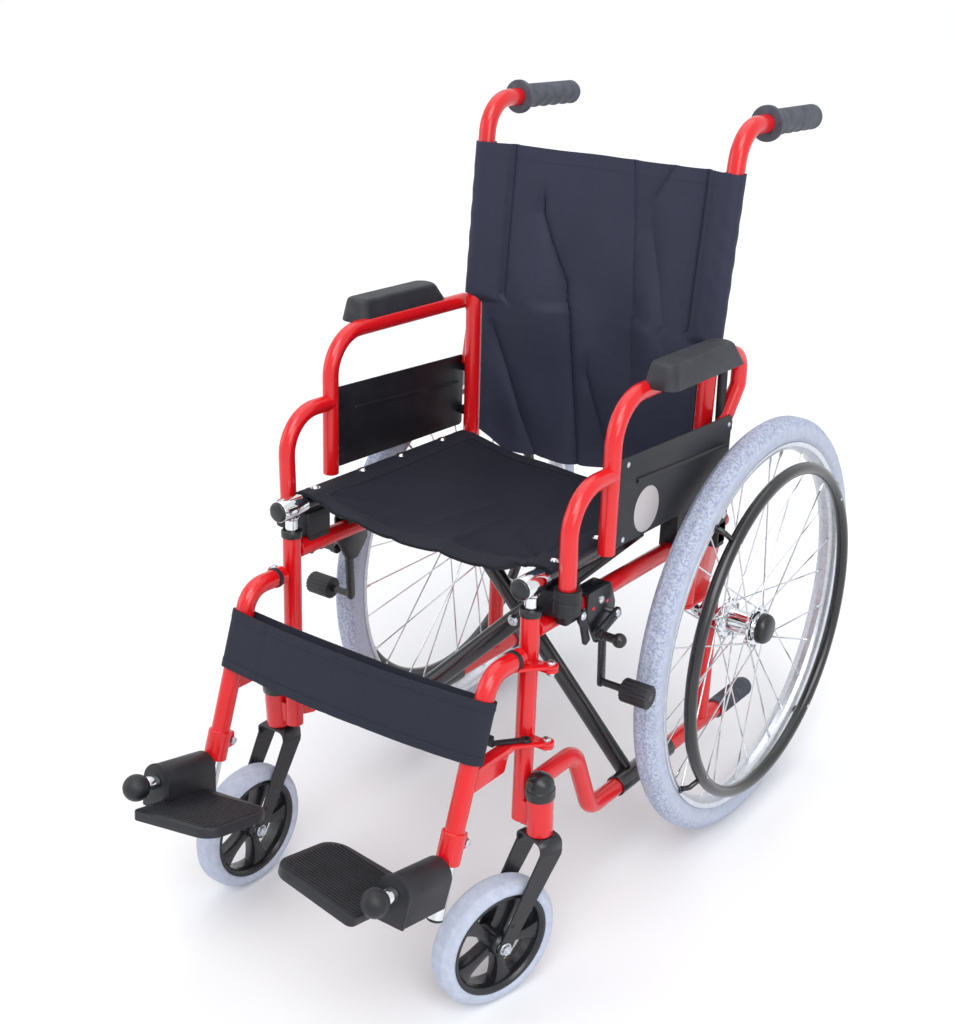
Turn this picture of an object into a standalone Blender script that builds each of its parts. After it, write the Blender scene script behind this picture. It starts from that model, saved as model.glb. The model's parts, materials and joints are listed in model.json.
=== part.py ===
"""Pediatric folding wheelchair, modelled as separate pieces at real size.

World axes: +X is the sitter's left, -Y is forward, +Z is up, and the wheels stand on z = 0.
The side frames and the fold lean back a little. Their pieces hang on one empty, frame_axes: local x runs
sideways, local y (called s below) rearward along the rails, and local z (called t) up the uprights.
"""

from math import acos, atan2, cos, pi, radians, sin, tan

import bmesh
import bpy
from mathutils import Matrix, Vector

# Where things stand
FRAME_TILT = radians(4)
FRAME_ORIGIN_Y = -0.22593
FRAME_ORIGIN_Z = 0.14535
HALF_WIDTH = 0.174
CLEARANCE = 0.0003
RUNNING_CLEARANCE = 0.0004
SUNK = 0.002
LAP = 0.001
PAST = 0.05
BOLT_HEAD = 0.004

# Tubes of the side frames
TUBE_RADIUS = 0.0111
UPRIGHT_BOTTOM_T = 0.062
UPRIGHT_TOP_T = 0.320
COLLAR_RADIUS = 0.0131
COLLAR_LENGTH = 0.015
UPPER_RAIL_T = 0.297
LOWER_RAIL_FRONT_T = 0.0975
LOWER_RAIL_PEAK_S = 0.108
LOWER_RAIL_TROUGH_S = 0.152
LOWER_RAIL_BEND = 0.026
TIP_LEVER_END_S = 0.572
AXLE_S = 0.4362
CANE_S = 0.362
CANE_BOTTOM_T = 0.2045
CANE_BEND_T = 0.54
CANE_TOP_X = 0.180
HANDLE_S = 0.386
HANDLE_T = 0.801
HANDLE_END_S = 0.575
HANDLE_BEND = 0.045
PLATE_THICKNESS = 0.004
CANE_BEND = 0.05
GUSSET_FRONT_S = CANE_S + 0.012
GUSSET_FOOT_S = 0.418
GUSSET_WAIST_T = 0.262
GUSSET_REAR_S = 0.446
CASTER_GUSSET = ((0.010, 0.094), (0.062, 0.094), (0.056, 0.070), (0.034, 0.064), (0.010, 0.070))
SADDLE_S = 0.312
SADDLE_LENGTH = 0.025
GRIP_LENGTH = 0.133
GRIP_RADIUS = 0.0155
GRIP_FLANGE_RADIUS = 0.0215
GRIP_GROOVES = 5
GRIP_PITCH = 0.020
TIP_LENGTH = 0.095
TIP_RADIUS = 0.0142
TIP_RIBS = 4
TIP_RIB_PITCH = 0.015

# Fold: two crossed tubes between the lower rails and the seat rails
SEAT_RAIL_T = 0.353
SEAT_RAIL_RADIUS = 0.0105
SEAT_RAIL_FRONT_S = -0.017
SEAT_RAIL_REAR_S = 0.3495
BRACE_FRONT_S = 0.232
BRACE_DEPTH = 0.015
BRACE_WIDTH = 0.026
BRACE_GAP = 0.0005
SLEEVE_FRONT_S = 0.215
SLEEVE_REAR_S = 0.345
SLEEVE_WALL = 0.0020
CENTRE_BOLT_RADIUS = 0.004
STUB_RADIUS = 0.0076
STUB_BORE = 0.0086
STUB_DEPTH = 0.160
T_SLEEVE_RADIUS = 0.0130
T_SLEEVE_FRONT_S = -0.0226
T_SLEEVE_REAR_S = 0.018

# Rear wheels
REAR_RADIUS = 0.2794
REAR_PLANE_X = 0.2335
REAR_TYRE_HALF_WIDTH = 0.0172
TYRE_DEPTH = 0.0304
RIM_DEPTH = 0.013
RIM_OUTER = REAR_RADIUS - TYRE_DEPTH
RIM_INNER = RIM_OUTER - RIM_DEPTH
RIM_HALF_WIDTH = 0.0145
HUB_INNER_X = 0.190
HUB_OUTER_X = 0.256
HUB_RADIUS = 0.0170
HUB_FLANGE_RADIUS = 0.0290
HUB_FLANGE_THICKNESS = 0.003
HUB_FLANGE_INSET = 0.012
HUB_CAP_RADIUS = 0.0205
HUB_CAP_LENGTH = 0.010
SPOKE_RADIUS = 0.0011
SPOKE_COUNT = 28
SPOKE_CROSSING = 2
SPOKE_SUNK = 0.0035
AXLE_RADIUS = 0.006
AXLE_NUT_RADIUS = 0.0105
AXLE_NUT_LENGTH = 0.017
HANDRIM_X = 0.2665
HANDRIM_INSET = 0.0303
HANDRIM_RADIUS = RIM_OUTER - HANDRIM_INSET
HANDRIM_TUBE = 0.008
HANDRIM_CLIPS = 4
HANDRIM_FIRST_CLIP = radians(40.0)
HANDRIM_STEPS = 32
CLIP_RADIUS = 0.003
CLIP_FOOT = 0.004
REAR_STEPS = 32

# Casters
CASTER_X = 0.2007
CASTER_OFFSET_Y = 0.0035
CASTER_RADIUS = 0.0797
CASTER_HALF_WIDTH = 0.017
CASTER_HUB_RADIUS = 0.064
CASTER_HUB_WALL = 0.009
CASTER_TRAIL = 0.0661
CASTER_HEADINGS = {"L": radians(-17.6), "R": radians(-1.25)}
CASTER_SPOKES = 5
CASTER_SPOKE_WIDTH = 0.012
CASTER_BARREL_RADIUS = 0.013
CASTER_AXLE_RADIUS = 0.004
CASTER_STEPS = 24
HOUSING_RADIUS = 0.0153
HOUSING_BOTTOM = 0.199
HOUSING_TOP = 0.247
HOUSING_CAP_RADIUS = 0.0172
HOUSING_CAP_HEIGHT = 0.030
STEM_RADIUS = 0.006
FORK_THICKNESS = 0.003
FORK_GAP = 0.003
FORK_TOP_HALF = 0.015
FORK_TIP_RADIUS = 0.011

# Armrests
ARM_X = 0.2025
ARM_TUBE = 0.010
ARM_POST_S = 0.103
ARM_POST_BOTTOM_T = 0.362
ARM_TOP_T = 0.5385
ARM_FRONT_BEND = 0.0525
ARM_REAR_S = 0.395
ARM_REAR_BEND = 0.024
ARM_LEG_S = 0.0265
ARM_LEG_TOP_S = 0.022
ARM_LEG_BOTTOM_T = 0.327
ARM_LEG_JOIN_T = 0.455
ARM_LEG_BEND = 0.050
ARM_PIVOT_S = 0.380
ARM_PIVOT_T = 0.330
SOCKET_HALF = 0.0105
SOCKET_OUTER_X = 0.2075
EYE_RADIUS = 0.0085
EYE_INNER_X = 0.1925
EYE_OUTER_X = 0.2025
ARM_PIN_RADIUS = 0.0035
REAR_POST_X = 0.1975
REAR_POST_RADIUS = 0.0052
PAD_FRONT_S = 0.159
PAD_REAR_S = 0.338
PAD_INNER_X = 0.1970
PAD_OUTER_X = 0.2405
PAD_BOTTOM_T = ARM_TOP_T + 0.003
PAD_TOP_T = ARM_TOP_T + 0.0325
PAD_CORNER = 0.014
PAD_FRONT_TAPER = 0.004
PAD_REAR_TAPER = 0.022
PAD_SIDE_TAPER = 0.0055
PAD_ROUND = 0.004
LEG_COLLAR_RADIUS = 0.0155
SOCKET_BELOW = 0.010
SOCKET_ABOVE = 0.019
SOCKET_PLAY = 0.002
LATCH_X = 0.2040
LATCH_S = 0.056
LATCH_T = 0.304
LATCH_THICKNESS = 0.005
LATCH_EAR = 0.009
LATCH_PIN_RADIUS = 0.003
GUARD_X = 0.2060
GUARD_RIVET_T = (0.384, 0.446)
GUARD_THICKNESS = 0.002
GUARD_FRONT_S = 0.1155
GUARD_REAR_S = 0.379
GUARD_BOTTOM_T = 0.366
GUARD_TOP_T = 0.470
TAB_HALF_HEIGHT = 0.007
TAB_HALF_WIDTH = 0.004
TAB_REACH = 0.016
RIVET_RADIUS = 0.0035
RIVET_HEIGHT = 0.0012

# Brakes
BRAKE_S = 0.1206
BRAKE_PIVOT_S = 0.1456
BRAKE_PIVOT_T = 0.2742
ARM_PIN_S = 0.125
BRAKE_ARM_T = 0.252
ROLLER_RADIUS = 0.0145
ROLLER_GAP = 0.0143
ROLLER_RISE = radians(4.671)
ROLLER_SHAFT_RADIUS = 0.0045
ROLLER_INNER_X = 0.2235
ROLLER_LENGTH = 0.035
KNOB_X = 0.225
KNOB_S = 0.107
KNOB_T = 0.261
KNOB_RADIUS = 0.0085
KNOB_STEM_RADIUS = 0.0055
HOOK_THICKNESS = 0.0035
BRAKE_BOLT_RADIUS = 0.005
BRAKE_PIN_RADIUS = 0.004
BRAKE_ARM_PIN_RADIUS = 0.003

# Footrests
HINGE_X = 0.2030
HINGE_PIN_RADIUS = 0.003
LUG_THICKNESS = 0.004
EAR_RADIUS = 0.0085
BRACKET_WIDTH = 0.015
BRACKET_HEIGHT = 0.008
ELBOW_S = -0.034
HANGER_TOP_T = 0.2715
UPPER_LUG_T = HANGER_TOP_T - 0.0095
LOWER_LUG_T = HANGER_TOP_T - 0.1035
HANGER_RING_S = -0.0155
HANGER_FRONT_S = -0.073
HANGER_BEND = 0.030
HANGER_LEAN = 0.3313
HANGER_END_T = 0.104
FOOT_CLAMP_RADIUS = 0.0138
FOOT_CLAMP_LENGTH = 0.036
FOOT_TUBE_RADIUS = 0.0094
FOOT_TUBE_END_T = 0.012
FOOT_TUBE_TOP_T = 0.175
FOOT_AXIS_T = 0.0669
FOOT_ROD_RADIUS = 0.005
SHELL_REAR = 0.0150
SHELL_FRONT = 0.0907
FOOT_AXIS_RISE = radians(11.2)
PLATE_TILT = radians(8)
FOOT_KNOB_REACH = 0.1197
FOOT_KNOB_RADIUS = 0.0155
HOUSING_SHELL_RADIUS = 0.020
HOUSING_SHELL_DROP = 0.034
HOUSING_SHELL_FLARE = 0.0065
FOOTPLATE_REAR = 0.0255
FOOTPLATE_FRONT = 0.136
FOOTPLATE_INNER = 0.128
FOOTPLATE_OUTER = 0.008
FOOTPLATE_DROP = 0.0189
FOOTPLATE_THICKNESS = 0.012

# Soft goods
CLOTH = 0.0025
SLEEVE_CLOTH = 0.0018
SEAT_HALF = 0.1855
SEAT_FRONT_S = 0.020
SEAT_REAR_S = 0.345
SEAT_SAG = 0.024
SEAT_FOLD = 0.0014
SEAT_SCREWS_S = (0.042, 0.130, 0.206, 0.294)
SEAT_SCREW_RADIUS = 0.004
SEAT_SCREW_HEIGHT = 0.0035
BACK_BOW = 0.022
BACK_FOLD = 0.0035
STRAP_TOP_T = HANGER_TOP_T - 0.0255
STRAP_HEIGHT = 0.068
BACK_BOTTOM_T = 0.385
BACK_TOP_T = 0.749
BACK_SLEEVE_BOTTOM_T = 0.56

# Places worked out from the sizes above
TILT_COS = cos(FRAME_TILT)
TILT_SIN = sin(FRAME_TILT)
AXLE_T = (REAR_RADIUS - FRAME_ORIGIN_Z + AXLE_S * TILT_SIN) / TILT_COS
CASTER_Y = FRAME_ORIGIN_Y + CASTER_OFFSET_Y
ROLLER_REACH = REAR_RADIUS + ROLLER_RADIUS + ROLLER_GAP
ROLLER_S = AXLE_S - ROLLER_REACH * cos(ROLLER_RISE)
ROLLER_T = AXLE_T + ROLLER_REACH * sin(ROLLER_RISE)
BRACE_REAR_S = BRACE_FRONT_S + BRACE_DEPTH + BRACE_GAP
BOLT_T = SEAT_RAIL_T / 2
CANE_MID_RISE = (CANE_BEND_T - CANE_BOTTOM_T) / (HANDLE_T - CANE_BOTTOM_T)
CANE_MID_X = HALF_WIDTH + (CANE_TOP_X - HALF_WIDTH) * CANE_MID_RISE
FRAME_ORIGIN = Matrix.Translation((0, FRAME_ORIGIN_Y, FRAME_ORIGIN_Z))
FRAME_TO_WORLD = FRAME_ORIGIN @ Matrix.Rotation(-FRAME_TILT, 4, "X")

MODEL_NAME = "pediatric_wheelchair"
WELD = 0.000002


# Scene and materials


def cleared_collection(name):
    """A new collection, linked to the scene."""
    collection = bpy.data.collections.new(name)
    bpy.context.scene.collection.children.link(collection)
    return collection


def empty(name, matrix, parent=None):
    """An empty that carries pieces and marks an axis."""
    marker = bpy.data.objects.new(name, None)
    marker.empty_display_size = 0.05
    marker.parent = parent
    marker.matrix_local = matrix
    MODEL.objects.link(marker)
    return marker


def linear(channel):
    """One sRGB channel, 0 to 1, as linear light."""
    return channel / 12.92 if channel <= 0.04045 else ((channel + 0.055) / 1.055) ** 2.4


def material(name, hex_code, roughness, metallic=0.0):
    """A Principled material of one colour."""
    made = bpy.data.materials.new(name)
    made.use_nodes = True
    shader = made.node_tree.nodes["Principled BSDF"]
    channels = [int(hex_code[start : start + 2], 16) / 255 for start in (0, 2, 4)]
    shader.inputs["Base Color"].default_value = (*[linear(channel) for channel in channels], 1.0)
    shader.inputs["Roughness"].default_value = roughness
    shader.inputs["Metallic"].default_value = metallic
    return made


LOOKS = {
    "red": ("EB2A26", 0.30, 0.0),
    "black_plastic": ("26272B", 0.50, 0.0),
    "black_metal": ("18191C", 0.35, 0.3),
    "chrome": ("D8DADD", 0.12, 1.0),
    "aluminium": ("C4C7CC", 0.30, 1.0),
    "grey_tyre": ("C4C9CF", 0.75, 0.0),
    "rubber": ("3A3C41", 0.80, 0.0),
    "nylon": ("272A34", 0.90, 0.0),
    "pad": ("33353A", 0.70, 0.0),
}


# Meshes


def mesh_object(name, mesh):
    """A mesh as an object of the model."""
    made = bpy.data.objects.new(name, mesh)
    MODEL.objects.link(made)
    return made


def from_bmesh(name, shape):
    """A bmesh as an object, with its faces pointing out."""
    bmesh.ops.recalc_face_normals(shape, faces=shape.faces)
    mesh = bpy.data.meshes.new(name)
    shape.to_mesh(mesh)
    shape.free()
    return mesh_object(name, mesh)


def baked(source):
    """The mesh that an object's modifiers or curve make, welded, in place of the object."""
    bpy.context.view_layer.update()
    evaluated = source.evaluated_get(bpy.context.evaluated_depsgraph_get())
    mesh = bpy.data.meshes.new_from_object(evaluated)
    mesh.transform(source.matrix_world)
    shape = bmesh.new()
    shape.from_mesh(mesh)
    bmesh.ops.remove_doubles(shape, verts=shape.verts, dist=WELD)
    name = source.name
    bpy.data.objects.remove(source)
    return from_bmesh(name, shape)


def gathered(pieces):
    """Separate pieces as one object, ready to be one operand of a join or cut."""
    shape = bmesh.new()
    for piece in pieces:
        shape.from_mesh(piece.data)
        bpy.data.objects.remove(piece)
    return from_bmesh("gathered", shape)


def combined(target, operation, others):
    """The target after a Boolean with each of the others, which are used up."""
    for other in others:
        CUTTERS.objects.link(other)
        MODEL.objects.unlink(other)
        other.hide_render = True
        other.display_type = "WIRE"
        modifier = target.modifiers.new(operation.lower(), "BOOLEAN")
        modifier.operation = operation
        modifier.solver = "EXACT"
        modifier.object = other
    made = baked(target)
    for other in others:
        bpy.data.objects.remove(other)
    return made


def joined(target, *others):
    """One closed solid from pieces that are welded together."""
    return combined(target, "UNION", others)


def cut(target, *others):
    """The target with the others taken away."""
    return combined(target, "DIFFERENCE", others)


def turn_to(direction, start):
    """The matrix that turns local z to a direction and moves the origin to a start point."""
    return Matrix.Translation(start) @ Vector(direction).to_track_quat("Z", "Y").to_matrix().to_4x4()


def cylinder(start, end, radius, sides=10):
    """A cylinder between two points."""
    start = Vector(start)
    along = Vector(end) - start
    middle = Matrix.Translation((0, 0, along.length / 2))
    shape = bmesh.new()
    bmesh.ops.create_cone(
        shape,
        cap_ends=True,
        segments=sides,
        radius1=radius,
        radius2=radius,
        depth=along.length,
        matrix=turn_to(along, start) @ middle,
    )
    return from_bmesh("cylinder", shape)


def bore(start, end, radius, sides=10):
    """A cutter whose flat sides all stay outside the radius."""
    return cylinder(start, end, radius / cos(pi / sides), sides)


def cross_pin(side, reach, place, radius, sides=10):
    """A pin along x at a place (s, t), between two distances from the middle plane."""
    return cylinder((side * reach[0], *place), (side * reach[1], *place), radius, sides)


def cross_bore(side, place, pin_radius):
    """A cutter along x for a pin of one side's fittings that turns in it."""
    reach = [(side * x, *place) for x in (HALF_WIDTH, HALF_WIDTH + PAST)]
    return bore(*reach, pin_radius + RUNNING_CLEARANCE, 8)


def box(low, high, matrix=None):
    """A box between two opposite corners."""
    low, high = Vector(low), Vector(high)
    size = Matrix.Diagonal((*(abs(value) for value in high - low), 1))
    shape = bmesh.new()
    placed = Matrix.Translation((low + high) / 2) @ size
    bmesh.ops.create_cube(shape, size=1, matrix=placed if matrix is None else matrix @ placed)
    return from_bmesh("box", shape)


def ball(centre, radius, segments=10, rings=6):
    """A sphere."""
    shape = bmesh.new()
    bmesh.ops.create_uvsphere(
        shape, u_segments=segments, v_segments=rings, radius=radius, matrix=Matrix.Translation(centre)
    )
    return from_bmesh("ball", shape)


def filleted(points, radius, steps=4, closed=False):
    """The points with each corner swapped for an arc; radius is one value or one for each point."""
    points = [Vector(point) for point in points]
    radii = radius if isinstance(radius, (list, tuple)) else [radius] * len(points)
    result = []
    for index, corner in enumerate(points):
        open_end = not closed and index in (0, len(points) - 1)
        if open_end or radii[index] == 0:
            result.append(corner)
            continue
        before = (points[index - 1] - corner).normalized()
        after = (points[(index + 1) % len(points)] - corner).normalized()
        half = acos(max(-1.0, min(1.0, before.dot(after)))) / 2
        centre = corner + (before + after).normalized() * radii[index] / sin(half)
        start = corner + before * radii[index] / tan(half) - centre
        end = corner + after * radii[index] / tan(half) - centre
        sweep = pi - 2 * half
        for step in range(steps + 1):
            share = step / steps
            arc = (start * sin((1 - share) * sweep) + end * sin(share * sweep)) / sin(sweep)
            result.append(centre + arc)
    return result


def tube(points, radius, resolution=3):
    """A round tube along points, with closed ends."""
    curve = bpy.data.curves.new("tube", "CURVE")
    curve.dimensions = "3D"
    curve.bevel_depth = radius
    curve.bevel_resolution = resolution
    curve.use_fill_caps = True
    spline = curve.splines.new("POLY")
    spline.points.add(len(points) - 1)
    for point, place in zip(spline.points, points):
        point.co = (*place, 1)
    made = bpy.data.objects.new("tube", curve)
    MODEL.objects.link(made)
    return baked(made)


def plate(outline, thickness, matrix):
    """A flat outline in local x and y, thickened evenly about its plane."""
    curve = bpy.data.curves.new("plate", "CURVE")
    curve.dimensions = "2D"
    curve.fill_mode = "BOTH"
    curve.extrude = thickness / 2
    spline = curve.splines.new("POLY")
    spline.points.add(len(outline) - 1)
    spline.use_cyclic_u = True
    for point, place in zip(spline.points, outline):
        point.co = (place[0], place[1], 0, 1)
    made = bpy.data.objects.new("plate", curve)
    MODEL.objects.link(made)
    made.matrix_world = matrix
    return baked(made)


def side_plate(outline, thickness, x):
    """A plate that stands fore and aft at x, from an outline of (s, t) points."""
    upright = Matrix(((0, 0, 1, x), (1, 0, 0, 0), (0, 1, 0, 0), (0, 0, 0, 1)))
    return plate([Vector((s, t, 0)) for s, t in outline], thickness, upright)


def side_plate_rounded(outline, radius, thickness, x, steps=3):
    """A side plate whose corners are rounded."""
    flat = [Vector((s, t, 0)) for s, t in outline]
    rounded = filleted(flat, radius, steps, closed=True)
    return side_plate([(point.x, point.y) for point in rounded], thickness, x)


def turned(profile, steps, matrix, closed=False):
    """A turned solid about local z, from (radius, height) points that run down its outer side."""
    mesh = bpy.data.meshes.new("turned")
    count = len(profile)
    edges = [(index, index + 1) for index in range(count - 1)]
    if closed:
        edges.append((count - 1, 0))
    mesh.from_pydata([(radius, 0, height) for radius, height in profile], edges, [])
    made = mesh_object("turned", mesh)
    screw = made.modifiers.new("screw", "SCREW")
    screw.axis = "Z"
    screw.angle = 2 * pi
    screw.steps = steps
    screw.render_steps = steps
    screw.use_merge_vertices = True
    screw.merge_threshold = WELD
    made.matrix_world = matrix
    return baked(made)


def lofted(rings):
    """A closed body through rings of equally many points, with its two ends capped."""
    shape = bmesh.new()
    rows = [[shape.verts.new(point) for point in ring] for ring in rings]
    count = len(rings[0])
    for low, high in zip(rows, rows[1:]):
        for index in range(count):
            after = (index + 1) % count
            shape.faces.new((low[index], low[after], high[after], high[index]))
    shape.faces.new(rows[0])
    shape.faces.new(rows[-1])
    return from_bmesh("loft", shape)


def finished(piece, name, look, origin=(0, 0, 0), parent=None, smooth=True):
    """Name a piece, give it its own material, and put its origin on its joint or centre."""
    piece.data.transform(Matrix.Translation(-Vector(origin)))
    piece.name = name
    piece.data.name = name
    piece.parent = FRAME_AXES if parent is None else parent
    piece.location = origin
    piece.data.materials.clear()
    piece.data.materials.append(material(name, *LOOKS[look]))
    if smooth:
        piece.data.shade_smooth()
        piece.data.set_sharp_from_angle(angle=radians(35))
    return piece


def sideways(side, x, start=(0, 0)):
    """The matrix that turns local z outward, with the origin at x on one side and (s, t)."""
    return turn_to((side, 0, 0), (side * x, *start))


# Side frames


def upright_line(side, low, high, radius, sides=10):
    """A cylinder on the front upright's axis."""
    return cylinder((side * HALF_WIDTH, 0, low), (side * HALF_WIDTH, 0, high), radius, sides)


def rail_line(side, t, front, rear, radius, sides=10):
    """A cylinder on one side that runs rearward."""
    return cylinder((side * HALF_WIDTH, front, t), (side * HALF_WIDTH, rear, t), radius, sides)


def cope(start, end):
    """A cutter round a frame tube's straight run, with the gap that welded neighbours keep."""
    return bore(start, end, TUBE_RADIUS + CLEARANCE)


def upright_cope(side):
    """The cutter round the front upright."""
    return cope((side * HALF_WIDTH, 0, 0), (side * HALF_WIDTH, 0, UPRIGHT_TOP_T + 0.05))


def cane_cope(side):
    """The cutter round the cane's lower run."""
    path = to_side(cane_path()[:2], side)
    return cope(path[0], path[1])


def lower_rail_cope(side):
    """The cutter round the lower rail's straight run."""
    return cope((side * HALF_WIDTH, LOWER_RAIL_TROUGH_S, 0), (side * HALF_WIDTH, TIP_LEVER_END_S + 0.05, 0))


def cane_path():
    """The cane's centre line on the left, from the axle plate to the end of the push handle."""
    corners = [
        (HALF_WIDTH, CANE_S, CANE_BOTTOM_T),
        (CANE_MID_X, CANE_S, CANE_BEND_T),
        (CANE_TOP_X, HANDLE_S, HANDLE_T),
        (CANE_TOP_X, HANDLE_END_S, HANDLE_T),
    ]
    return filleted(corners, [0, CANE_BEND, HANDLE_BEND, 0], steps=3)


def to_side(points, side):
    """Left-hand points on either side."""
    return [(side * x, s, t) for x, s, t in points]


def lower_rail_path():
    """The lower rail's centre line on the left, with its S-bend in front and the tip lever behind."""
    corners = [
        (HALF_WIDTH, 0, LOWER_RAIL_FRONT_T),
        (HALF_WIDTH, LOWER_RAIL_PEAK_S, LOWER_RAIL_FRONT_T),
        (HALF_WIDTH, LOWER_RAIL_TROUGH_S, 0),
        (HALF_WIDTH, TIP_LEVER_END_S, 0),
    ]
    return filleted(corners, [0, LOWER_RAIL_BEND, LOWER_RAIL_BEND, 0], steps=3)


def caster_housing(side):
    """The caster's bearing sleeve beside the upright, with its cap, in the frame's own axes."""
    centre = Vector((side * CASTER_X, CASTER_Y, 0))
    top = HOUSING_TOP + HOUSING_CAP_HEIGHT
    shoulder = HOUSING_TOP + HOUSING_CAP_HEIGHT * 0.45
    profile = [
        (0, top),
        (HOUSING_CAP_RADIUS * 0.55, top - 0.003),
        (HOUSING_CAP_RADIUS * 0.90, top - 0.009),
        (HOUSING_CAP_RADIUS, shoulder),
        (HOUSING_CAP_RADIUS, HOUSING_TOP),
        (HOUSING_RADIUS, HOUSING_TOP - 0.001),
        (HOUSING_RADIUS, HOUSING_BOTTOM),
        (0, HOUSING_BOTTOM),
    ]
    sleeve = turned(profile, 12, Matrix.Translation(centre))
    web = box(
        (side * HALF_WIDTH, CASTER_Y - HOUSING_RADIUS * 0.5, HOUSING_BOTTOM + 0.004),
        (side * CASTER_X, CASTER_Y + HOUSING_RADIUS * 0.5, HOUSING_TOP - 0.009),
    )
    stem_hole = bore(
        centre + Vector((0, 0, HOUSING_BOTTOM - 0.01)),
        centre + Vector((0, 0, HOUSING_TOP + 0.008)),
        STEM_RADIUS + RUNNING_CLEARANCE,
        10,
    )
    made = cut(joined(sleeve, web), stem_hole)
    made.data.transform(FRAME_TO_WORLD.inverted())
    return made


def front_upright(side, tag):
    """The front upright with its collar, hanger lugs, caster sleeve and the bore for the T-joint's stub."""
    body = upright_line(side, UPRIGHT_BOTTOM_T, UPRIGHT_TOP_T, TUBE_RADIUS)
    collar = upright_line(side, UPRIGHT_TOP_T - 0.005, UPRIGHT_TOP_T + COLLAR_LENGTH - 0.005, COLLAR_RADIUS)
    lugs = []
    for level in (UPPER_LUG_T, LOWER_LUG_T):
        lugs.append(hinge_ear(side, level - LUG_THICKNESS / 2 - CLEARANCE, 0, HALF_WIDTH + 0.004))
    made = joined(body, collar, *lugs, caster_housing(side))
    top = UPRIGHT_TOP_T + COLLAR_LENGTH
    guide = bore(
        (side * HALF_WIDTH, 0, top - STUB_DEPTH - 0.02), (side * HALF_WIDTH, 0, top + 0.01), STUB_BORE
    )
    pin_hole = bore(
        (side * HINGE_X, 0, LOWER_LUG_T - 0.02), (side * HINGE_X, 0, UPPER_LUG_T + 0.01),
        HINGE_PIN_RADIUS + RUNNING_CLEARANCE, 8,
    )
    made = cut(made, guide, pin_hole)
    return finished(made, f"front_upright_{tag}", "red")


def hinge_ear(side, level, front, root_x):
    """A flat ear round the hanger's hinge line, running in to root_x at front."""
    ear = cylinder(
        (side * HINGE_X, 0, level - LUG_THICKNESS / 2),
        (side * HINGE_X, 0, level + LUG_THICKNESS / 2),
        EAR_RADIUS,
    )
    arm = box(
        (side * root_x, front - EAR_RADIUS * 0.9, level - LUG_THICKNESS / 2),
        (side * HINGE_X, front + EAR_RADIUS * 0.9, level + LUG_THICKNESS / 2),
    )
    return joined(ear, arm)


def upper_rail(side, tag):
    """The upper side rail with the rear saddle for the seat rail."""
    body = rail_line(side, UPPER_RAIL_T, 0.002, CANE_S, TUBE_RADIUS)
    saddle = box(
        (side * (HALF_WIDTH - 0.009), SADDLE_S - SADDLE_LENGTH / 2, UPPER_RAIL_T),
        (side * (HALF_WIDTH + 0.009), SADDLE_S + SADDLE_LENGTH / 2, SEAT_RAIL_T - 0.002),
    )
    cradle = rail_line(side, SEAT_RAIL_T, 0.1, 0.5, SEAT_RAIL_RADIUS + 2 * CLEARANCE)
    made = cut(
        joined(body, saddle),
        cradle,
        upright_cope(side),
        cane_cope(side),
    )
    return finished(made, f"upper_rail_{tag}", "red")


def lower_rail(side, tag):
    """The lower side rail, from the S-bend at the upright to the end of the tip lever."""
    body = tube(to_side(lower_rail_path(), side), TUBE_RADIUS)
    gusset = side_plate_rounded(
        CASTER_GUSSET, 0.005, PLATE_THICKNESS, side * HALF_WIDTH
    )
    made = cut(joined(body, gusset), upright_cope(side))
    return finished(made, f"lower_rail_{tag}", "red")


def tip_rubber(side, tag):
    """The ribbed rubber on the tip lever."""
    profile = [(0, TIP_LENGTH), (TIP_RADIUS * 0.8, TIP_LENGTH), (TIP_RADIUS, TIP_LENGTH - 0.004)]
    for rib in range(TIP_RIBS):
        low = TIP_LENGTH - 0.010 - rib * TIP_RIB_PITCH
        profile += [(TIP_RADIUS, low), (TIP_RADIUS - 0.0012, low - 0.002), (TIP_RADIUS, low - 0.004)]
    profile += [(TIP_RADIUS, 0), (0, 0)]
    start = (side * HALF_WIDTH, TIP_LEVER_END_S + 0.004 - TIP_LENGTH, 0)
    body = turned(profile, 10, turn_to((0, 1, 0), start))
    hole = bore(
        (side * HALF_WIDTH, AXLE_S, 0),
        (side * HALF_WIDTH, TIP_LEVER_END_S + CLEARANCE, 0),
        TUBE_RADIUS + CLEARANCE,
    )
    made = cut(body, hole)
    return finished(made, f"tip_rubber_{tag}", "rubber")


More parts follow.
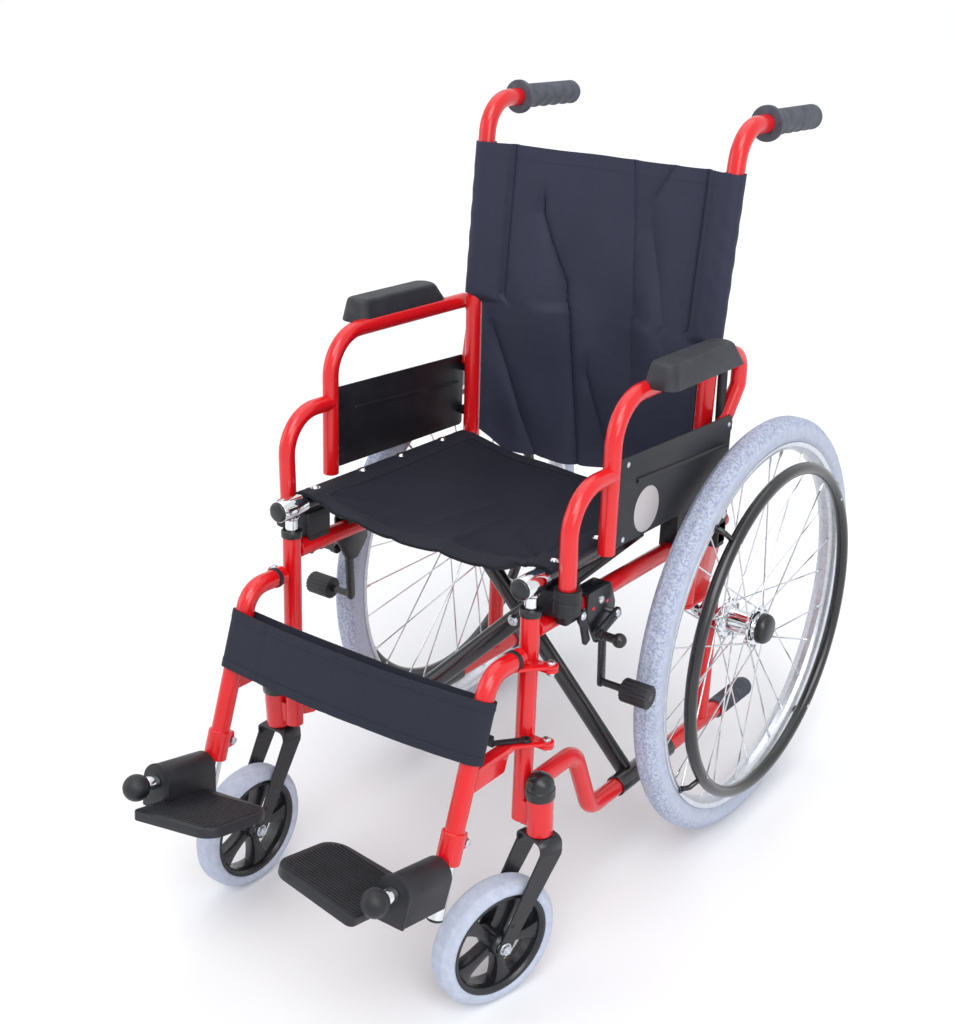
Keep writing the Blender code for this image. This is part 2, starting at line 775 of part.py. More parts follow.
def rear_upright(side, tag):
    """The rear upright with its axle plate, gusset, upper rail's rear stub and armrest's rear socket."""
    body = cylinder(
        (side * HALF_WIDTH, AXLE_S, SUNK), (side * HALF_WIDTH, AXLE_S, CANE_BOTTOM_T - SUNK), TUBE_RADIUS
    )
    shelf_low = CANE_BOTTOM_T - PLATE_THICKNESS - CLEARANCE
    shelf = box(
        (side * (HALF_WIDTH - TUBE_RADIUS), CANE_S - TUBE_RADIUS, shelf_low),
        (side * (HALF_WIDTH + TUBE_RADIUS), AXLE_S + TUBE_RADIUS, CANE_BOTTOM_T - CLEARANCE),
    )
    stub = rail_line(side, UPPER_RAIL_T, CANE_S, GUSSET_REAR_S, TUBE_RADIUS)
    gusset = side_plate_rounded(
        [
            (GUSSET_FRONT_S, shelf_low + SUNK), (GUSSET_FOOT_S, shelf_low + SUNK),
            (GUSSET_REAR_S, GUSSET_WAIST_T), (GUSSET_REAR_S, UPPER_RAIL_T), (GUSSET_FRONT_S, UPPER_RAIL_T),
        ],
        0.002, PLATE_THICKNESS, side * HALF_WIDTH,
    )
    socket = box(
        (side * (HALF_WIDTH + 0.006), ARM_PIVOT_S - SOCKET_HALF, UPPER_RAIL_T - 0.010),
        (side * SOCKET_OUTER_X, ARM_PIVOT_S + SOCKET_HALF, ARM_PIVOT_T + 0.009),
    )
    slot = box(
        (side * (EYE_INNER_X - 0.0006), ARM_PIVOT_S - 0.05, ARM_PIVOT_T - EYE_RADIUS - 0.0015),
        (side * (EYE_OUTER_X + 0.0006), ARM_PIVOT_S + 0.05, ARM_PIVOT_T + 0.05),
    )
    reach = (EYE_INNER_X - SUNK, SOCKET_OUTER_X + 0.0015)
    pin = cross_pin(side, reach, (ARM_PIVOT_S, ARM_PIVOT_T), ARM_PIN_RADIUS, 8)
    axle_reach = [(side * x, AXLE_S, AXLE_T) for x in (HALF_WIDTH - PAST, HALF_WIDTH + PAST)]
    made = joined(body, shelf, stub, gusset, socket)
    made = cut(
        made,
        cane_cope(side),
        lower_rail_cope(side),
        slot,
        bore(*axle_reach, AXLE_RADIUS + CLEARANCE),
    )
    return finished(joined(made, pin), f"rear_upright_{tag}", "red")


def back_cane(side, tag):
    """The back cane, bent back into the push handle."""
    return finished(tube(to_side(cane_path(), side), TUBE_RADIUS), f"back_cane_{tag}", "red")


def push_grip(side, tag):
    """The ribbed rubber grip on the push handle."""
    profile = [(0, GRIP_LENGTH), (GRIP_RADIUS * 0.85, GRIP_LENGTH), (GRIP_RADIUS, GRIP_LENGTH - 0.004)]
    for groove in range(GRIP_GROOVES):
        top = GRIP_LENGTH - 0.016 - groove * GRIP_PITCH
        profile += [(GRIP_RADIUS, top), (GRIP_RADIUS - 0.002, top - 0.004), (GRIP_RADIUS, top - 0.008)]
    profile += [(GRIP_RADIUS, 0.010), (GRIP_FLANGE_RADIUS, 0.006), (GRIP_FLANGE_RADIUS, 0), (0, 0)]
    start = (side * CANE_TOP_X, HANDLE_END_S + 0.007 - GRIP_LENGTH, HANDLE_T)
    body = turned(profile, 10, turn_to((0, 1, 0), start))
    hole = bore(
        (side * CANE_TOP_X, HANDLE_S, HANDLE_T),
        (side * CANE_TOP_X, HANDLE_END_S + CLEARANCE, HANDLE_T),
        TUBE_RADIUS + CLEARANCE,
    )
    return finished(cut(body, hole), f"push_grip_{tag}", "rubber")


def rear_axle(side, tag):
    """The axle bolt with its spacer collar outside the upright and its domed nut inside."""
    nut_low = HALF_WIDTH - TUBE_RADIUS - CLEARANCE
    profile = [
        (0, HUB_OUTER_X + 0.002), (AXLE_RADIUS, HUB_OUTER_X + 0.002),
        (AXLE_RADIUS, HUB_INNER_X - CLEARANCE), (AXLE_RADIUS + 0.004, HUB_INNER_X - CLEARANCE),
        (AXLE_RADIUS + 0.004, HALF_WIDTH + TUBE_RADIUS + CLEARANCE),
        (AXLE_RADIUS, HALF_WIDTH + TUBE_RADIUS + CLEARANCE),
        (AXLE_RADIUS, nut_low),
        (AXLE_NUT_RADIUS, nut_low),
        (AXLE_NUT_RADIUS, nut_low - AXLE_NUT_LENGTH * 0.45),
        (AXLE_NUT_RADIUS * 0.8, nut_low - AXLE_NUT_LENGTH * 0.8), (0, nut_low - AXLE_NUT_LENGTH),
    ]
    made = turned(profile, 10, sideways(side, 0, (AXLE_S, AXLE_T)))
    return finished(made, f"rear_axle_{tag}", "chrome", (side * HALF_WIDTH, AXLE_S, AXLE_T))


# The fold


def cross_brace(name, lower_side, s):
    """One cross tube, its sleeve round the opposite lower rail and the seat rail on its top end."""
    foot = Vector((lower_side * HALF_WIDTH, s, 0))
    head = Vector((-lower_side * HALF_WIDTH, s, SEAT_RAIL_T))
    bar = cylinder((0, 0, 0), (0, 0, (head - foot).length), 1, 12)
    bar.data.transform(Matrix.Diagonal((BRACE_WIDTH / 2, BRACE_DEPTH / 2, 1, 1)))
    lean = atan2(head.x - foot.x, head.z - foot.z)
    bar.data.transform(Matrix.Translation(foot) @ Matrix.Rotation(lean, 4, "Y"))
    inner = TUBE_RADIUS + RUNNING_CLEARANCE
    sleeve = rail_line(lower_side, 0, SLEEVE_FRONT_S, SLEEVE_REAR_S, inner + SLEEVE_WALL)
    seat_rail = rail_line(-lower_side, SEAT_RAIL_T, SEAT_RAIL_FRONT_S, SEAT_RAIL_REAR_S, SEAT_RAIL_RADIUS)
    hole = bore(
        (lower_side * HALF_WIDTH, SLEEVE_FRONT_S - PAST, 0),
        (lower_side * HALF_WIDTH, SLEEVE_REAR_S + PAST, 0),
        inner,
    )
    bolt_hole = bore((0, s - 0.02, BOLT_T), (0, s + 0.02, BOLT_T), CENTRE_BOLT_RADIUS + RUNNING_CLEARANCE, 8)
    made = cut(joined(bar, sleeve, seat_rail), hole, bolt_hole)
    return finished(made, name, "black_metal", foot)


def centre_bolt():
    """The bolt and nut where the cross tubes pass."""
    front = BRACE_FRONT_S - BRACE_DEPTH / 2 - CLEARANCE
    rear = BRACE_REAR_S + BRACE_DEPTH / 2 + CLEARANCE
    head = CENTRE_BOLT_RADIUS * 2
    profile = [
        (0, rear + 0.006), (head, rear + 0.006), (head, rear), (CENTRE_BOLT_RADIUS, rear),
        (CENTRE_BOLT_RADIUS, front), (head, front), (head, front - 0.004), (0, front - 0.006),
    ]
    made = turned(profile, 8, turn_to((0, 1, 0), (0, 0, BOLT_T)))
    return finished(made, "centre_bolt", "chrome", (0, BRACE_FRONT_S, BOLT_T))


def t_joint(side, tag):
    """The chrome cross sleeve on the seat rail's front end, with the stub that slides in the upright."""
    sleeve = rail_line(side, SEAT_RAIL_T, T_SLEEVE_FRONT_S, T_SLEEVE_REAR_S, T_SLEEVE_RADIUS, 12)
    stub = upright_line(side, UPRIGHT_TOP_T + COLLAR_LENGTH - STUB_DEPTH, SEAT_RAIL_T, STUB_RADIUS)
    hole = bore(
        (side * HALF_WIDTH, SEAT_RAIL_FRONT_S - CLEARANCE, SEAT_RAIL_T),
        (side * HALF_WIDTH, T_SLEEVE_REAR_S + PAST, SEAT_RAIL_T),
        SEAT_RAIL_RADIUS + RUNNING_CLEARANCE,
    )
    made = cut(joined(sleeve, stub), hole)
    return finished(made, f"t_joint_{tag}", "chrome", (side * HALF_WIDTH, 0, SEAT_RAIL_T))


# Rear wheels


def wheel_frame(side, steps):
    """Local z out along the rear axle, turned so that one flat of a wheel of so many steps is down."""
    outward = turn_to((side, 0, 0), (0, AXLE_S, AXLE_T))
    down = FRAME_TO_WORLD.to_3x3().inverted() @ Vector((0, 0, -1))
    local = outward.to_3x3().inverted() @ down
    return outward @ Matrix.Rotation(atan2(local.y, local.x) + pi / steps, 4, "Z")


def rear_tyre(side, tag):
    """The solid tyre, with the flat of its tread on the floor."""
    flat = cos(pi / REAR_STEPS)
    tread = REAR_RADIUS / flat
    half = REAR_TYRE_HALF_WIDTH
    base = RIM_OUTER + CLEARANCE
    middle = base + (tread - base) * 0.42
    section = [
        (base, half * 0.75), (middle, half), (tread, half * 0.45),
        (tread, -half * 0.45), (middle, -half), (base, -half * 0.75),
    ]
    profile = [(radius, REAR_PLANE_X + height) for radius, height in section]
    made = turned(profile, REAR_STEPS, wheel_frame(side, REAR_STEPS), closed=True)
    return finished(made, f"rear_tyre_{tag}", "grey_tyre", (side * REAR_PLANE_X, AXLE_S, AXLE_T))


def polar(radius, angle, height):
    """A point on a wheel from its radius, angle and place along the axle."""
    return Vector((radius * cos(angle), radius * sin(angle), height))


def spoke_set(lead):
    """Every spoke that leans the same way round the wheel, on both hub flanges."""
    made = []
    flanges = (HUB_INNER_X + HUB_FLANGE_INSET, HUB_OUTER_X - HUB_FLANGE_INSET)
    for index in range(SPOKE_COUNT):
        if (index // 2) % 2 != lead:
            continue
        angle = 2 * pi * index / SPOKE_COUNT
        sweep = (1 - 2 * lead) * SPOKE_CROSSING * 4 * pi / SPOKE_COUNT
        shift = (1 - 2 * lead) * SPOKE_RADIUS
        flange = flanges[index % 2] + shift
        at_hub = polar(HUB_FLANGE_RADIUS - 0.003, angle + sweep, flange)
        at_rim = polar(RIM_INNER + SPOKE_SUNK, angle, REAR_PLANE_X + (index % 2 - 0.5) * 0.006 + shift)
        made.append(cylinder(at_hub, at_rim, SPOKE_RADIUS, 3))
    return gathered(made)


def rear_wheel(side, tag):
    """The rim, the crossed spokes and the hub with its cap."""
    half = RIM_HALF_WIDTH
    section = [
        (RIM_OUTER, half), (RIM_OUTER, -half), (RIM_OUTER - 0.006, -half),
        (RIM_INNER, 0), (RIM_OUTER - 0.006, half),
    ]
    rim = turned([(r, REAR_PLANE_X + h) for r, h in section], REAR_STEPS, Matrix(), closed=True)
    cap_end = HUB_OUTER_X + HUB_CAP_LENGTH
    profile = [
        (0, cap_end), (HUB_CAP_RADIUS * 0.7, cap_end), (HUB_CAP_RADIUS, cap_end - 0.004),
        (HUB_CAP_RADIUS, HUB_OUTER_X), (HUB_RADIUS, HUB_OUTER_X),
    ]
    for flange in (HUB_OUTER_X - HUB_FLANGE_INSET, HUB_INNER_X + HUB_FLANGE_INSET):
        high = flange + HUB_FLANGE_THICKNESS / 2
        low = flange - HUB_FLANGE_THICKNESS / 2
        profile += [(HUB_RADIUS, high), (HUB_FLANGE_RADIUS, high)]
        profile += [(HUB_FLANGE_RADIUS, low), (HUB_RADIUS, low)]
    profile += [(HUB_RADIUS, HUB_INNER_X), (0, HUB_INNER_X)]
    hub = turned(profile, 12, Matrix())
    hole = bore((0, 0, HUB_INNER_X - 0.01), (0, 0, HUB_OUTER_X + 0.003), AXLE_RADIUS + RUNNING_CLEARANCE)
    made = joined(cut(hub, hole), spoke_set(0), spoke_set(1), rim)
    made.data.transform(wheel_frame(side, REAR_STEPS))
    return finished(made, f"rear_wheel_{tag}", "aluminium", (side * REAR_PLANE_X, AXLE_S, AXLE_T))


def handrim(side, tag):
    """The push ring on its clips from the rim."""
    sides = 6
    profile = []
    for index in range(sides):
        angle = pi / 2 - 2 * pi * (index + 0.5) / sides
        profile.append((HANDRIM_RADIUS + HANDRIM_TUBE * cos(angle), HANDRIM_X + HANDRIM_TUBE * sin(angle)))
    ring = turned(profile, HANDRIM_STEPS, Matrix(), closed=True)
    clips = []
    foot_low = REAR_PLANE_X + RIM_HALF_WIDTH + CLEARANCE
    for index in range(HANDRIM_CLIPS):
        angle = HANDRIM_FIRST_CLIP + 2 * pi * index / HANDRIM_CLIPS
        foot_radius = RIM_OUTER - CLIP_RADIUS
        foot = cylinder(
            polar(foot_radius, angle, foot_low),
            polar(foot_radius, angle, foot_low + CLIP_FOOT),
            CLIP_RADIUS, 6,
        )
        strut = cylinder(
            polar(foot_radius, angle, foot_low + CLIP_FOOT * 0.625),
            polar(HANDRIM_RADIUS + CLIP_RADIUS, angle, HANDRIM_X),
            CLIP_RADIUS * 0.8, 6,
        )
        clips.append(joined(foot, strut))
    made = joined(ring, *clips)
    made.data.transform(turn_to((side, 0, 0), (0, AXLE_S, AXLE_T)))
    return finished(made, f"handrim_{tag}", "black_metal", (side * HANDRIM_X, AXLE_S, AXLE_T))


# Casters, in the axes of their own swivel: local x along the axle, local -y towards the trailing wheel


def caster_fork(tag, axes):
    """The fork with its swivel stem and the wheel's axle bolt."""
    top = HOUSING_BOTTOM - CLEARANCE
    leg_x = CASTER_HALF_WIDTH + FORK_GAP + FORK_THICKNESS / 2
    outer = leg_x + FORK_THICKNESS / 2
    crown = box((-outer, -FORK_TOP_HALF, top - FORK_THICKNESS), (outer, FORK_TOP_HALF, top))
    stem = cylinder((0, 0, top - 0.001), (0, 0, HOUSING_TOP + 0.0074), STEM_RADIUS, 10)
    along = Vector((-CASTER_TRAIL, CASTER_RADIUS - (top - 0.02))).normalized()
    across = Vector((-along.y, along.x))
    outline = [(FORK_TOP_HALF, top), (FORK_TOP_HALF, top - 0.022)]
    for step in range(5):
        angle = pi * step / 4
        reach = cos(angle) * across + sin(angle) * along
        point = Vector((-CASTER_TRAIL, CASTER_RADIUS)) + FORK_TIP_RADIUS * reach
        outline.append((point.x, point.y))
    outline += [(-FORK_TOP_HALF - 0.002, top - 0.016), (-FORK_TOP_HALF, top)]
    legs = [side_plate(outline, FORK_THICKNESS, side * leg_x) for side in (-1, 1)]
    axle = (-CASTER_TRAIL, CASTER_RADIUS)
    bolt = cylinder((-outer - BOLT_HEAD / 2, *axle), (outer + BOLT_HEAD / 2, *axle), CASTER_AXLE_RADIUS, 8)
    heads = [
        cross_pin(side, (outer - LAP, outer + BOLT_HEAD), axle, CASTER_AXLE_RADIUS * 1.7, 6)
        for side in (-1, 1)
    ]
    made = joined(crown, stem, *legs, bolt, *heads)
    return finished(made, f"caster_fork_{tag}", "black_metal", parent=axes)


def caster_matrix():
    """Local z along the caster's axle, turned so that one flat of the tyre meets the floor."""
    outward = turn_to((1, 0, 0), (0, -CASTER_TRAIL, CASTER_RADIUS))
    local = outward.to_3x3().inverted() @ Vector((0, 0, -1))
    return outward @ Matrix.Rotation(atan2(local.y, local.x) + pi / CASTER_STEPS, 4, "Z")


def caster_tyre(tag, axes):
    """The solid tyre of the caster."""
    tread = CASTER_RADIUS / cos(pi / CASTER_STEPS)
    half = CASTER_HALF_WIDTH
    base = CASTER_HUB_RADIUS + CLEARANCE
    section = [
        (base, half * 0.94), (tread - 0.0065, half), (tread, half * 0.5),
        (tread, -half * 0.5), (tread - 0.0065, -half), (base, -half * 0.94),
    ]
    made = turned(section, CASTER_STEPS, caster_matrix(), closed=True)
    return finished(made, f"caster_tyre_{tag}", "grey_tyre", (0, -CASTER_TRAIL, CASTER_RADIUS), axes)


def caster_wheel(tag, axes):
    """The five-spoke hub of the caster."""
    half = CASTER_HALF_WIDTH * 0.9
    inner = CASTER_HUB_RADIUS - CASTER_HUB_WALL
    ring = turned(
        [(CASTER_HUB_RADIUS, half), (CASTER_HUB_RADIUS, -half), (inner, -half), (inner, half)],
        CASTER_STEPS, Matrix(), closed=True,
    )
    reach = CASTER_HALF_WIDTH + FORK_GAP - 2 * CLEARANCE
    barrel = cylinder((0, 0, -reach), (0, 0, reach), CASTER_BARREL_RADIUS)
    spokes = []
    for index in range(CASTER_SPOKES):
        turn = Matrix.Rotation(2 * pi * index / CASTER_SPOKES, 4, "Z")
        width = CASTER_SPOKE_WIDTH / 2
        spokes.append(box((0.004, -width, -half * 0.6), (inner + 0.003, width, half * 0.6), turn))
    hole = bore((0, 0, -0.05), (0, 0, 0.05), CASTER_AXLE_RADIUS + RUNNING_CLEARANCE, 8)
    made = cut(joined(barrel, *spokes, ring), hole)
    made.data.transform(caster_matrix())
    return finished(made, f"caster_wheel_{tag}", "black_plastic", (0, -CASTER_TRAIL, CASTER_RADIUS), axes)


# Armrests


def arm_plane(points, side):
    """Points of (s, t) in the plane of one armrest."""
    return [(side * ARM_X, s, t) for s, t in points]


def arm_main_path(side):
    """The armrest's main tube: front post, top and the bend down behind."""
    corners = [
        (ARM_POST_S, ARM_POST_BOTTOM_T), (ARM_POST_S, ARM_TOP_T), (ARM_REAR_S, ARM_TOP_T),
        (ARM_REAR_S - 0.001, ARM_TOP_T - 0.042), (ARM_PIVOT_S - 0.004, ARM_TOP_T - 0.0645),
    ]
    return filleted(arm_plane(corners, side), [0, ARM_FRONT_BEND, ARM_REAR_BEND, 0.012, 0], steps=3)


def armrest_frame(side, tag):
    """The red tubes, the rear post with its pivot eye, and the tabs that carry the skirt guard."""
    main = tube(arm_main_path(side), ARM_TUBE)
    leg_corners = [
        (ARM_LEG_S, ARM_LEG_BOTTOM_T), (ARM_LEG_TOP_S, ARM_LEG_JOIN_T), (ARM_POST_S, ARM_LEG_JOIN_T),
    ]
    leg = tube(filleted(arm_plane(leg_corners, side), [0, ARM_LEG_BEND, 0], steps=3), ARM_TUBE)
    post = cylinder(
        (side * REAR_POST_X, ARM_PIVOT_S, ARM_PIVOT_T), (side * REAR_POST_X, ARM_PIVOT_S, ARM_TOP_T - 0.055),
        REAR_POST_RADIUS, 8,
    )
    eye = cross_pin(side, (EYE_INNER_X, EYE_OUTER_X), (ARM_PIVOT_S, ARM_PIVOT_T), EYE_RADIUS)
    tab_end = GUARD_X - GUARD_THICKNESS / 2 - CLEARANCE
    tabs = []
    for t in GUARD_RIVET_T:
        low, high = t - TAB_HALF_HEIGHT, t + TAB_HALF_HEIGHT
        front_end = GUARD_FRONT_S + TAB_REACH
        tabs.append(box((side * (ARM_X - SUNK), ARM_POST_S, low), (side * tab_end, front_end, high)))
        tabs.append(
            box(
                (side * REAR_POST_X, ARM_PIVOT_S - TAB_HALF_WIDTH, low),
                (side * tab_end, ARM_PIVOT_S + TAB_HALF_WIDTH, high),
            )
        )
    hole = cross_bore(side, (ARM_PIVOT_S, ARM_PIVOT_T), ARM_PIN_RADIUS)
    made = cut(joined(main, leg, post, eye, *tabs), hole)
    return finished(made, f"armrest_frame_{tag}", "red", (side * ARM_X, ARM_PIVOT_S, ARM_PIVOT_T))


def pad_ring(side, rise, inset):
    """One level of the arm pad: a rectangle with round corners, drawn in with its height and by an inset."""
    sides = inset + PAD_SIDE_TAPER * rise
    low = Vector((PAD_INNER_X + sides, PAD_FRONT_S + inset + PAD_FRONT_TAPER * rise))
    high = Vector((PAD_OUTER_X - sides, PAD_REAR_S - inset - PAD_REAR_TAPER * rise))
    t = PAD_BOTTOM_T + (PAD_TOP_T - PAD_BOTTOM_T) * rise
    ring = []
    for quarter, (right, back) in enumerate(((1, 1), (0, 1), (0, 0), (1, 0))):
        corner = Vector((high.x if right else low.x, high.y if back else low.y))
        centre = corner - PAD_CORNER * Vector((2 * right - 1, 2 * back - 1))
        for step in range(4):
            angle = (quarter + step / 3) * pi / 2
            point = centre + PAD_CORNER * Vector((cos(angle), sin(angle)))
            ring.append((side * point.x, point.y, t))
    return ring


def armrest_pad(side, tag):
    """The moulded pad over the armrest's top tube, wider below than above."""
    round_rise = PAD_ROUND / (PAD_TOP_T - PAD_BOTTOM_T)
    levels = ((0, 0), (1 - round_rise, 0), (1 - round_rise * 0.3, PAD_ROUND * 0.3), (1, PAD_ROUND))
    pad = lofted([pad_ring(side, rise, inset) for rise, inset in levels])
    made = cut(pad, tube(arm_main_path(side)[1:-4], ARM_TUBE + CLEARANCE))
    return finished(made, f"armrest_pad_{tag}", "pad", (side * ARM_X, ARM_PIVOT_S, ARM_PIVOT_T))


def skirt_guard(side, tag):
    """The plastic skirt guard with its rivet heads."""
    outline = [
        (GUARD_FRONT_S, GUARD_BOTTOM_T), (GUARD_REAR_S, GUARD_BOTTOM_T - 0.004),
        (GUARD_REAR_S, GUARD_TOP_T - 0.008), (GUARD_FRONT_S, GUARD_TOP_T),
    ]
    panel = side_plate_rounded(outline, 0.005, GUARD_THICKNESS, side * GUARD_X)
    rivets = []
    for t in GUARD_RIVET_T:
        for s in (GUARD_FRONT_S + 0.008, GUARD_REAR_S - 0.006):
            outer = GUARD_X + GUARD_THICKNESS / 2
            rivets.append(cross_pin(side, (GUARD_X, outer + RIVET_HEIGHT), (s, t), RIVET_RADIUS, 6))
    pivot = (side * ARM_X, ARM_PIVOT_S, ARM_PIVOT_T)
    return finished(joined(panel, *rivets), f"skirt_guard_{tag}", "black_plastic", pivot)


def armrest_clamp(side, tag):
    """The clamp on the upper rail that takes the armrest's front leg and carries the release latch."""
    collar = cylinder(
        (side * ARM_X, ARM_LEG_S, ARM_LEG_BOTTOM_T - SOCKET_BELOW),
        (side * ARM_X, ARM_LEG_S, ARM_LEG_BOTTOM_T + SOCKET_ABOVE),
        LEG_COLLAR_RADIUS, 12,
    )
    body = box(
        (side * (HALF_WIDTH - 0.009), T_SLEEVE_REAR_S + 0.001, UPPER_RAIL_T + 0.002),
        (side * (ARM_X - 0.001), LATCH_S + 0.006, SEAT_RAIL_T - 0.004),
    )
    ear_end = LATCH_X - LATCH_THICKNESS / 2 - CLEARANCE
    ear = box(
        (side * (HALF_WIDTH + 0.012), LATCH_S - LATCH_EAR, LATCH_T - LATCH_EAR),
        (side * ear_end, LATCH_S + LATCH_EAR, LATCH_T + 0.02),
    )
    pin = cross_pin(side, (LATCH_X - 0.006, LATCH_X + 0.004), (LATCH_S, LATCH_T), LATCH_PIN_RADIUS, 8)
    made = cut(
        joined(collar, body, ear),
        rail_line(side, UPPER_RAIL_T, 0.0, 0.1, TUBE_RADIUS + CLEARANCE),
        rail_line(side, SEAT_RAIL_T, 0.0, 0.1, SEAT_RAIL_RADIUS + 2 * CLEARANCE),
        bore(
            (side * ARM_X, ARM_LEG_S, ARM_LEG_BOTTOM_T - SUNK),
            (side * ARM_X, ARM_LEG_S, ARM_LEG_BOTTOM_T + PAST),
            ARM_TUBE + SOCKET_PLAY, 12,
        ),
    )
    return finished(joined(made, pin), f"armrest_clamp_{tag}", "black_plastic")


def armrest_latch(side, tag):
    """The small lever that hangs from the armrest's clamp."""
    bar = side_plate_rounded(
        [
            (LATCH_S - 0.006, LATCH_T + 0.006), (LATCH_S + 0.006, LATCH_T + 0.006),
            (LATCH_S + 0.019, LATCH_T - 0.036), (LATCH_S + 0.009, LATCH_T - 0.040),
            (LATCH_S - 0.006, LATCH_T - 0.006),
        ],
        0.003, LATCH_THICKNESS, side * LATCH_X,
    )
    hole = cross_bore(side, (LATCH_S, LATCH_T), LATCH_PIN_RADIUS)
    pivot = (side * LATCH_X, LATCH_S, LATCH_T)
    return finished(cut(bar, hole), f"armrest_latch_{tag}", "black_plastic", pivot)


# Brakes


def link(side, start, end, width, low_x, high_x):
    """A flat link with round ends between two (s, t) points, from low_x to high_x."""
    start, end = Vector(start), Vector(end)
    along = (end - start).normalized()
    across = Vector((-along.y, along.x))
    outline = []
    for centre, sign in ((start, -1), (end, 1)):
        for step in range(5):
            angle = pi * step / 4
            point = centre + width / 2 * sign * (cos(angle) * across + sin(angle) * along)
            outline.append((point.x, point.y))
    return side_plate(outline, high_x - low_x, side * (low_x + high_x) / 2)


def brake_bracket(side, tag):
    """The plate bolted over the upper rail, with the pins of the lever and the arm."""
    face = HALF_WIDTH + TUBE_RADIUS + CLEARANCE
    front, rear = BRAKE_S - 0.0275, BRAKE_S + 0.0215
    outline = [
        (front, UPPER_RAIL_T + 0.0155), (rear, UPPER_RAIL_T + 0.0155), (rear + 0.012, BRAKE_PIVOT_T + 0.010),
        (rear + 0.012, BRAKE_PIVOT_T - 0.009), (ARM_PIN_S + 0.010, BRAKE_ARM_T - 0.009),
        (ARM_PIN_S - 0.009, BRAKE_ARM_T - 0.009), (front, UPPER_RAIL_T - 0.016),
    ]
    panel = side_plate_rounded(outline, 0.004, PLATE_THICKNESS, side * (face + PLATE_THICKNESS / 2))
    top = UPPER_RAIL_T + TUBE_RADIUS + CLEARANCE
    hook = box(
        (side * (HALF_WIDTH - 0.008), front + SUNK, top),
        (side * (face + SUNK), rear - SUNK, top + HOOK_THICKNESS),
    )
    outer = face + PLATE_THICKNESS
    pins = [
        cross_pin(side, (face, outer + 0.003), (BRAKE_S, UPPER_RAIL_T), BRAKE_BOLT_RADIUS, 6),
        cross_pin(side, (face + LAP, outer + 0.0048), (ARM_PIN_S, BRAKE_ARM_T), BRAKE_ARM_PIN_RADIUS, 8),
        cross_pin(side, (face + LAP, outer + 0.013), (BRAKE_PIVOT_S, BRAKE_PIVOT_T), BRAKE_PIN_RADIUS, 8),
    ]
    return finished(joined(panel, hook, *pins), f"brake_bracket_{tag}", "black_metal")


def brake_lever(side, tag):
    """The hand lever with its ball knob."""
    inner = HALF_WIDTH + TUBE_RADIUS + PLATE_THICKNESS + 0.006
    bar = link(side, (BRAKE_PIVOT_S, BRAKE_PIVOT_T), (KNOB_S, KNOB_T), 0.014, inner, inner + 0.004)
    stem = cross_pin(side, (inner + SUNK, KNOB_X), (KNOB_S, KNOB_T), KNOB_STEM_RADIUS, 8)
    knob = ball((side * KNOB_X, KNOB_S, KNOB_T), KNOB_RADIUS)
    hole = cross_bore(side, (BRAKE_PIVOT_S, BRAKE_PIVOT_T), BRAKE_PIN_RADIUS)
    made = cut(joined(bar, stem, knob), hole)
    return finished(made, f"brake_lever_{tag}", "black_plastic", (side * inner, BRAKE_PIVOT_S, BRAKE_PIVOT_T))


def brake_arm(side, tag):
    """The arm that presses its roller on the tyre."""
    inner = HALF_WIDTH + TUBE_RADIUS + PLATE_THICKNESS + 0.001
    bar = link(side, (ARM_PIN_S, BRAKE_ARM_T), (ROLLER_S, ROLLER_T), 0.013, inner, inner + 0.004)
    place = (ROLLER_S, ROLLER_T)
    shaft = cross_pin(side, (inner + SUNK, ROLLER_INNER_X + SUNK), place, ROLLER_SHAFT_RADIUS, 8)
    roller = cross_pin(side, (ROLLER_INNER_X, ROLLER_INNER_X + ROLLER_LENGTH), place, ROLLER_RADIUS, 12)
    hole = cross_bore(side, (ARM_PIN_S, BRAKE_ARM_T), BRAKE_ARM_PIN_RADIUS)
    made = cut(joined(bar, shaft, roller), hole)
    return finished(made, f"brake_arm_{tag}", "black_metal", (side * inner, ARM_PIN_S, BRAKE_ARM_T))


# Footrests


def hanger_point(side, t):
    """The point of the hanger's straight run at height t."""
    return Vector((side * HALF_WIDTH, HANGER_FRONT_S - (HANGER_TOP_T - t) * HANGER_LEAN, t))


def foot_axes(side):
    """The footplate's axes: local x inward, local y forward along its pivot rod, local z up."""
    forward = Vector((0, -cos(FOOT_AXIS_RISE), sin(FOOT_AXIS_RISE)))
    up = Vector((0, sin(FOOT_AXIS_RISE), cos(FOOT_AXIS_RISE)))
    origin = hanger_point(side, FOOT_AXIS_T)
    columns = (Vector((-side, 0, 0)), forward, up, origin)
    return Matrix([[column[row] for column in columns] for row in range(3)] + [[0, 0, 0, 1]])


def bar(start, end, width, thickness):
    """A flat bar between two points, level across its width."""
    start = Vector(start)
    along = Vector(end) - start
    forward = along.normalized()
    across = Vector((0, 0, 1)).cross(forward).normalized()
    up = forward.cross(across)
    columns = (across, forward, up, start)
    axes = Matrix([[column[row] for column in columns] for row in range(3)] + [[0, 0, 0, 1]])
    return box((-width / 2, 0, -thickness / 2), (width / 2, along.length, thickness / 2), axes)


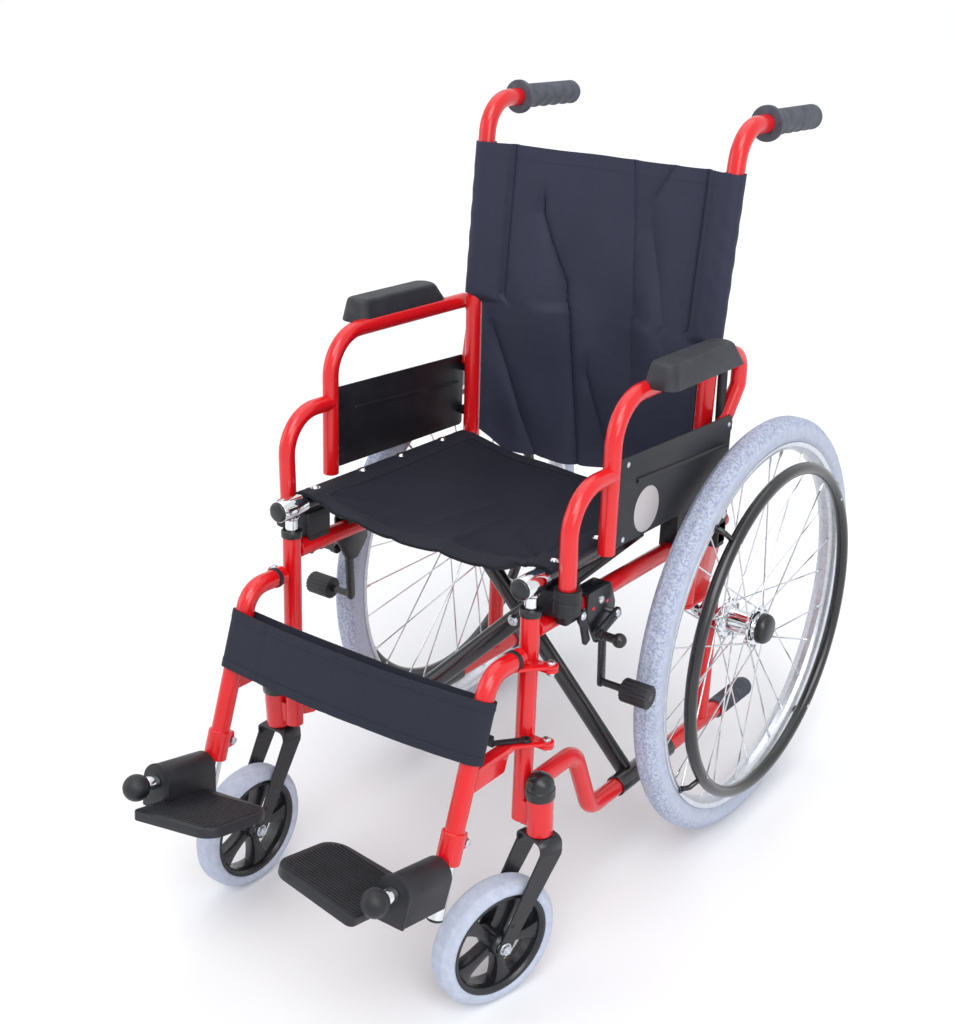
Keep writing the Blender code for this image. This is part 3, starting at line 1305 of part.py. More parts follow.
def hanger(side, tag):
    """The swing-away tube with its hinge ears and pins, lower bracket and the clamp for the footrest."""
    x = side * HALF_WIDTH
    corners = [
        (x, HANGER_RING_S, HANGER_TOP_T), (x, HANGER_FRONT_S, HANGER_TOP_T), hanger_point(side, HANGER_END_T)
    ]
    body = tube(filleted(corners, [0, HANGER_BEND, 0], steps=4), TUBE_RADIUS)
    down = (hanger_point(side, 0) - hanger_point(side, 0.1)).normalized()
    clamp_top = hanger_point(side, HANGER_END_T) - down * 0.004
    clamp = cylinder(clamp_top, clamp_top + down * FOOT_CLAMP_LENGTH, FOOT_CLAMP_RADIUS, 12)
    clamp_bolt = hanger_point(side, HANGER_END_T) + down * 0.014
    lug = box(
        clamp_bolt + Vector((-0.006, 0, -0.009)),
        clamp_bolt + Vector((0.006, FOOT_CLAMP_RADIUS + 0.010, 0.009)),
    )
    pieces = [clamp, lug]
    for level in (UPPER_LUG_T + LUG_THICKNESS / 2, LOWER_LUG_T + LUG_THICKNESS / 2):
        low = level - LUG_THICKNESS / 2
        line = (side * HINGE_X, 0)
        pieces.append(cylinder((*line, low), (*line, low + LUG_THICKNESS), EAR_RADIUS))
        shank_end = low - LUG_THICKNESS - BOLT_HEAD
        head_end = low + LUG_THICKNESS + BOLT_HEAD
        pieces.append(cylinder((*line, shank_end), (*line, low + LAP), HINGE_PIN_RADIUS, 8))
        pieces.append(cylinder((*line, low + LAP), (*line, head_end), HINGE_PIN_RADIUS * 1.6, 6))
        pieces.append(bar((*line, level), (x, ELBOW_S, level), 0.012, LUG_THICKNESS))
    bracket_t = LOWER_LUG_T
    pieces.append(
        bar(
            (x, ELBOW_S + 0.004, bracket_t), (x, hanger_point(side, bracket_t).y, bracket_t),
            BRACKET_WIDTH, BRACKET_HEIGHT,
        )
    )
    latch_pin = latch_place(side)
    pieces.append(cylinder(latch_pin - Vector((0, 0, 0.002)), latch_pin + Vector((0, 0, 0.0045)), 0.0025, 8))
    bore_top = HANGER_TOP_T - HANGER_BEND - 0.0065
    hole = bore(hanger_point(side, 0.03), hanger_point(side, bore_top), FOOT_TUBE_RADIUS + CLEARANCE)
    made = cut(joined(body, *pieces), hole)
    return finished(made, f"hanger_{tag}", "red", (side * HINGE_X, 0, LOWER_LUG_T))


def latch_place(side):
    """Where the release latch's pin stands on the lower bracket."""
    return Vector((side * (HALF_WIDTH + 0.012), -0.016, LOWER_LUG_T + LUG_THICKNESS))


def hanger_latch(side, tag):
    """The release latch on the lower bracket."""
    pin = latch_place(side) + Vector((0, 0, CLEARANCE))
    tip = Vector((side * (HALF_WIDTH - 0.012), ELBOW_S - 0.012, pin.z))
    lift = Vector((0, 0, 0.0015))
    hub = cylinder(pin, pin + 2 * lift, 0.0065)
    arm = bar(pin + lift, tip + lift, 0.009, 0.003)
    grip = box(tip + Vector((-0.005, -0.006, 0)), tip + Vector((0.005, 0.002, 0.014)))
    hole = bore(pin - lift, pin + 4 * lift, 0.0025 + RUNNING_CLEARANCE, 8)
    return finished(cut(joined(hub, arm, grip), hole), f"hanger_latch_{tag}", "black_plastic", pin)


def footrest_tube(side, tag):
    """The chrome tube in the hanger, with the footplate's pivot rod and its ball knob."""
    axes = foot_axes(side)
    inserted = hanger_point(side, FOOT_TUBE_TOP_T)
    end = hanger_point(side, FOOT_TUBE_END_T)
    body = cylinder(inserted, end, FOOT_TUBE_RADIUS)
    rod = cylinder(axes @ Vector((0, 0, 0)), axes @ Vector((0, FOOT_KNOB_REACH, 0)), FOOT_ROD_RADIUS, 8)
    collar = cylinder(
        axes @ Vector((0, SHELL_FRONT + 0.0006, 0)), axes @ Vector((0, FOOT_KNOB_REACH - 0.008, 0)), 0.0085
    )
    knob = ball(axes @ Vector((0, FOOT_KNOB_REACH, 0)), FOOT_KNOB_RADIUS)
    return finished(joined(body, rod, collar, knob), f"footrest_tube_{tag}", "chrome", end)


def footplate(side, tag):
    """The footplate with its pivot housing, which flips up about the rod."""
    radius = HOUSING_SHELL_RADIUS
    outline = [(radius + HOUSING_SHELL_FLARE, -HOUSING_SHELL_DROP)]
    for step in range(7):
        angle = pi * step / 6
        outline.append((radius * cos(angle), radius * sin(angle)))
    outline.append((-radius * 0.8, -HOUSING_SHELL_DROP))
    length = SHELL_FRONT - SHELL_REAR
    stand = Matrix(((1, 0, 0, 0), (0, 0, 1, (SHELL_FRONT + SHELL_REAR) / 2), (0, 1, 0, 0), (0, 0, 0, 1)))
    shell = plate(outline, length, stand)
    corners = [
        (FOOTPLATE_OUTER, FOOTPLATE_REAR), (FOOTPLATE_INNER, FOOTPLATE_REAR + 0.008),
        (FOOTPLATE_INNER, FOOTPLATE_FRONT - 0.004), (FOOTPLATE_OUTER, FOOTPLATE_FRONT),
    ]
    rounded = filleted([(x, y, 0) for x, y in corners], [0.004, 0.026, 0.022, 0.008], 4, closed=True)
    level = Matrix.Rotation(-PLATE_TILT, 4, "Y") @ Matrix.Translation(
        (0, 0, -FOOTPLATE_DROP - FOOTPLATE_THICKNESS / 2)
    )
    tread = plate(rounded, FOOTPLATE_THICKNESS, level)
    hole = bore((0, 0, 0), (0, 0.2, 0), FOOT_ROD_RADIUS + RUNNING_CLEARANCE, 8)
    made = cut(joined(shell, tread), hole)
    axes = foot_axes(side)
    made.data.transform(axes)
    shape = bmesh.new()
    shape.from_mesh(made.data)
    bpy.data.objects.remove(made)
    made = from_bmesh("footplate", shape)
    return finished(made, f"footplate_{tag}", "black_plastic", axes.translation)


# Soft goods


def cloth_piece(columns, rows, place, thickness):
    """A closed sheet whose middle surface is place(u, v), with u and v from 0 to 1."""
    shape = bmesh.new()
    grid = []
    for row in range(rows + 1):
        grid.append([shape.verts.new(place(column / columns, row / rows)) for column in range(columns + 1)])
    for row in range(rows):
        for column in range(columns):
            shape.faces.new(
                (grid[row][column], grid[row][column + 1], grid[row + 1][column + 1], grid[row + 1][column])
            )
    sheet = from_bmesh("sheet", shape)
    solid = sheet.modifiers.new("thickness", "SOLIDIFY")
    solid.thickness = thickness
    solid.offset = 0
    return baked(sheet)


def seat_place(u, v):
    """The seat cloth: flat on the rails, sagging between them, with folds from its front corners."""
    x = (2 * u - 1) * SEAT_HALF
    s = SEAT_FRONT_S + (SEAT_REAR_S - SEAT_FRONT_S) * v
    inner = HALF_WIDTH - 0.017
    across = min(1.0, abs(x) / inner)
    sag = SEAT_SAG * (1 - across**2) * (1 - 0.25 * v)
    fold = SEAT_FOLD * sin(3.2 * pi * across + 5 * v) * (1 - across) * across * 4
    return Vector((x, s, SEAT_RAIL_T + SEAT_RAIL_RADIUS + CLEARANCE + CLOTH / 2 - sag + fold))


def seat_sling():
    """The nylon seat with the heads of the screws that hold it to the rails."""
    sheet = cloth_piece(18, 6, seat_place, CLOTH)
    screws = []
    top = SEAT_RAIL_T + SEAT_RAIL_RADIUS + CLEARANCE + CLOTH / 2
    for side in (-1, 1):
        for s in SEAT_SCREWS_S:
            place = (side * HALF_WIDTH, s, top)
            head = (side * HALF_WIDTH, s, top + SEAT_SCREW_HEIGHT)
            screws.append(cylinder(place, head, SEAT_SCREW_RADIUS, 6))
    return finished(joined(sheet, *screws), "seat_sling", "nylon", (0, SEAT_FRONT_S, SEAT_RAIL_T))


def cane_at(t):
    """The cane's centre on the left, at height t below its handle bend."""
    if t <= CANE_BEND_T:
        share = (t - CANE_BOTTOM_T) / (CANE_BEND_T - CANE_BOTTOM_T)
        return Vector((HALF_WIDTH + (CANE_MID_X - HALF_WIDTH) * share, CANE_S, t))
    share = (t - CANE_BEND_T) / (HANDLE_T - CANE_BEND_T)
    return Vector((CANE_MID_X + (CANE_TOP_X - CANE_MID_X) * share, CANE_S + (HANDLE_S - CANE_S) * share, t))


def back_place(u, v):
    """The back cloth between the canes, hanging back in the middle with upright folds."""
    t = BACK_BOTTOM_T + (BACK_TOP_T - BACK_BOTTOM_T) * v
    cane = cane_at(t)
    half = cane.x if t >= BACK_SLEEVE_BOTTOM_T else cane.x - TUBE_RADIUS - CLOTH
    across = 2 * u - 1
    bow = (1 - across**2) * BACK_BOW
    fold = BACK_FOLD * sin(4.6 * pi * u + 0.8) * (1 - across**4) * (1 - 0.5 * v)
    return Vector((across * half, cane.y + bow + fold, t))


def back_sling():
    """The nylon back with a sleeve round each cane."""
    sheet = cloth_piece(18, 7, back_place, CLOTH)
    levels = [BACK_SLEEVE_BOTTOM_T + (BACK_TOP_T - BACK_SLEEVE_BOTTOM_T) * step / 2 for step in range(3)]
    sleeves = []
    holes = []
    for side in (-1, 1):
        line = to_side([cane_at(level) for level in levels], side)
        longer = to_side([cane_at(level) for level in (BACK_BOTTOM_T, CANE_BEND_T, 0.78)], side)
        sleeves.append(tube(line, TUBE_RADIUS + 2 * CLEARANCE + SLEEVE_CLOTH))
        holes.append(tube(longer, TUBE_RADIUS + 2 * CLEARANCE))
    return finished(cut(joined(sheet, *sleeves), *holes), "back_sling", "nylon", (0, CANE_S, BACK_BOTTOM_T))


def stadium(radius):
    """The outline of a band that goes round both hangers, at a radius from each one's centre."""
    outline = []
    for side in (1, -1):
        for step in range(7):
            angle = -pi / 2 + pi * step / 6
            outline.append((side * (HALF_WIDTH + radius * cos(angle)), side * radius * sin(angle)))
    return outline


def calf_strap():
    """The nylon strap looped round both hangers."""
    up = (hanger_point(1, STRAP_TOP_T) - hanger_point(1, STRAP_TOP_T - 0.1)).normalized()
    forward = Vector((0, -up.z, up.y))
    middle = hanger_point(0, STRAP_TOP_T) - up * STRAP_HEIGHT / 2
    columns = (Vector((1, 0, 0)), -forward, up, middle)
    axes = Matrix([[column[row] for column in columns] for row in range(3)] + [[0, 0, 0, 1]])
    inner = TUBE_RADIUS + 2 * CLEARANCE
    outer = plate(stadium(inner + CLOTH), STRAP_HEIGHT, axes)
    made = cut(outer, plate(stadium(inner), STRAP_HEIGHT * 2, axes))
    return finished(made, "calf_strap", "nylon", middle)


# Assembly

for leftover in list(bpy.data.objects):
    bpy.data.objects.remove(leftover)
MODEL = cleared_collection(MODEL_NAME)
CUTTERS = cleared_collection("cutters")
FRAME_AXES = empty("frame_axes", FRAME_TO_WORLD)

SIDE_PIECES = (
    front_upright, upper_rail, lower_rail, tip_rubber, rear_upright, back_cane, push_grip, rear_axle,
    t_joint, rear_tyre, rear_wheel, handrim, armrest_frame, armrest_pad, skirt_guard, armrest_clamp,
    armrest_latch, brake_bracket, brake_lever, brake_arm, hanger, hanger_latch, footrest_tube, footplate,
)
for side_name, side_sign in (("L", 1), ("R", -1)):
    for make_piece in SIDE_PIECES:
        make_piece(side_sign, side_name)
    heading = Matrix.Rotation(CASTER_HEADINGS[side_name], 4, "Z")
    swivel = empty(
        f"caster_axes_{side_name}", Matrix.Translation((side_sign * CASTER_X, CASTER_Y, 0)) @ heading
    )
    for make_piece in (caster_fork, caster_wheel, caster_tyre):
        make_piece(side_name, swivel)

cross_brace("cross_brace_b", -1, BRACE_FRONT_S)
cross_brace("cross_brace_a", 1, BRACE_REAR_S)
centre_bolt()
seat_sling()
back_sling()
calf_strap()
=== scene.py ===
"""Dresses the packed pediatric wheelchair: its tubes, wheels, cloth and fittings, their finishes and a
plain studio.

Everything is in metres in the frame of the packed model: +X is the sitter's left, -Y is forward, +Z is up.
The side frames lean back by four degrees. Their pieces are worked out in (x, s, t), where s runs rearward
along the rails and t runs up the uprights, and the function at() turns those into the model's axes.
"""

import json
from math import atan2, cos, pi, radians, sin

import bmesh
import bpy
import numpy as np
from mathutils import Matrix, Vector
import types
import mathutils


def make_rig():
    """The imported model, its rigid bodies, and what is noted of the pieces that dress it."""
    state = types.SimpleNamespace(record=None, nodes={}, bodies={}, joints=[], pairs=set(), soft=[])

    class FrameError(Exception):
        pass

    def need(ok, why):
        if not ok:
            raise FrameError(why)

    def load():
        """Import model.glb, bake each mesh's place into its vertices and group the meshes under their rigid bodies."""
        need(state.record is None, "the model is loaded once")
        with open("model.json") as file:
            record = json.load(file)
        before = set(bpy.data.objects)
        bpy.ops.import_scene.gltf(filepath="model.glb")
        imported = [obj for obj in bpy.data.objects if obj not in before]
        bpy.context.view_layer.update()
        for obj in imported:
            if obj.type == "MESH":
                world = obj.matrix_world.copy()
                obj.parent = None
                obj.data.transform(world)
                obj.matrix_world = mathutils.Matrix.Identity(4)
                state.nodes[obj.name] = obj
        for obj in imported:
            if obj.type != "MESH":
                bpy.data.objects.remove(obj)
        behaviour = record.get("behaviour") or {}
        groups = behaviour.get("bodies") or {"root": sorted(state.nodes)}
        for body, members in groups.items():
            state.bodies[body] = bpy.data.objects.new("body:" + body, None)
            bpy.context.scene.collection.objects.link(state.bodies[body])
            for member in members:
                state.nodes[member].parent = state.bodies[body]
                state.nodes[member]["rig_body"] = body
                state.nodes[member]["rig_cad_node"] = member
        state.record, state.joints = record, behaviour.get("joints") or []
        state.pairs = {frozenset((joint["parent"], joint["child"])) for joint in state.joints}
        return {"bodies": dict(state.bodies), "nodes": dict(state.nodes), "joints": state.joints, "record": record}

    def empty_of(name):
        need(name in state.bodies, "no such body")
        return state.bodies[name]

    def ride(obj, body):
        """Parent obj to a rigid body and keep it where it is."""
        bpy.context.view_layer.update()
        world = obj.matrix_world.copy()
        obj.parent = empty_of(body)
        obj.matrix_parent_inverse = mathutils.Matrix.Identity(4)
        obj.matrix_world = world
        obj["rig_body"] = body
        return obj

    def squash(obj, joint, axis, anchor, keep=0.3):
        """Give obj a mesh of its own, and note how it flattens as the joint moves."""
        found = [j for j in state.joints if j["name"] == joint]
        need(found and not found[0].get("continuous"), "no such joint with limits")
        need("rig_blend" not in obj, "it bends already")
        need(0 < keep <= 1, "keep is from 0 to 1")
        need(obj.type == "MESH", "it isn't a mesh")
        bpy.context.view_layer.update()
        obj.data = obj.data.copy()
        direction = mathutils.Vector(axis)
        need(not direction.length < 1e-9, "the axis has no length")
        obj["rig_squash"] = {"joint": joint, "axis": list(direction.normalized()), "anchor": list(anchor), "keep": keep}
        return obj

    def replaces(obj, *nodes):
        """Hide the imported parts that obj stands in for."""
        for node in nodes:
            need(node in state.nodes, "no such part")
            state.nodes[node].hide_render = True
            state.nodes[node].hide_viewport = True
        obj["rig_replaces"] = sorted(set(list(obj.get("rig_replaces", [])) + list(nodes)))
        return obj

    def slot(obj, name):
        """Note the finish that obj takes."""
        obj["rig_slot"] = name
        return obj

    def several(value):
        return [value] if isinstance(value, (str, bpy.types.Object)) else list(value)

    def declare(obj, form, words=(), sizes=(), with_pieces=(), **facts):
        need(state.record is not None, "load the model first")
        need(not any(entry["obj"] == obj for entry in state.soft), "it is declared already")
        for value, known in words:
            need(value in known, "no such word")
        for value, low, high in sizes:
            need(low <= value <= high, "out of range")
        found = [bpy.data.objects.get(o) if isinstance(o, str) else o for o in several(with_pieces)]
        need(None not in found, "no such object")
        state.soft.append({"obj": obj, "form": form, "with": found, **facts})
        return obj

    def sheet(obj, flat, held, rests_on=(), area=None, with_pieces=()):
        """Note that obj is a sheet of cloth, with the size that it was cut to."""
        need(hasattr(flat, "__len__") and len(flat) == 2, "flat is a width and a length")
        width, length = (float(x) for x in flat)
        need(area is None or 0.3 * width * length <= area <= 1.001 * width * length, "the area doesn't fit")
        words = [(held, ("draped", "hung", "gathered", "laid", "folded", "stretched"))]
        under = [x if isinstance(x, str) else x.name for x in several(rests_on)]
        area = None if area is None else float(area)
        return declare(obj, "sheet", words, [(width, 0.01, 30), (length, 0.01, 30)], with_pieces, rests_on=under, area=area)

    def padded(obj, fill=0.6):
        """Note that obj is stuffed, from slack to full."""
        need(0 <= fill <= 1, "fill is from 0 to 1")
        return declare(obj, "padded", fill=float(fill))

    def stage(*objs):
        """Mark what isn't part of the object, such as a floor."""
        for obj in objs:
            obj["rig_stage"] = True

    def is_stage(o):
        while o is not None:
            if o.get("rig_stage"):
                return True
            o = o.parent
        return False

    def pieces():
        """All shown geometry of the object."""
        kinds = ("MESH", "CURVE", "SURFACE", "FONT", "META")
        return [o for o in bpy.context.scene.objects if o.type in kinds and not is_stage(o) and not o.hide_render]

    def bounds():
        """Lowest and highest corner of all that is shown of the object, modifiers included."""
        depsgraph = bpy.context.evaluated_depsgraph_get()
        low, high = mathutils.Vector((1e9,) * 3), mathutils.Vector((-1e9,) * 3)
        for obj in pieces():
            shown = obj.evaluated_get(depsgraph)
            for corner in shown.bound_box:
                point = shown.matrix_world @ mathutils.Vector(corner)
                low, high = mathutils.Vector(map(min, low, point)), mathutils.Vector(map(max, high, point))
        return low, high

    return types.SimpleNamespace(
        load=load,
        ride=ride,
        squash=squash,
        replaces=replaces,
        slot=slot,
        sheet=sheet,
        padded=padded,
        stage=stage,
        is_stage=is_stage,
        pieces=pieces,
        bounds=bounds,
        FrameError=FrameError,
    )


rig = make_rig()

bl_info = {
    "name": "Pediatric wheelchair",
    "version": (1, 0, 0),
    "blender": (4, 5, 0),
    "location": "3D View > Sidebar > Wheelchair",
    "description": "Builds the looks of a child's folding wheelchair round its packed parts",
    "category": "Object",
}

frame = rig.load()
CAD_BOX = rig.bounds()

# Places in the side frames' own axes, in metres
TILT = radians(4)
FRAME_ORIGIN = np.array((0.0, -0.22593, 0.14535))
HALF_WIDTH = 0.174
TUBE = 0.0111
UPRIGHT_BOTTOM_T, UPRIGHT_TOP_T = 0.062, 0.32
UPPER_RAIL_T = 0.297
LOWER_RAIL_FRONT_T = 0.0975
SEAT_RAIL_T = 0.353
SEAT_RAIL_RADIUS = 0.0105
CANE_S, CANE_BOTTOM_T, CANE_BEND_T = 0.362, 0.2045, 0.54
CANE_TOP_X, HANDLE_S, HANDLE_T = 0.18, 0.386, 0.801
HANDLE_END_S = 0.575
TIP_LEVER_END_S = 0.572
CANE_MID_X = HALF_WIDTH + (CANE_TOP_X - HALF_WIDTH) * (
    CANE_BEND_T - CANE_BOTTOM_T
) / (HANDLE_T - CANE_BOTTOM_T)
GUSSET_REAR_S = 0.446
CLEARANCE = 0.0003

# Places of the wheels
REAR_RADIUS = 0.2794
REAR_X = 0.2335
AXLE_S = 0.4362
AXLE_T = (REAR_RADIUS - FRAME_ORIGIN[2] + AXLE_S * sin(TILT)) / cos(TILT)
CASTER_X = 0.2007
CASTER_Y = FRAME_ORIGIN[1] + 0.0035
CASTER_RADIUS = 0.0797
CASTER_TRAIL = 0.0661
CASTER_HEADINGS = {"L": radians(-17.6), "R": radians(-1.25)}
HOUSING_BOTTOM, HOUSING_TOP = 0.199, 0.247

# Places of the armrests, the brakes and the footrests
ARM_X = 0.2025
ARM_PIVOT_S, ARM_PIVOT_T = 0.38, 0.33
ARM_TOP_T = 0.5385
PAD_BOTTOM_T, PAD_TOP_T = 0.5415, 0.571
LATCH_X, LATCH_S, LATCH_T = 0.204, 0.056, 0.304
GUARD_X = 0.206
BRAKE_S = 0.1206
LEVER_S, LEVER_T = 0.1456, 0.2742
BRAKE_ARM_S, BRAKE_ARM_T = 0.125, 0.252
ROLLER_S, ROLLER_T, ROLLER_X = 0.129, 0.19, 0.2235
KNOB_X, KNOB_S, KNOB_T = 0.225, 0.107, 0.261
HINGE_X = 0.203
UPPER_LUG_T, LOWER_LUG_T = 0.262, 0.168
LUG = 0.004
HANGER_TOP_T, HANGER_FRONT_S, HANGER_LEAN = 0.2715, -0.073, 0.3313
HANGER_END_T = 0.104
FOOT_AXIS_T = 0.0669
FOOT_AXIS_RISE = radians(11.2)
PLATE_TILT = radians(8)

SIDES = (("L", 1, "left"), ("R", -1, "right"))
WELD = 1e-6


# Places


def frame_matrix():
    """The 4 by 4 matrix from (x, s, t) to the model's axes: a lean about x, then a move."""
    return Matrix.Translation(FRAME_ORIGIN) @ Matrix.Rotation(-TILT, 4, "X")


FRAME_AXES = np.array(frame_matrix())


def moved(points, matrix):
    """Points of any array shape carried by a 4 by 4 matrix."""
    matrix = np.array(matrix)
    return np.asarray(points, float) @ matrix[:3, :3].T + matrix[:3, 3]


def at(*place):
    """A point, or rows of points, given as x, s and t."""
    return moved(np.array(place if len(place) == 3 else place[0], float), FRAME_AXES)


def axes(origin, x_axis, y_axis, z_axis):
    """The 4 by 4 matrix with these three columns and origin."""
    made = np.eye(4)
    made[:3, 0], made[:3, 1], made[:3, 2], made[:3, 3] = x_axis, y_axis, z_axis, origin
    return made


def unit(vectors):
    """Vectors of any array shape, each made one long."""
    vectors = np.asarray(vectors, float)
    return vectors / np.linalg.norm(vectors, axis=-1, keepdims=True)


def along(start, end):
    """The matrix whose z runs from start towards end, with y kept as near to up as it can be."""
    z_axis = unit(np.subtract(end, start))
    guide = np.array((0.0, 0.0, 1.0)) if abs(z_axis[2]) < 0.9 else np.array((0.0, 1.0, 0.0))
    x_axis = unit(np.cross(guide, z_axis))
    return axes(np.asarray(start, float), x_axis, np.cross(z_axis, x_axis), z_axis)


def outward(side, x, s, t):
    """The matrix whose z runs out sideways from (x, s, t) on one side, with its y up along t."""
    z_axis = np.array((side, 0.0, 0.0))
    y_axis = FRAME_AXES[:3, 2]
    return axes(at(side * x, s, t), np.cross(y_axis, z_axis), y_axis, z_axis)


def rounded(corners, radii, steps=8):
    """Corner points with each inner corner swapped for an arc that touches both of its sides."""
    corners = np.asarray(corners, float)
    pieces = [corners[:1]]
    for index in range(1, len(corners) - 1):
        pieces.append(corner_arc(corners[index - 1 : index + 2], radii[index], steps))
    return np.concatenate(pieces + [corners[-1:]])


def loop_rounded(corners, radii, steps=6):
    """A closed outline with every corner swapped for an arc."""
    corners = np.asarray(corners, float)
    ring = np.concatenate((corners[-1:], corners, corners[:1]))
    arcs = [corner_arc(ring[index : index + 3], radii[index], steps) for index in range(len(corners))]
    return np.concatenate(arcs)


def corner_arc(three, radius, steps):
    """The arc at the middle of three points: its centre lies on the bisector at radius / sin(half angle)."""
    if radius == 0:
        return three[1:2]
    before, after = unit(three[0] - three[1]), unit(three[2] - three[1])
    half = np.arccos(np.clip(before @ after, -1, 1)) / 2
    centre = three[1] + unit(before + after) * radius / np.sin(half)
    start = three[1] + before * radius / np.tan(half) - centre
    end = three[1] + after * radius / np.tan(half) - centre
    sweep = pi - 2 * half
    share = np.linspace(0, 1, steps + 1)[:, None]
    return centre + (start * np.sin((1 - share) * sweep) + end * np.sin(share * sweep)) / np.sin(sweep)


# Surfaces: each returns its points and its faces


def grid_faces(rows, columns, close_rows=False, close_columns=False):
    """The quads of a grid of rows by columns points, wrapped round in either direction."""
    row = np.arange(rows if close_rows else rows - 1)[:, None]
    column = np.arange(columns if close_columns else columns - 1)[None, :]
    next_row, next_column = (row + 1) % rows, (column + 1) % columns
    quads = np.stack(
        np.broadcast_arrays(
            row * columns + column, row * columns + next_column,
            next_row * columns + next_column, next_row * columns + column,
        ),
        axis=-1,
    )
    return quads.reshape(-1, 4).tolist()


def swept(path, radius, sides=28, guide=(1, 0, 0), edge=0.0007, squash=1.0):
    """A round tube: each ring is radius (cos a, squash sin a) across the path, and both ends are eased by
    edge."""
    path = np.asarray(path, float)
    first, last = unit(path[1] - path[0]), unit(path[-1] - path[-2])
    path = np.concatenate((path[:1], path[:1] + first * edge, path[1:-1], path[-1:] - last * edge, path[-1:]))
    radii = np.broadcast_to(np.asarray(radius, float), len(path)).copy()
    radii[[0, -1]] -= edge
    tangent = unit(np.gradient(path, axis=0))
    across = unit(np.cross(tangent, guide))
    upward = np.cross(across, tangent)
    angle = np.linspace(0, 2 * pi, sides, endpoint=False)[None, :, None]
    rings = path[:, None] + radii[:, None, None] * (
        np.cos(angle) * upward[:, None] + squash * np.sin(angle) * across[:, None]
    )
    caps = [list(range(sides)), list(range((len(path) - 1) * sides, len(path) * sides))]
    return rings.reshape(-1, 3), grid_faces(len(path), sides, close_columns=True) + caps


def bar(start, end, radius, sides=24, edge=0.0005):
    """A straight round bar between two points."""
    direction = unit(np.subtract(end, start))
    guide = (1, 0, 0) if abs(direction[0]) < 0.9 else (0, 0, 1)
    return swept([start, end], radius, sides, guide, edge)


def turned(profile, sides, matrix, closed=False):
    """A profile of (radius, height) turned about z: x = r cos a, y = r sin a."""
    profile = np.asarray(profile, float)
    angle = np.linspace(0, 2 * pi, sides, endpoint=False)
    rings = np.stack(
        (
            profile[:, :1] * np.cos(angle),
            profile[:, :1] * np.sin(angle),
            np.broadcast_to(profile[:, 1:], (len(profile), sides)),
        ),
        axis=-1,
    )
    return moved(rings.reshape(-1, 3), matrix), grid_faces(len(profile), sides, closed, True)


def ball(centre, radius, sides=28):
    """A sphere: a half circle turned about z."""
    angle = np.linspace(pi / 2, -pi / 2, sides // 2 + 1)
    profile = np.stack((radius * np.cos(angle), radius * np.sin(angle)), axis=-1)
    return turned(profile, sides, np.array(Matrix.Translation(centre)))


def slab(outline, low, high, matrix, edge=0.0006, crown=0.0):
    """A flat outline in x and y, thick from low to high in z, whose rims are eased by edge over three
    rings."""
    outline = np.asarray(outline, float)[:, :2]
    ahead, behind = np.roll(outline, -1, axis=0), np.roll(outline, 1, axis=0)
    area = np.sum(outline[:, 0] * ahead[:, 1] - ahead[:, 0] * outline[:, 1])
    first, second = outline - behind, ahead - outline
    normal = unit(unit(first)[:, ::-1] * (1, -1) + unit(second)[:, ::-1] * (1, -1)) * np.sign(area)
    levels = [(edge, low), (edge * 0.3, low + edge * 0.3), (0, low + edge)]
    levels += [(0, high - edge), (edge * 0.3, high - edge * 0.3), (edge, high + crown)]
    rings = [
        np.column_stack((outline - normal * inset, np.full(len(outline), level))) for inset, level in levels
    ]
    count = len(outline)
    caps = [list(range(count)), list(range(5 * count, 6 * count))]
    return moved(np.concatenate(rings), matrix), grid_faces(6, count, close_columns=True) + caps


def block(low, high, matrix=FRAME_AXES, corner=0.002, edge=0.0006):
    """A box between two corners, with its upright corners rounded and its rims eased."""
    low, high = np.minimum(low, high), np.maximum(low, high)
    corners = [(low[0], low[1]), (high[0], low[1]), (high[0], high[1]), (low[0], high[1])]
    corner = min(corner, *(0.45 * (high - low)[:2]))
    return slab(
        loop_rounded(corners, [corner] * 4, 4), low[2], high[2], matrix, min(edge, 0.3 * (high - low)[2])
    )


def hex_nut(start, end, across, bore_edge=0.0004):
    """A hexagonal head or nut between two points, with its corners chamfered."""
    angle = np.arange(6) * pi / 3
    outline = across / np.sqrt(3) * np.stack((np.cos(angle), np.sin(angle)), axis=-1)
    length = float(np.linalg.norm(np.subtract(end, start)))
    return slab(outline, 0, length, along(start, end), bore_edge)


def side_sheet(outline, thickness, side, x, edge=0.0005, steps=6, corner=0.004):
    """A plate that stands fore and aft at x, from an outline of (s, t) corners that get rounded."""
    flat = loop_rounded(outline, [corner] * len(outline), steps) if corner else np.asarray(outline, float)
    upright = axes(at(side * x, 0, 0), FRAME_AXES[:3, 1], FRAME_AXES[:3, 2], (1, 0, 0))
    return slab(flat, -thickness / 2, thickness / 2, upright, edge)


# Pieces


def piece(name, surfaces, finish, body, slot, smooth=38):
    """One object from a list of surfaces: merged, closed, facing out, shaded smooth and riding on its
    body."""
    points, faces, start = [], [], 0
    for surface_points, surface_faces in surfaces:
        points.append(surface_points)
        faces += [[index + start for index in face] for face in surface_faces]
        start += len(surface_points)
    mesh = bpy.data.meshes.new(name)
    mesh.from_pydata(np.concatenate(points).tolist(), [], faces)
    shape = bmesh.new()
    shape.from_mesh(mesh)
    bmesh.ops.remove_doubles(shape, verts=shape.verts, dist=WELD)
    bmesh.ops.recalc_face_normals(shape, faces=shape.faces)
    shape.to_mesh(mesh)
    shape.free()
    return placed(name, mesh, finish, body, slot, smooth)


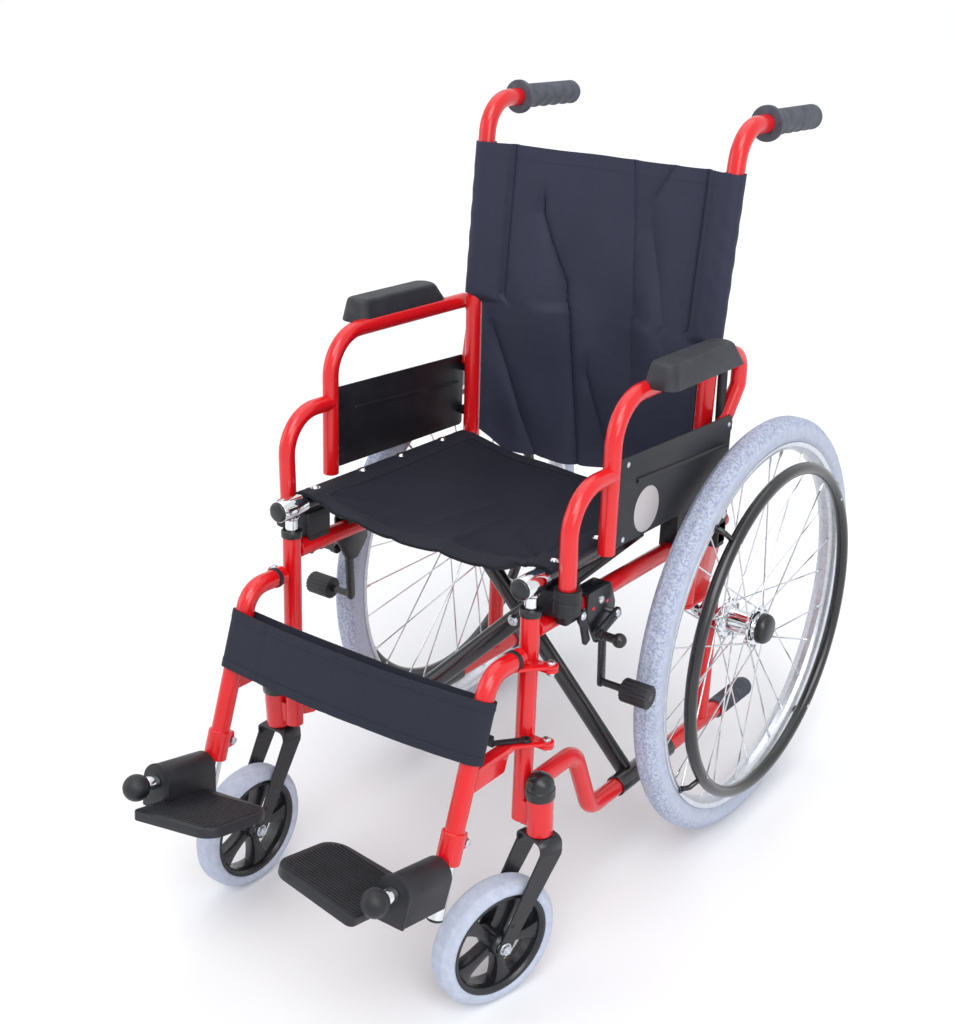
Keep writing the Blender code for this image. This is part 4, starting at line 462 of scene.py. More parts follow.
def placed(name, mesh, finish, body, slot, smooth=38):
    """A mesh as a linked object with its finish, its shading, its body and its slot."""
    made = bpy.data.objects.new(name, mesh)
    bpy.context.scene.collection.objects.link(made)
    mesh.materials.append(FINISHES[finish]())
    mesh.shade_smooth()
    mesh.set_sharp_from_angle(angle=radians(smooth))
    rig.ride(made, body)
    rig.slot(made, slot)
    return made


# Finishes


def linear(hex_code):
    """An sRGB hex colour as linear red, green, blue and alpha."""
    channels = np.array([int(hex_code[start : start + 2], 16) for start in (0, 2, 4)]) / 255
    light = np.where(channels <= 0.04045, channels / 12.92, ((channels + 0.055) / 1.055) ** 2.4)
    return (*light.tolist(), 1.0)


def choices():
    """The sizes and colours set in the sidebar."""
    return bpy.context.scene.wheelchair_choices


def add(tree, kind, links=(), **settings):
    """One node with its settings: input values, attributes, and links of (output socket, input name)."""
    node = tree.nodes.new(kind)
    for name, value in settings.items():
        if name in node.inputs:
            node.inputs[name].default_value = value
        elif name.replace("_", " ") in node.inputs:
            node.inputs[name.replace("_", " ")].default_value = value
        else:
            setattr(node, name, value)
    for output, name in links:
        tree.links.new(output, node.inputs[name])
    return node


def base(name, hex_code, roughness, **settings):
    """A new material with its Principled shader and its Object coordinates."""
    made = bpy.data.materials.new(name)
    made.use_nodes = True
    tree = made.node_tree
    shader = tree.nodes["Principled BSDF"]
    shader.inputs["Base Color"].default_value = linear(hex_code)
    shader.inputs["Roughness"].default_value = roughness
    for key, value in settings.items():
        shader.inputs[key.replace("_", " ")].default_value = value
    return made, tree, shader, add(tree, "ShaderNodeTexCoord")


def bumped(tree, shader, height, depth, strength=0.5, over=None):
    """A bump from a height socket, depth metres deep, on top of another bump if one is given."""
    links = [(height, "Height")]
    if over is not None:
        links.append((over.outputs["Normal"], "Normal"))
    made = add(tree, "ShaderNodeBump", links, Strength=strength, Distance=depth)
    tree.links.new(made.outputs["Normal"], shader.inputs["Normal"])
    return made


def tinted(tree, shader, factor, low_hex, high_hex, low=0.3, high=0.7):
    """A base colour that runs between two colours as a socket goes from low to high."""
    ramp = add(tree, "ShaderNodeValToRGB", [(factor, "Fac")])
    ramp.color_ramp.elements[0].position, ramp.color_ramp.elements[1].position = low, high
    ramp.color_ramp.elements[0].color, ramp.color_ramp.elements[1].color = linear(low_hex), linear(high_hex)
    tree.links.new(ramp.outputs["Color"], shader.inputs["Base Color"])
    return ramp


def roughened(tree, shader, factor, low, high):
    """A roughness that runs from low to high with a socket."""
    spread = add(tree, "ShaderNodeMapRange", [(factor, "Value")], To_Min=low, To_Max=high)
    tree.links.new(spread.outputs["Result"], shader.inputs["Roughness"])


def once(make):
    """Keeps the one material that a function makes."""
    kept = []

    def again():
        if not kept:
            kept.append(make())
        return kept[0]

    again.__doc__ = make.__doc__
    return again


def noise(tree, coordinates, millimetres, detail=2.0, roughness=0.5):
    """A noise whose grains are about so many millimetres wide, from Object coordinates."""
    return add(
        tree, "ShaderNodeTexNoise", [(coordinates, "Vector")],
        Scale=1000 / millimetres, Detail=detail, Roughness=roughness,
    ).outputs["Fac"]


@once
def red_powder_coat():
    """Polyester powder coat on steel, sprayed and baked: a deep gloss red with a faint orange peel, 2 mm
    across."""
    made, tree, shader, place = base("red_powder_coat", "D81019", 0.24, Coat_Weight=0.25, Coat_Roughness=0.04)
    shader.inputs["Base Color"].default_value = choices().frame_red
    peel = noise(tree, place.outputs["Object"], 2.2, 1.0)
    bumped(tree, shader, peel, 0.00006, 0.35)
    roughened(tree, shader, noise(tree, place.outputs["Object"], 30.0), 0.18, 0.27)
    return made


@once
def black_powder_coat():
    """Powder coat on pressed steel: near black and glossy, with a fine orange peel."""
    made, tree, shader, place = base(
        "black_powder_coat", "141519", 0.24, Coat_Weight=0.3, Coat_Roughness=0.1,
    )
    bumped(tree, shader, noise(tree, place.outputs["Object"], 1.8, 1.0), 0.00005, 0.35)
    roughened(tree, shader, noise(tree, place.outputs["Object"], 24.0), 0.18, 0.3)
    return made


@once
def bright_chrome():
    """Chrome plate on steel, buffed: a mirror with slight haze where it has been handled."""
    made, tree, shader, place = base("bright_chrome", "DDE0E4", 0.07, Metallic=1.0)
    roughened(tree, shader, noise(tree, place.outputs["Object"], 14.0, 3.0), 0.04, 0.13)
    return made


@once
def zinc_plate():
    """Zinc plate on fasteners: a paler, duller silver than the chrome, lightly clouded."""
    made, tree, shader, place = base("zinc_plate", "C9CDD4", 0.28, Metallic=1.0)
    cloud = noise(tree, place.outputs["Object"], 3.0, 3.0)
    tinted(tree, shader, cloud, "B6BBC4", "DADDE2")
    roughened(tree, shader, cloud, 0.2, 0.36)
    return made


@once
def stainless_wire():
    """Drawn stainless steel, as the spokes are: bright and even."""
    made, tree, shader, place = base("stainless_wire", "D4D7DC", 0.18, Metallic=1.0)
    roughened(tree, shader, noise(tree, place.outputs["Object"], 6.0), 0.14, 0.24)
    return made


@once
def anodised_rim():
    """Anodised aluminium: a pale satin silver, with the extrusion's faint lines round the rim."""
    made, tree, shader, place = base("anodised_rim", "D9DCE4", 0.34, Metallic=0.85)
    cloud = noise(tree, place.outputs["Object"], 5.0, 4.0)
    tinted(tree, shader, cloud, "CDD1DA", "E3E6EC")
    roughened(tree, shader, cloud, 0.28, 0.42)
    bumped(tree, shader, noise(tree, place.outputs["Object"], 0.9, 2.0), 0.00002, 0.3)
    return made


@once
def tyre_polyurethane():
    """Moulded solid polyurethane: pale blue grey and dull, with cast specks of 3 mm on the tread's
    shoulders."""
    made, tree, shader, place = base("tyre_polyurethane", "B9C0D2", 0.62, Specular_IOR_Level=0.35)
    mottle = noise(tree, place.outputs["Object"], 9.0, 4.0, 0.6)
    ramp = tinted(tree, shader, mottle, "AEB6CA", "C4CADB", 0.25, 0.75)
    for element, share in zip(ramp.color_ramp.elements, (0.88, 1.12)):
        element.color = [*(share * channel for channel in choices().tyre_grey[:3]), 1]
    flat = add(tree, "ShaderNodeVectorMath", [(place.outputs["Object"], 0)], operation="MULTIPLY")
    flat.inputs[1].default_value = (0, 1, 1)
    reach = add(tree, "ShaderNodeVectorMath", [(flat.outputs["Vector"], 0)], operation="DISTANCE")
    reach.inputs[1].default_value = (0, *at(0, AXLE_S, AXLE_T)[1:].tolist())
    tread = add(
        tree, "ShaderNodeMapRange", [(reach.outputs["Value"], "Value")],
        From_Min=REAR_RADIUS - 0.015, From_Max=REAR_RADIUS - 0.006, To_Max=0.75,
    )
    specks = add(
        tree, "ShaderNodeMapRange", [(noise(tree, place.outputs["Object"], 3.2, 3.0, 0.7), "Value")],
        From_Min=0.47, From_Max=0.56,
    )
    near = add(tree, "ShaderNodeMath", [(reach.outputs["Value"], 0)], operation="LESS_THAN")
    near.inputs[1].default_value = REAR_RADIUS + 0.004
    rear = add(tree, "ShaderNodeMath", operation="MULTIPLY")
    tree.links.new(near.outputs["Value"], rear.inputs[0])
    tree.links.new(tread.outputs["Result"], rear.inputs[1])
    share = add(tree, "ShaderNodeMath", operation="MULTIPLY")
    tree.links.new(rear.outputs["Value"], share.inputs[0])
    tree.links.new(specks.outputs["Result"], share.inputs[1])
    worn = add(tree, "ShaderNodeMix", [(share.outputs["Value"], "Factor")], data_type="RGBA")
    tree.links.new(ramp.outputs["Color"], worn.inputs["A"])
    worn.inputs["B"].default_value = linear("8490AE")
    tree.links.new(worn.outputs["Result"], shader.inputs["Base Color"])
    grain = bumped(tree, shader, noise(tree, place.outputs["Object"], 0.8, 2.0), 0.0001, 0.45)
    bumped(tree, shader, noise(tree, place.outputs["Object"], 5.0, 3.0), 0.0003, 0.25, grain)
    roughened(tree, shader, mottle, 0.52, 0.72)
    return made


@once
def black_nylon_moulding():
    """Injection moulded nylon: black with a spark-eroded grain under half a millimetre, drawn at 0.7 mm to
    show."""
    made, tree, shader, place = base("black_nylon_moulding", "15161C", 0.46, Specular_IOR_Level=0.45)
    grain = noise(tree, place.outputs["Object"], 0.7, 2.0)
    tinted(tree, shader, noise(tree, place.outputs["Object"], 20.0, 3.0), "121318", "1C1D24")
    bumped(tree, shader, grain, 0.00007, 0.45)
    roughened(tree, shader, grain, 0.4, 0.58)
    return made


@once
def glossy_black_plastic():
    """Polished moulded plastic, as the caps and the brake plates are: black with a soft, clear highlight."""
    made, tree, shader, place = base("glossy_black_plastic", "1B1C21", 0.27)
    bumped(tree, shader, noise(tree, place.outputs["Object"], 4.0), 0.00008, 0.3)
    roughened(tree, shader, noise(tree, place.outputs["Object"], 15.0, 3.0), 0.2, 0.36)
    return made


@once
def grip_rubber():
    """Moulded vinyl of the push grips: a worn dark grey, matt, with a grain of about 1 mm."""
    made, tree, shader, place = base("grip_rubber", "4A4C56", 0.66, Specular_IOR_Level=0.4)
    tinted(tree, shader, noise(tree, place.outputs["Object"], 12.0, 4.0), "43454F", "565963")
    bumped(tree, shader, noise(tree, place.outputs["Object"], 1.0, 2.0), 0.00012, 0.5)
    roughened(tree, shader, noise(tree, place.outputs["Object"], 8.0), 0.55, 0.75)
    return made


@once
def arm_pad_foam():
    """Self-skinned polyurethane foam: dark grey, soft-edged and dull, with a leather-like grain of 2 mm
    cells."""
    made, tree, shader, place = base("arm_pad_foam", "2B2C33", 0.58, Specular_IOR_Level=0.4)
    cells = add(
        tree, "ShaderNodeTexVoronoi", [
            (place.outputs["Object"], "Vector")
        ], Scale=1000 / 1.8, feature="SMOOTH_F1"
    )
    tinted(tree, shader, noise(tree, place.outputs["Object"], 25.0, 3.0), "26272D", "33343B")
    bumped(tree, shader, cells.outputs["Distance"], 0.00018, 0.5)
    roughened(tree, shader, noise(tree, place.outputs["Object"], 10.0), 0.5, 0.66)
    return made


def woven(name, weave_shade_hex, weave_lit_hex, thread, depth, roughness):
    """Plain-woven cloth from the piece's own UV map in metres: two crossed sets of threads, lit by their
    own height."""
    made, tree, shader, place = base(name, weave_shade_hex, roughness, Sheen_Weight=0.25, Specular_IOR_Level=0.25)
    shader.inputs["Sheen Roughness"].default_value = 0.5
    shader.inputs["Sheen Tint"].default_value = linear(weave_lit_hex)
    threads = []
    for direction in ("X", "Y"):
        threads.append(
            add(
                tree, "ShaderNodeTexWave", [(place.outputs["UV"], "Vector")],
                wave_type="BANDS", bands_direction=direction, wave_profile="SIN",
                Scale=pi / (10 * thread), Distortion=1.2, Detail=1.0, Detail_Scale=2.0,
            ).outputs["Fac"]
        )
    weave = add(tree, "ShaderNodeMath", operation="MULTIPLY")
    tree.links.new(threads[0], weave.inputs[0])
    tree.links.new(threads[1], weave.inputs[1])
    # Painted light: the base colour runs from the painted shade between the threads to the painted highlight on their
    # crossings
    tinted(tree, shader, weave.outputs["Value"], weave_shade_hex, weave_lit_hex, 0.05, 0.75)
    fine = bumped(tree, shader, weave.outputs["Value"], depth, 0.6)
    bumped(tree, shader, noise(tree, place.outputs["Object"], 38.0, 3.0), 0.0035, 0.5, fine)
    return made


@once
def sling_nylon():
    """Coated nylon of the back and the strap: black with a blue cast; its 0.5 mm threads are drawn at 1.1
    mm."""
    return woven("sling_nylon", "1F2130", "43465E", 0.0011, 0.00012, 0.6)


@once
def strap_webbing():
    """Doubled nylon of the calf strap: the back's cloth in a darker dye, its threads drawn at 1.1 mm."""
    return woven("strap_webbing", "1A1C26", "373A4A", 0.0011, 0.00012, 0.74)


@once
def seat_canvas():
    """Heavy polyester canvas of the seat: black, coarser than the back; its 0.8 mm threads are drawn at
    1.5 mm."""
    return woven("seat_canvas", "10121A", "2A2D3D", 0.0015, 0.00018, 0.8)


@once
def hem_webbing():
    """Folded and sewn hems: the same black nylon, doubled, with a tighter and darker weave."""
    return woven("hem_webbing", "15171F", "2B2E3C", 0.0008, 0.0001, 0.75)


@once
def sewing_thread():
    """Bonded polyester thread: nearly black, darker than the cloth, twisted about twice a millimetre."""
    made, tree, shader, place = base("sewing_thread", "08080B", 0.6, Sheen_Weight=0.2)
    bumped(tree, shader, noise(tree, place.outputs["Object"], 0.5), 0.0001, 0.5)
    return made


@once
def lacquered_badge():
    """Blank lacquered aluminium of the skirt guards' discs: a warm light grey with a satin face, left
    without a mark."""
    made, tree, shader, place = base("lacquered_badge", "B9B4B5", 0.42, Metallic=0.25)
    bumped(tree, shader, noise(tree, place.outputs["Object"], 1.2), 0.00003, 0.3)
    roughened(tree, shader, noise(tree, place.outputs["Object"], 9.0), 0.38, 0.48)
    return made


@once
def steel_bore():
    """The dark inside of a hole or a tube's mouth."""
    made, tree, shader, place = base("steel_bore", "0C0C0E", 0.7)
    bumped(tree, shader, noise(tree, place.outputs["Object"], 1.5), 0.0001, 0.4)
    return made


FINISHES = {
    "red": red_powder_coat,
    "black_paint": black_powder_coat,
    "chrome": bright_chrome,
    "zinc": zinc_plate,
    "wire": stainless_wire,
    "rim": anodised_rim,
    "tyre": tyre_polyurethane,
    "nylon": black_nylon_moulding,
    "gloss": glossy_black_plastic,
    "grip": grip_rubber,
    "pad": arm_pad_foam,
    "cloth": sling_nylon,
    "strap": strap_webbing,
    "canvas": seat_canvas,
    "hem": hem_webbing,
    "thread": sewing_thread,
    "badge": lacquered_badge,
    # This finish is painted shade: near-black discs that stand in for holes
    "hole_shade": steel_bore,
}


# Side frames


def sided(points, side):
    """Left-hand (x, s, t) points on either side, in the model's axes."""
    return at(np.asarray(points, float) * (side, 1, 1))


def upright_tube(low, high, radius, side, sides=28, edge=0.0006):
    """A bar on the front upright's axis, from low to high along t."""
    return bar(at(side * HALF_WIDTH, 0, low), at(side * HALF_WIDTH, 0, high), radius, sides, edge)


def hinge_ear(side, level, root_x, radius=0.0085):
    """A flat ear round the hanger's hinge line at a level, rounded outside and running in to root_x."""
    angle = np.linspace(-pi / 2, pi / 2, 17)
    round_end = np.stack((side * (HINGE_X + radius * np.cos(angle)), radius * np.sin(angle)), axis=-1)
    outline = np.concatenate((round_end, [(side * root_x, radius), (side * root_x, -radius)]))
    return slab(outline, level - LUG / 2, level + LUG / 2, FRAME_AXES, 0.0005)


def front_uprights():
    """The front uprights: tube, collar, hinge ears, and the caster's sleeve with its web and domed cap."""
    for tag, side, word in SIDES:
        body = f"frame_{word}"
        middle = (side * CASTER_X, CASTER_Y)
        sleeve = turned(
            [
                (0.0, HOUSING_TOP), (0.0148, HOUSING_TOP), (0.0153, HOUSING_TOP - 0.0006),
                (0.0153, HOUSING_BOTTOM + 0.0008), (0.0146, HOUSING_BOTTOM), (0.008, HOUSING_BOTTOM),
                (0.008, HOUSING_BOTTOM + 0.004), (0.0, HOUSING_BOTTOM + 0.004),
            ],
            36, np.array(Matrix.Translation((*middle, 0))),
        )
        web = [
            block(
                (side * (HALF_WIDTH + 0.004), CASTER_Y + offset - 0.002, HOUSING_BOTTOM + 0.006),
                (
                    side * (CASTER_X - 0.006), CASTER_Y + offset + 0.002, HOUSING_TOP - 0.01,
                ), np.eye(4), 0.0008,
            )
            for offset in (-0.005, 0.005)
        ]
        ears = [
            hinge_ear(
                side, level - LUG / 2 - CLEARANCE, HALF_WIDTH + 0.002,
            ) for level in (UPPER_LUG_T, LOWER_LUG_T)
        ]
        tube = upright_tube(UPRIGHT_BOTTOM_T, UPRIGHT_TOP_T, TUBE, side)
        red = piece(f"front_upright_red_{tag}", [tube, sleeve, *web, *ears], "red", body, "red_paint")
        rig.replaces(red, f"front_upright_{tag}")
        collar = turned(
            [
                (0.0088, 0.0085), (0.0118, 0.0085), (0.0126, 0.0079), (0.0129, 0.0068), (0.0129, 0.0012),
                (0.0126, 0.0), (0.0112, 0.0), (0.0112, 0.004), (0.0088, 0.004),
            ],
            36, axes(at(side * HALF_WIDTH, 0, UPRIGHT_TOP_T - 0.004), *FRAME_AXES[:3, :3].T), closed=True,
        )
        dome = turned(
            [
                (0.0, 0.03), (0.005, 0.0294), (0.0095, 0.0275), (0.0134, 0.024), (0.0158, 0.019),
                (0.0163, 0.014), (0.0163, 0.0125), (0.0172, 0.0118), (0.0173, 0.0085), (0.0173, 0.0008),
                (0.0168, 0.0), (0.0, 0.0),
            ],
            40, np.array(Matrix.Translation((*middle, HOUSING_TOP + 0.0002))),
        )
        plug = upright_tube(UPRIGHT_BOTTOM_T - 0.0015, UPRIGHT_BOTTOM_T + 0.004, TUBE - 0.0018, side)
        piece(f"front_upright_caps_{tag}", [collar, dome, plug], "gloss", body, "red_paint")


def rails():
    """The side rails: the upper one with its saddle, and the lower one with its S-bend, gusset and ribbed
    tip."""
    for tag, side, word in SIDES:
        body = f"frame_{word}"
        upper = bar(
            at(side * HALF_WIDTH, TUBE - 0.002, UPPER_RAIL_T),
            at(side * HALF_WIDTH, CANE_S - 0.01, UPPER_RAIL_T), TUBE, 28,
        )
        red = piece(f"upper_rail_red_{tag}", [upper], "red", body, "red_paint")
        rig.replaces(red, f"upper_rail_{tag}")
        piece(f"upper_rail_saddle_{tag}", [saddle(side)], "nylon", body, "red_paint")

        path = rounded(
            [
                (HALF_WIDTH, 0.008, LOWER_RAIL_FRONT_T), (HALF_WIDTH, 0.108, LOWER_RAIL_FRONT_T),
                (HALF_WIDTH, 0.152, 0), (HALF_WIDTH, TIP_LEVER_END_S, 0),
            ],
            [0, 0.026, 0.026, 0], 12,
        )
        gusset = side_sheet(
            [(0.01, 0.094), (0.062, 0.094), (0.056, 0.07), (0.034, 0.064), (0.01, 0.07)],
            0.004, side, HALF_WIDTH, corner=0.005,
        )
        red = piece(
            f"lower_rail_red_{tag}", [swept(sided(path, side), TUBE), gusset], "red", body, "red_paint",
        )
        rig.replaces(red, f"lower_rail_{tag}")
        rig.replaces(tip_rubber(tag, side, body), f"tip_rubber_{tag}")


def saddle(side):
    """The seat rail's saddle: a cradle section carried along s, with a round seat on top and the rail's
    sides below."""
    reach = SEAT_RAIL_RADIUS + 2 * CLEARANCE
    angle = np.linspace(pi - 0.3, 2 * pi + 0.3, 17)
    cradle = np.stack((reach * np.cos(angle), SEAT_RAIL_T + reach * np.sin(angle)), axis=-1)
    cradle = cradle[cradle[:, 1] < SEAT_RAIL_T - 0.0015]
    outline = np.concatenate(
        (
            cradle[::-1],
            [
                (-0.0118, SEAT_RAIL_T - 0.002), (-0.0118, 0.3), (0.0118, 0.3),
                (0.0118, SEAT_RAIL_T - 0.002),
            ],
        )
    )
    upright = axes(at(side * HALF_WIDTH, 0, 0), (1, 0, 0), FRAME_AXES[:3, 2], -FRAME_AXES[:3, 1])
    return slab(outline, -0.3245, -0.2995, upright, 0.0004)


def tip_rubber(tag, side, body):
    """The tip lever's rubber: a turned sleeve with rounded ribs and a domed end."""
    length, radius = 0.095, 0.0142
    height = np.linspace(0.01, length - 0.014, 90)
    ripple = 0.0009 * np.clip(np.sin(2 * pi * height / 0.0085) * 3, -1, 1) - 0.0009
    rows = np.stack((radius + ripple, height), axis=-1)[::-1]
    cap = [
        (0, length), (radius * 0.62, length - 0.0004), (radius * 0.88, length - 0.003),
        (radius, length - 0.008),
    ]
    end = [
        (radius, 0.006), (radius, 0.001), (radius - 0.0008, 0), (TUBE + 0.0002, 0), (TUBE + 0.0002, 0.01),
        (0, 0.01),
    ]
    start = at(side * HALF_WIDTH, TIP_LEVER_END_S + 0.004 - length, 0)
    matrix = axes(start, (1, 0, 0), -FRAME_AXES[:3, 2], FRAME_AXES[:3, 1])
    return piece(
        f"tip_rubber_ribbed_{tag}", [turned(np.concatenate((cap, rows, end)), 40, matrix)], "grip", body,
        "dark_rubber",
    )


def rear_uprights():
    """The rear uprights: tube, shelf, gusset, the rail's stub, and the armrest's rear socket with its pin."""
    for tag, side, word in SIDES:
        body = f"frame_{word}"
        shelf_low = CANE_BOTTOM_T - 0.004 - CLEARANCE
        tube = bar(
            at(side * HALF_WIDTH, AXLE_S, 0.0095), at(side * HALF_WIDTH, AXLE_S, CANE_BOTTOM_T - 0.003),
            TUBE,
        )
        shelf = block(
            (side * (HALF_WIDTH - TUBE), CANE_S - TUBE, shelf_low),
            (side * (HALF_WIDTH + TUBE), AXLE_S + TUBE, CANE_BOTTOM_T - CLEARANCE), corner=0.006,
        )
        stub = bar(
            at(side * HALF_WIDTH, CANE_S + 0.0105, UPPER_RAIL_T),
            at(side * HALF_WIDTH, GUSSET_REAR_S, UPPER_RAIL_T), TUBE,
        )
        gusset = side_sheet(
            [
                (CANE_S + 0.012, shelf_low + 0.002), (0.418, shelf_low + 0.002), (GUSSET_REAR_S, 0.262),
                (GUSSET_REAR_S - 0.001, UPPER_RAIL_T), (CANE_S + 0.012, UPPER_RAIL_T),
            ],
            0.004, side, HALF_WIDTH, corner=0.002,
        )
        red = piece(f"rear_upright_red_{tag}", [tube, shelf, stub, gusset], "red", body, "red_paint")
        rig.replaces(red, f"rear_upright_{tag}")
        black = [
            block(
                (side * (HALF_WIDTH + 0.008), ARM_PIVOT_S - 0.0105, UPPER_RAIL_T - 0.01),
                (side * 0.2075, ARM_PIVOT_S + 0.0105, ARM_PIVOT_T - 0.0105), corner=0.003,
            )
        ]
        for low, high in ((HALF_WIDTH + 0.008, 0.1917), (0.2033, 0.2075)):
            black.append(
                block(
                    (side * low, ARM_PIVOT_S - 0.0105, UPPER_RAIL_T - 0.005),
                    (side * high, ARM_PIVOT_S + 0.0105, ARM_PIVOT_T + 0.009), corner=0.0015,
                )
            )
        piece(f"armrest_socket_{tag}", black, "nylon", body, "red_paint")
        pin = [
            bar(
                at(side * 0.19, ARM_PIVOT_S, ARM_PIVOT_T), at(side * 0.2085, ARM_PIVOT_S, ARM_PIVOT_T),
                0.0034,
            ),
            turned(
                [(0, 0.0018), (0.0034, 0.0014), (0.0052, 0.0003), (0.0052, -0.0006), (0, -0.0006)], 24,
                outward(side, 0.2082, ARM_PIVOT_S, ARM_PIVOT_T),
            ),
        ]
        piece(f"armrest_pin_{tag}", pin, "zinc", body, "chrome")


def cane_path():
    """The left cane's centre line: up, bent back at the seam, then into the push handle."""
    corners = [
        (HALF_WIDTH, CANE_S, CANE_BOTTOM_T), (CANE_MID_X, CANE_S, CANE_BEND_T),
        (CANE_TOP_X, HANDLE_S, HANDLE_T), (CANE_TOP_X, HANDLE_END_S, HANDLE_T),
    ]
    return rounded(corners, [0, 0.05, 0.045, 0], 14)


def canes():
    """The back canes and their grooved push grips."""
    for tag, side, word in SIDES:
        body = f"frame_{word}"
        red = piece(
            f"back_cane_red_{tag}", [swept(sided(cane_path(), side), TUBE, 32)], "red", body, "red_paint",
        )
        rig.replaces(red, f"back_cane_{tag}")
        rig.replaces(push_grip(tag, side, body), f"push_grip_{tag}")


def push_grip(tag, side, body):
    """The grip: a turned sleeve, flanged in front, whose lower half is waved for the fingers and whose top
    is ribbed.

    Its radius is the sleeve's, less the finger waves below and fine cross ribs on top.
    """
    length, radius, columns = 0.133, 0.0155, 48
    height = np.concatenate((np.linspace(0.012, length - 0.009, 110), ))
    angle = np.linspace(0, 2 * pi, columns, endpoint=False)
    below = np.clip(-np.sin(angle), 0, 1)[None, :] ** 1.5
    top = np.clip(np.sin(angle), 0, 1)[None, :] ** 2
    inside = np.clip((height - 0.014) / 0.008, 0, 1) * np.clip((length - 0.01 - height) / 0.008, 0, 1)
    waves = 0.0022 * (0.5 - 0.5 * np.cos(2 * pi * (height - 0.012) / 0.0235)) * inside
    ribs = 0.0007 * (0.5 + 0.5 * np.sign(np.sin(2 * pi * height / 0.0044))) * inside
    wall = radius - waves[:, None] * below - ribs[:, None] * top
    rows = [(wall[::-1], height[::-1])]
    caps = [(0, length), (radius * 0.55, length), (radius * 0.86, length - 0.0012), (radius, length - 0.006)]
    ends = [
        (radius, 0.009), (0.0208, 0.0066), (0.0215, 0.005), (0.0215, 0.001), (0.0205, 0),
        (TUBE + 0.0003, 0), (TUBE + 0.0003, 0.006), (0, 0.006),
    ]
    heights = np.concatenate(([h for _, h in caps], height[::-1], [h for _, h in ends]))
    radii = np.concatenate(
        (
            np.repeat(
                np.array([r for r, _ in caps])[:, None], columns, 1
            ), wall[::-1], np.repeat(np.array([r for r, _ in ends])[:, None], columns, 1)
        )
    )
    points = np.stack(
        (radii * np.cos(angle), radii * np.sin(angle), np.repeat(heights[:, None], columns, 1)), axis=-1,
    )
    start = at(side * CANE_TOP_X, HANDLE_END_S + 0.007 - length, HANDLE_T)
    matrix = axes(start, -FRAME_AXES[:3, 0], FRAME_AXES[:3, 2], FRAME_AXES[:3, 1])
    surface = (moved(points.reshape(-1, 3), matrix), grid_faces(len(heights), columns, close_columns=True))
    return piece(f"push_grip_grooved_{tag}", [surface], "grip", body, "dark_rubber")


# Fold


def cross_tubes():
    """The two crossed oval tubes, their sleeves round the lower rails, and the seat rails on top."""
    for name, low_side, s in (("b", -1, 0.232), ("a", 1, 0.2475)):
        foot, head = at(low_side * HALF_WIDTH, s, 0), at(-low_side * HALF_WIDTH, s, SEAT_RAIL_T)
        direction = unit(head - foot)
        angle = np.linspace(0, 2 * pi, 32, endpoint=False)
        oval = np.stack((0.013 * np.cos(angle), 0.0075 * np.sin(angle)), axis=-1)
        matrix = axes(foot, unit(np.cross(FRAME_AXES[:3, 1], direction)), FRAME_AXES[:3, 1], direction)
        tube = slab(oval, 0.011, float(np.linalg.norm(head - foot)) - 0.009, matrix, 0.0004)
        sleeve = turned(
            [(0.0116, 0.13), (0.0131, 0.13), (0.0135, 0.1296), (0.0135, 0.0004), (0.0131, 0), (0.0116, 0)],
            36, axes(
                at(low_side * HALF_WIDTH, 0.215, 0), (1, 0, 0), -FRAME_AXES[:3, 2], FRAME_AXES[:3, 1],
            ), closed=True,
        )
        rail = bar(
            at(-low_side * HALF_WIDTH, -0.0168, SEAT_RAIL_T),
            at(-low_side * HALF_WIDTH, 0.3493, SEAT_RAIL_T), SEAT_RAIL_RADIUS,
        )
        made = piece(
            f"cross_tube_{name}", [tube, sleeve, rail], "black_paint", f"cross_{name}", "black_paint",
        )
        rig.replaces(made, f"cross_brace_{name}")
    front, rear = 0.232 - 0.0078, 0.2475 + 0.0078
    middle = SEAT_RAIL_T / 2
    bolt = [
        bar(at(0, front - 0.006, middle), at(0, rear + 0.008, middle), 0.0038),
        turned(
            [(0, 0.0052), (0.0035, 0.0048), (0.0066, 0.0026), (0.0078, 0.0), (0, 0)], 28,
            along(at(0, front, middle), at(0, front - 0.1, middle)),
        ),
        hex_nut(at(0, rear + 0.0004, middle), at(0, rear + 0.0062, middle), 0.0125),
        turned(
            [(0, 0.0008), (0.0086, 0.0008), (0.0086, 0), (0, 0)], 28,
            along(at(0, rear, middle), at(0, rear + 0.1, middle)),
        ),
    ]
    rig.replaces(piece("centre_bolt_zinc", bolt, "zinc", "cross_b", "chrome"), "centre_bolt")


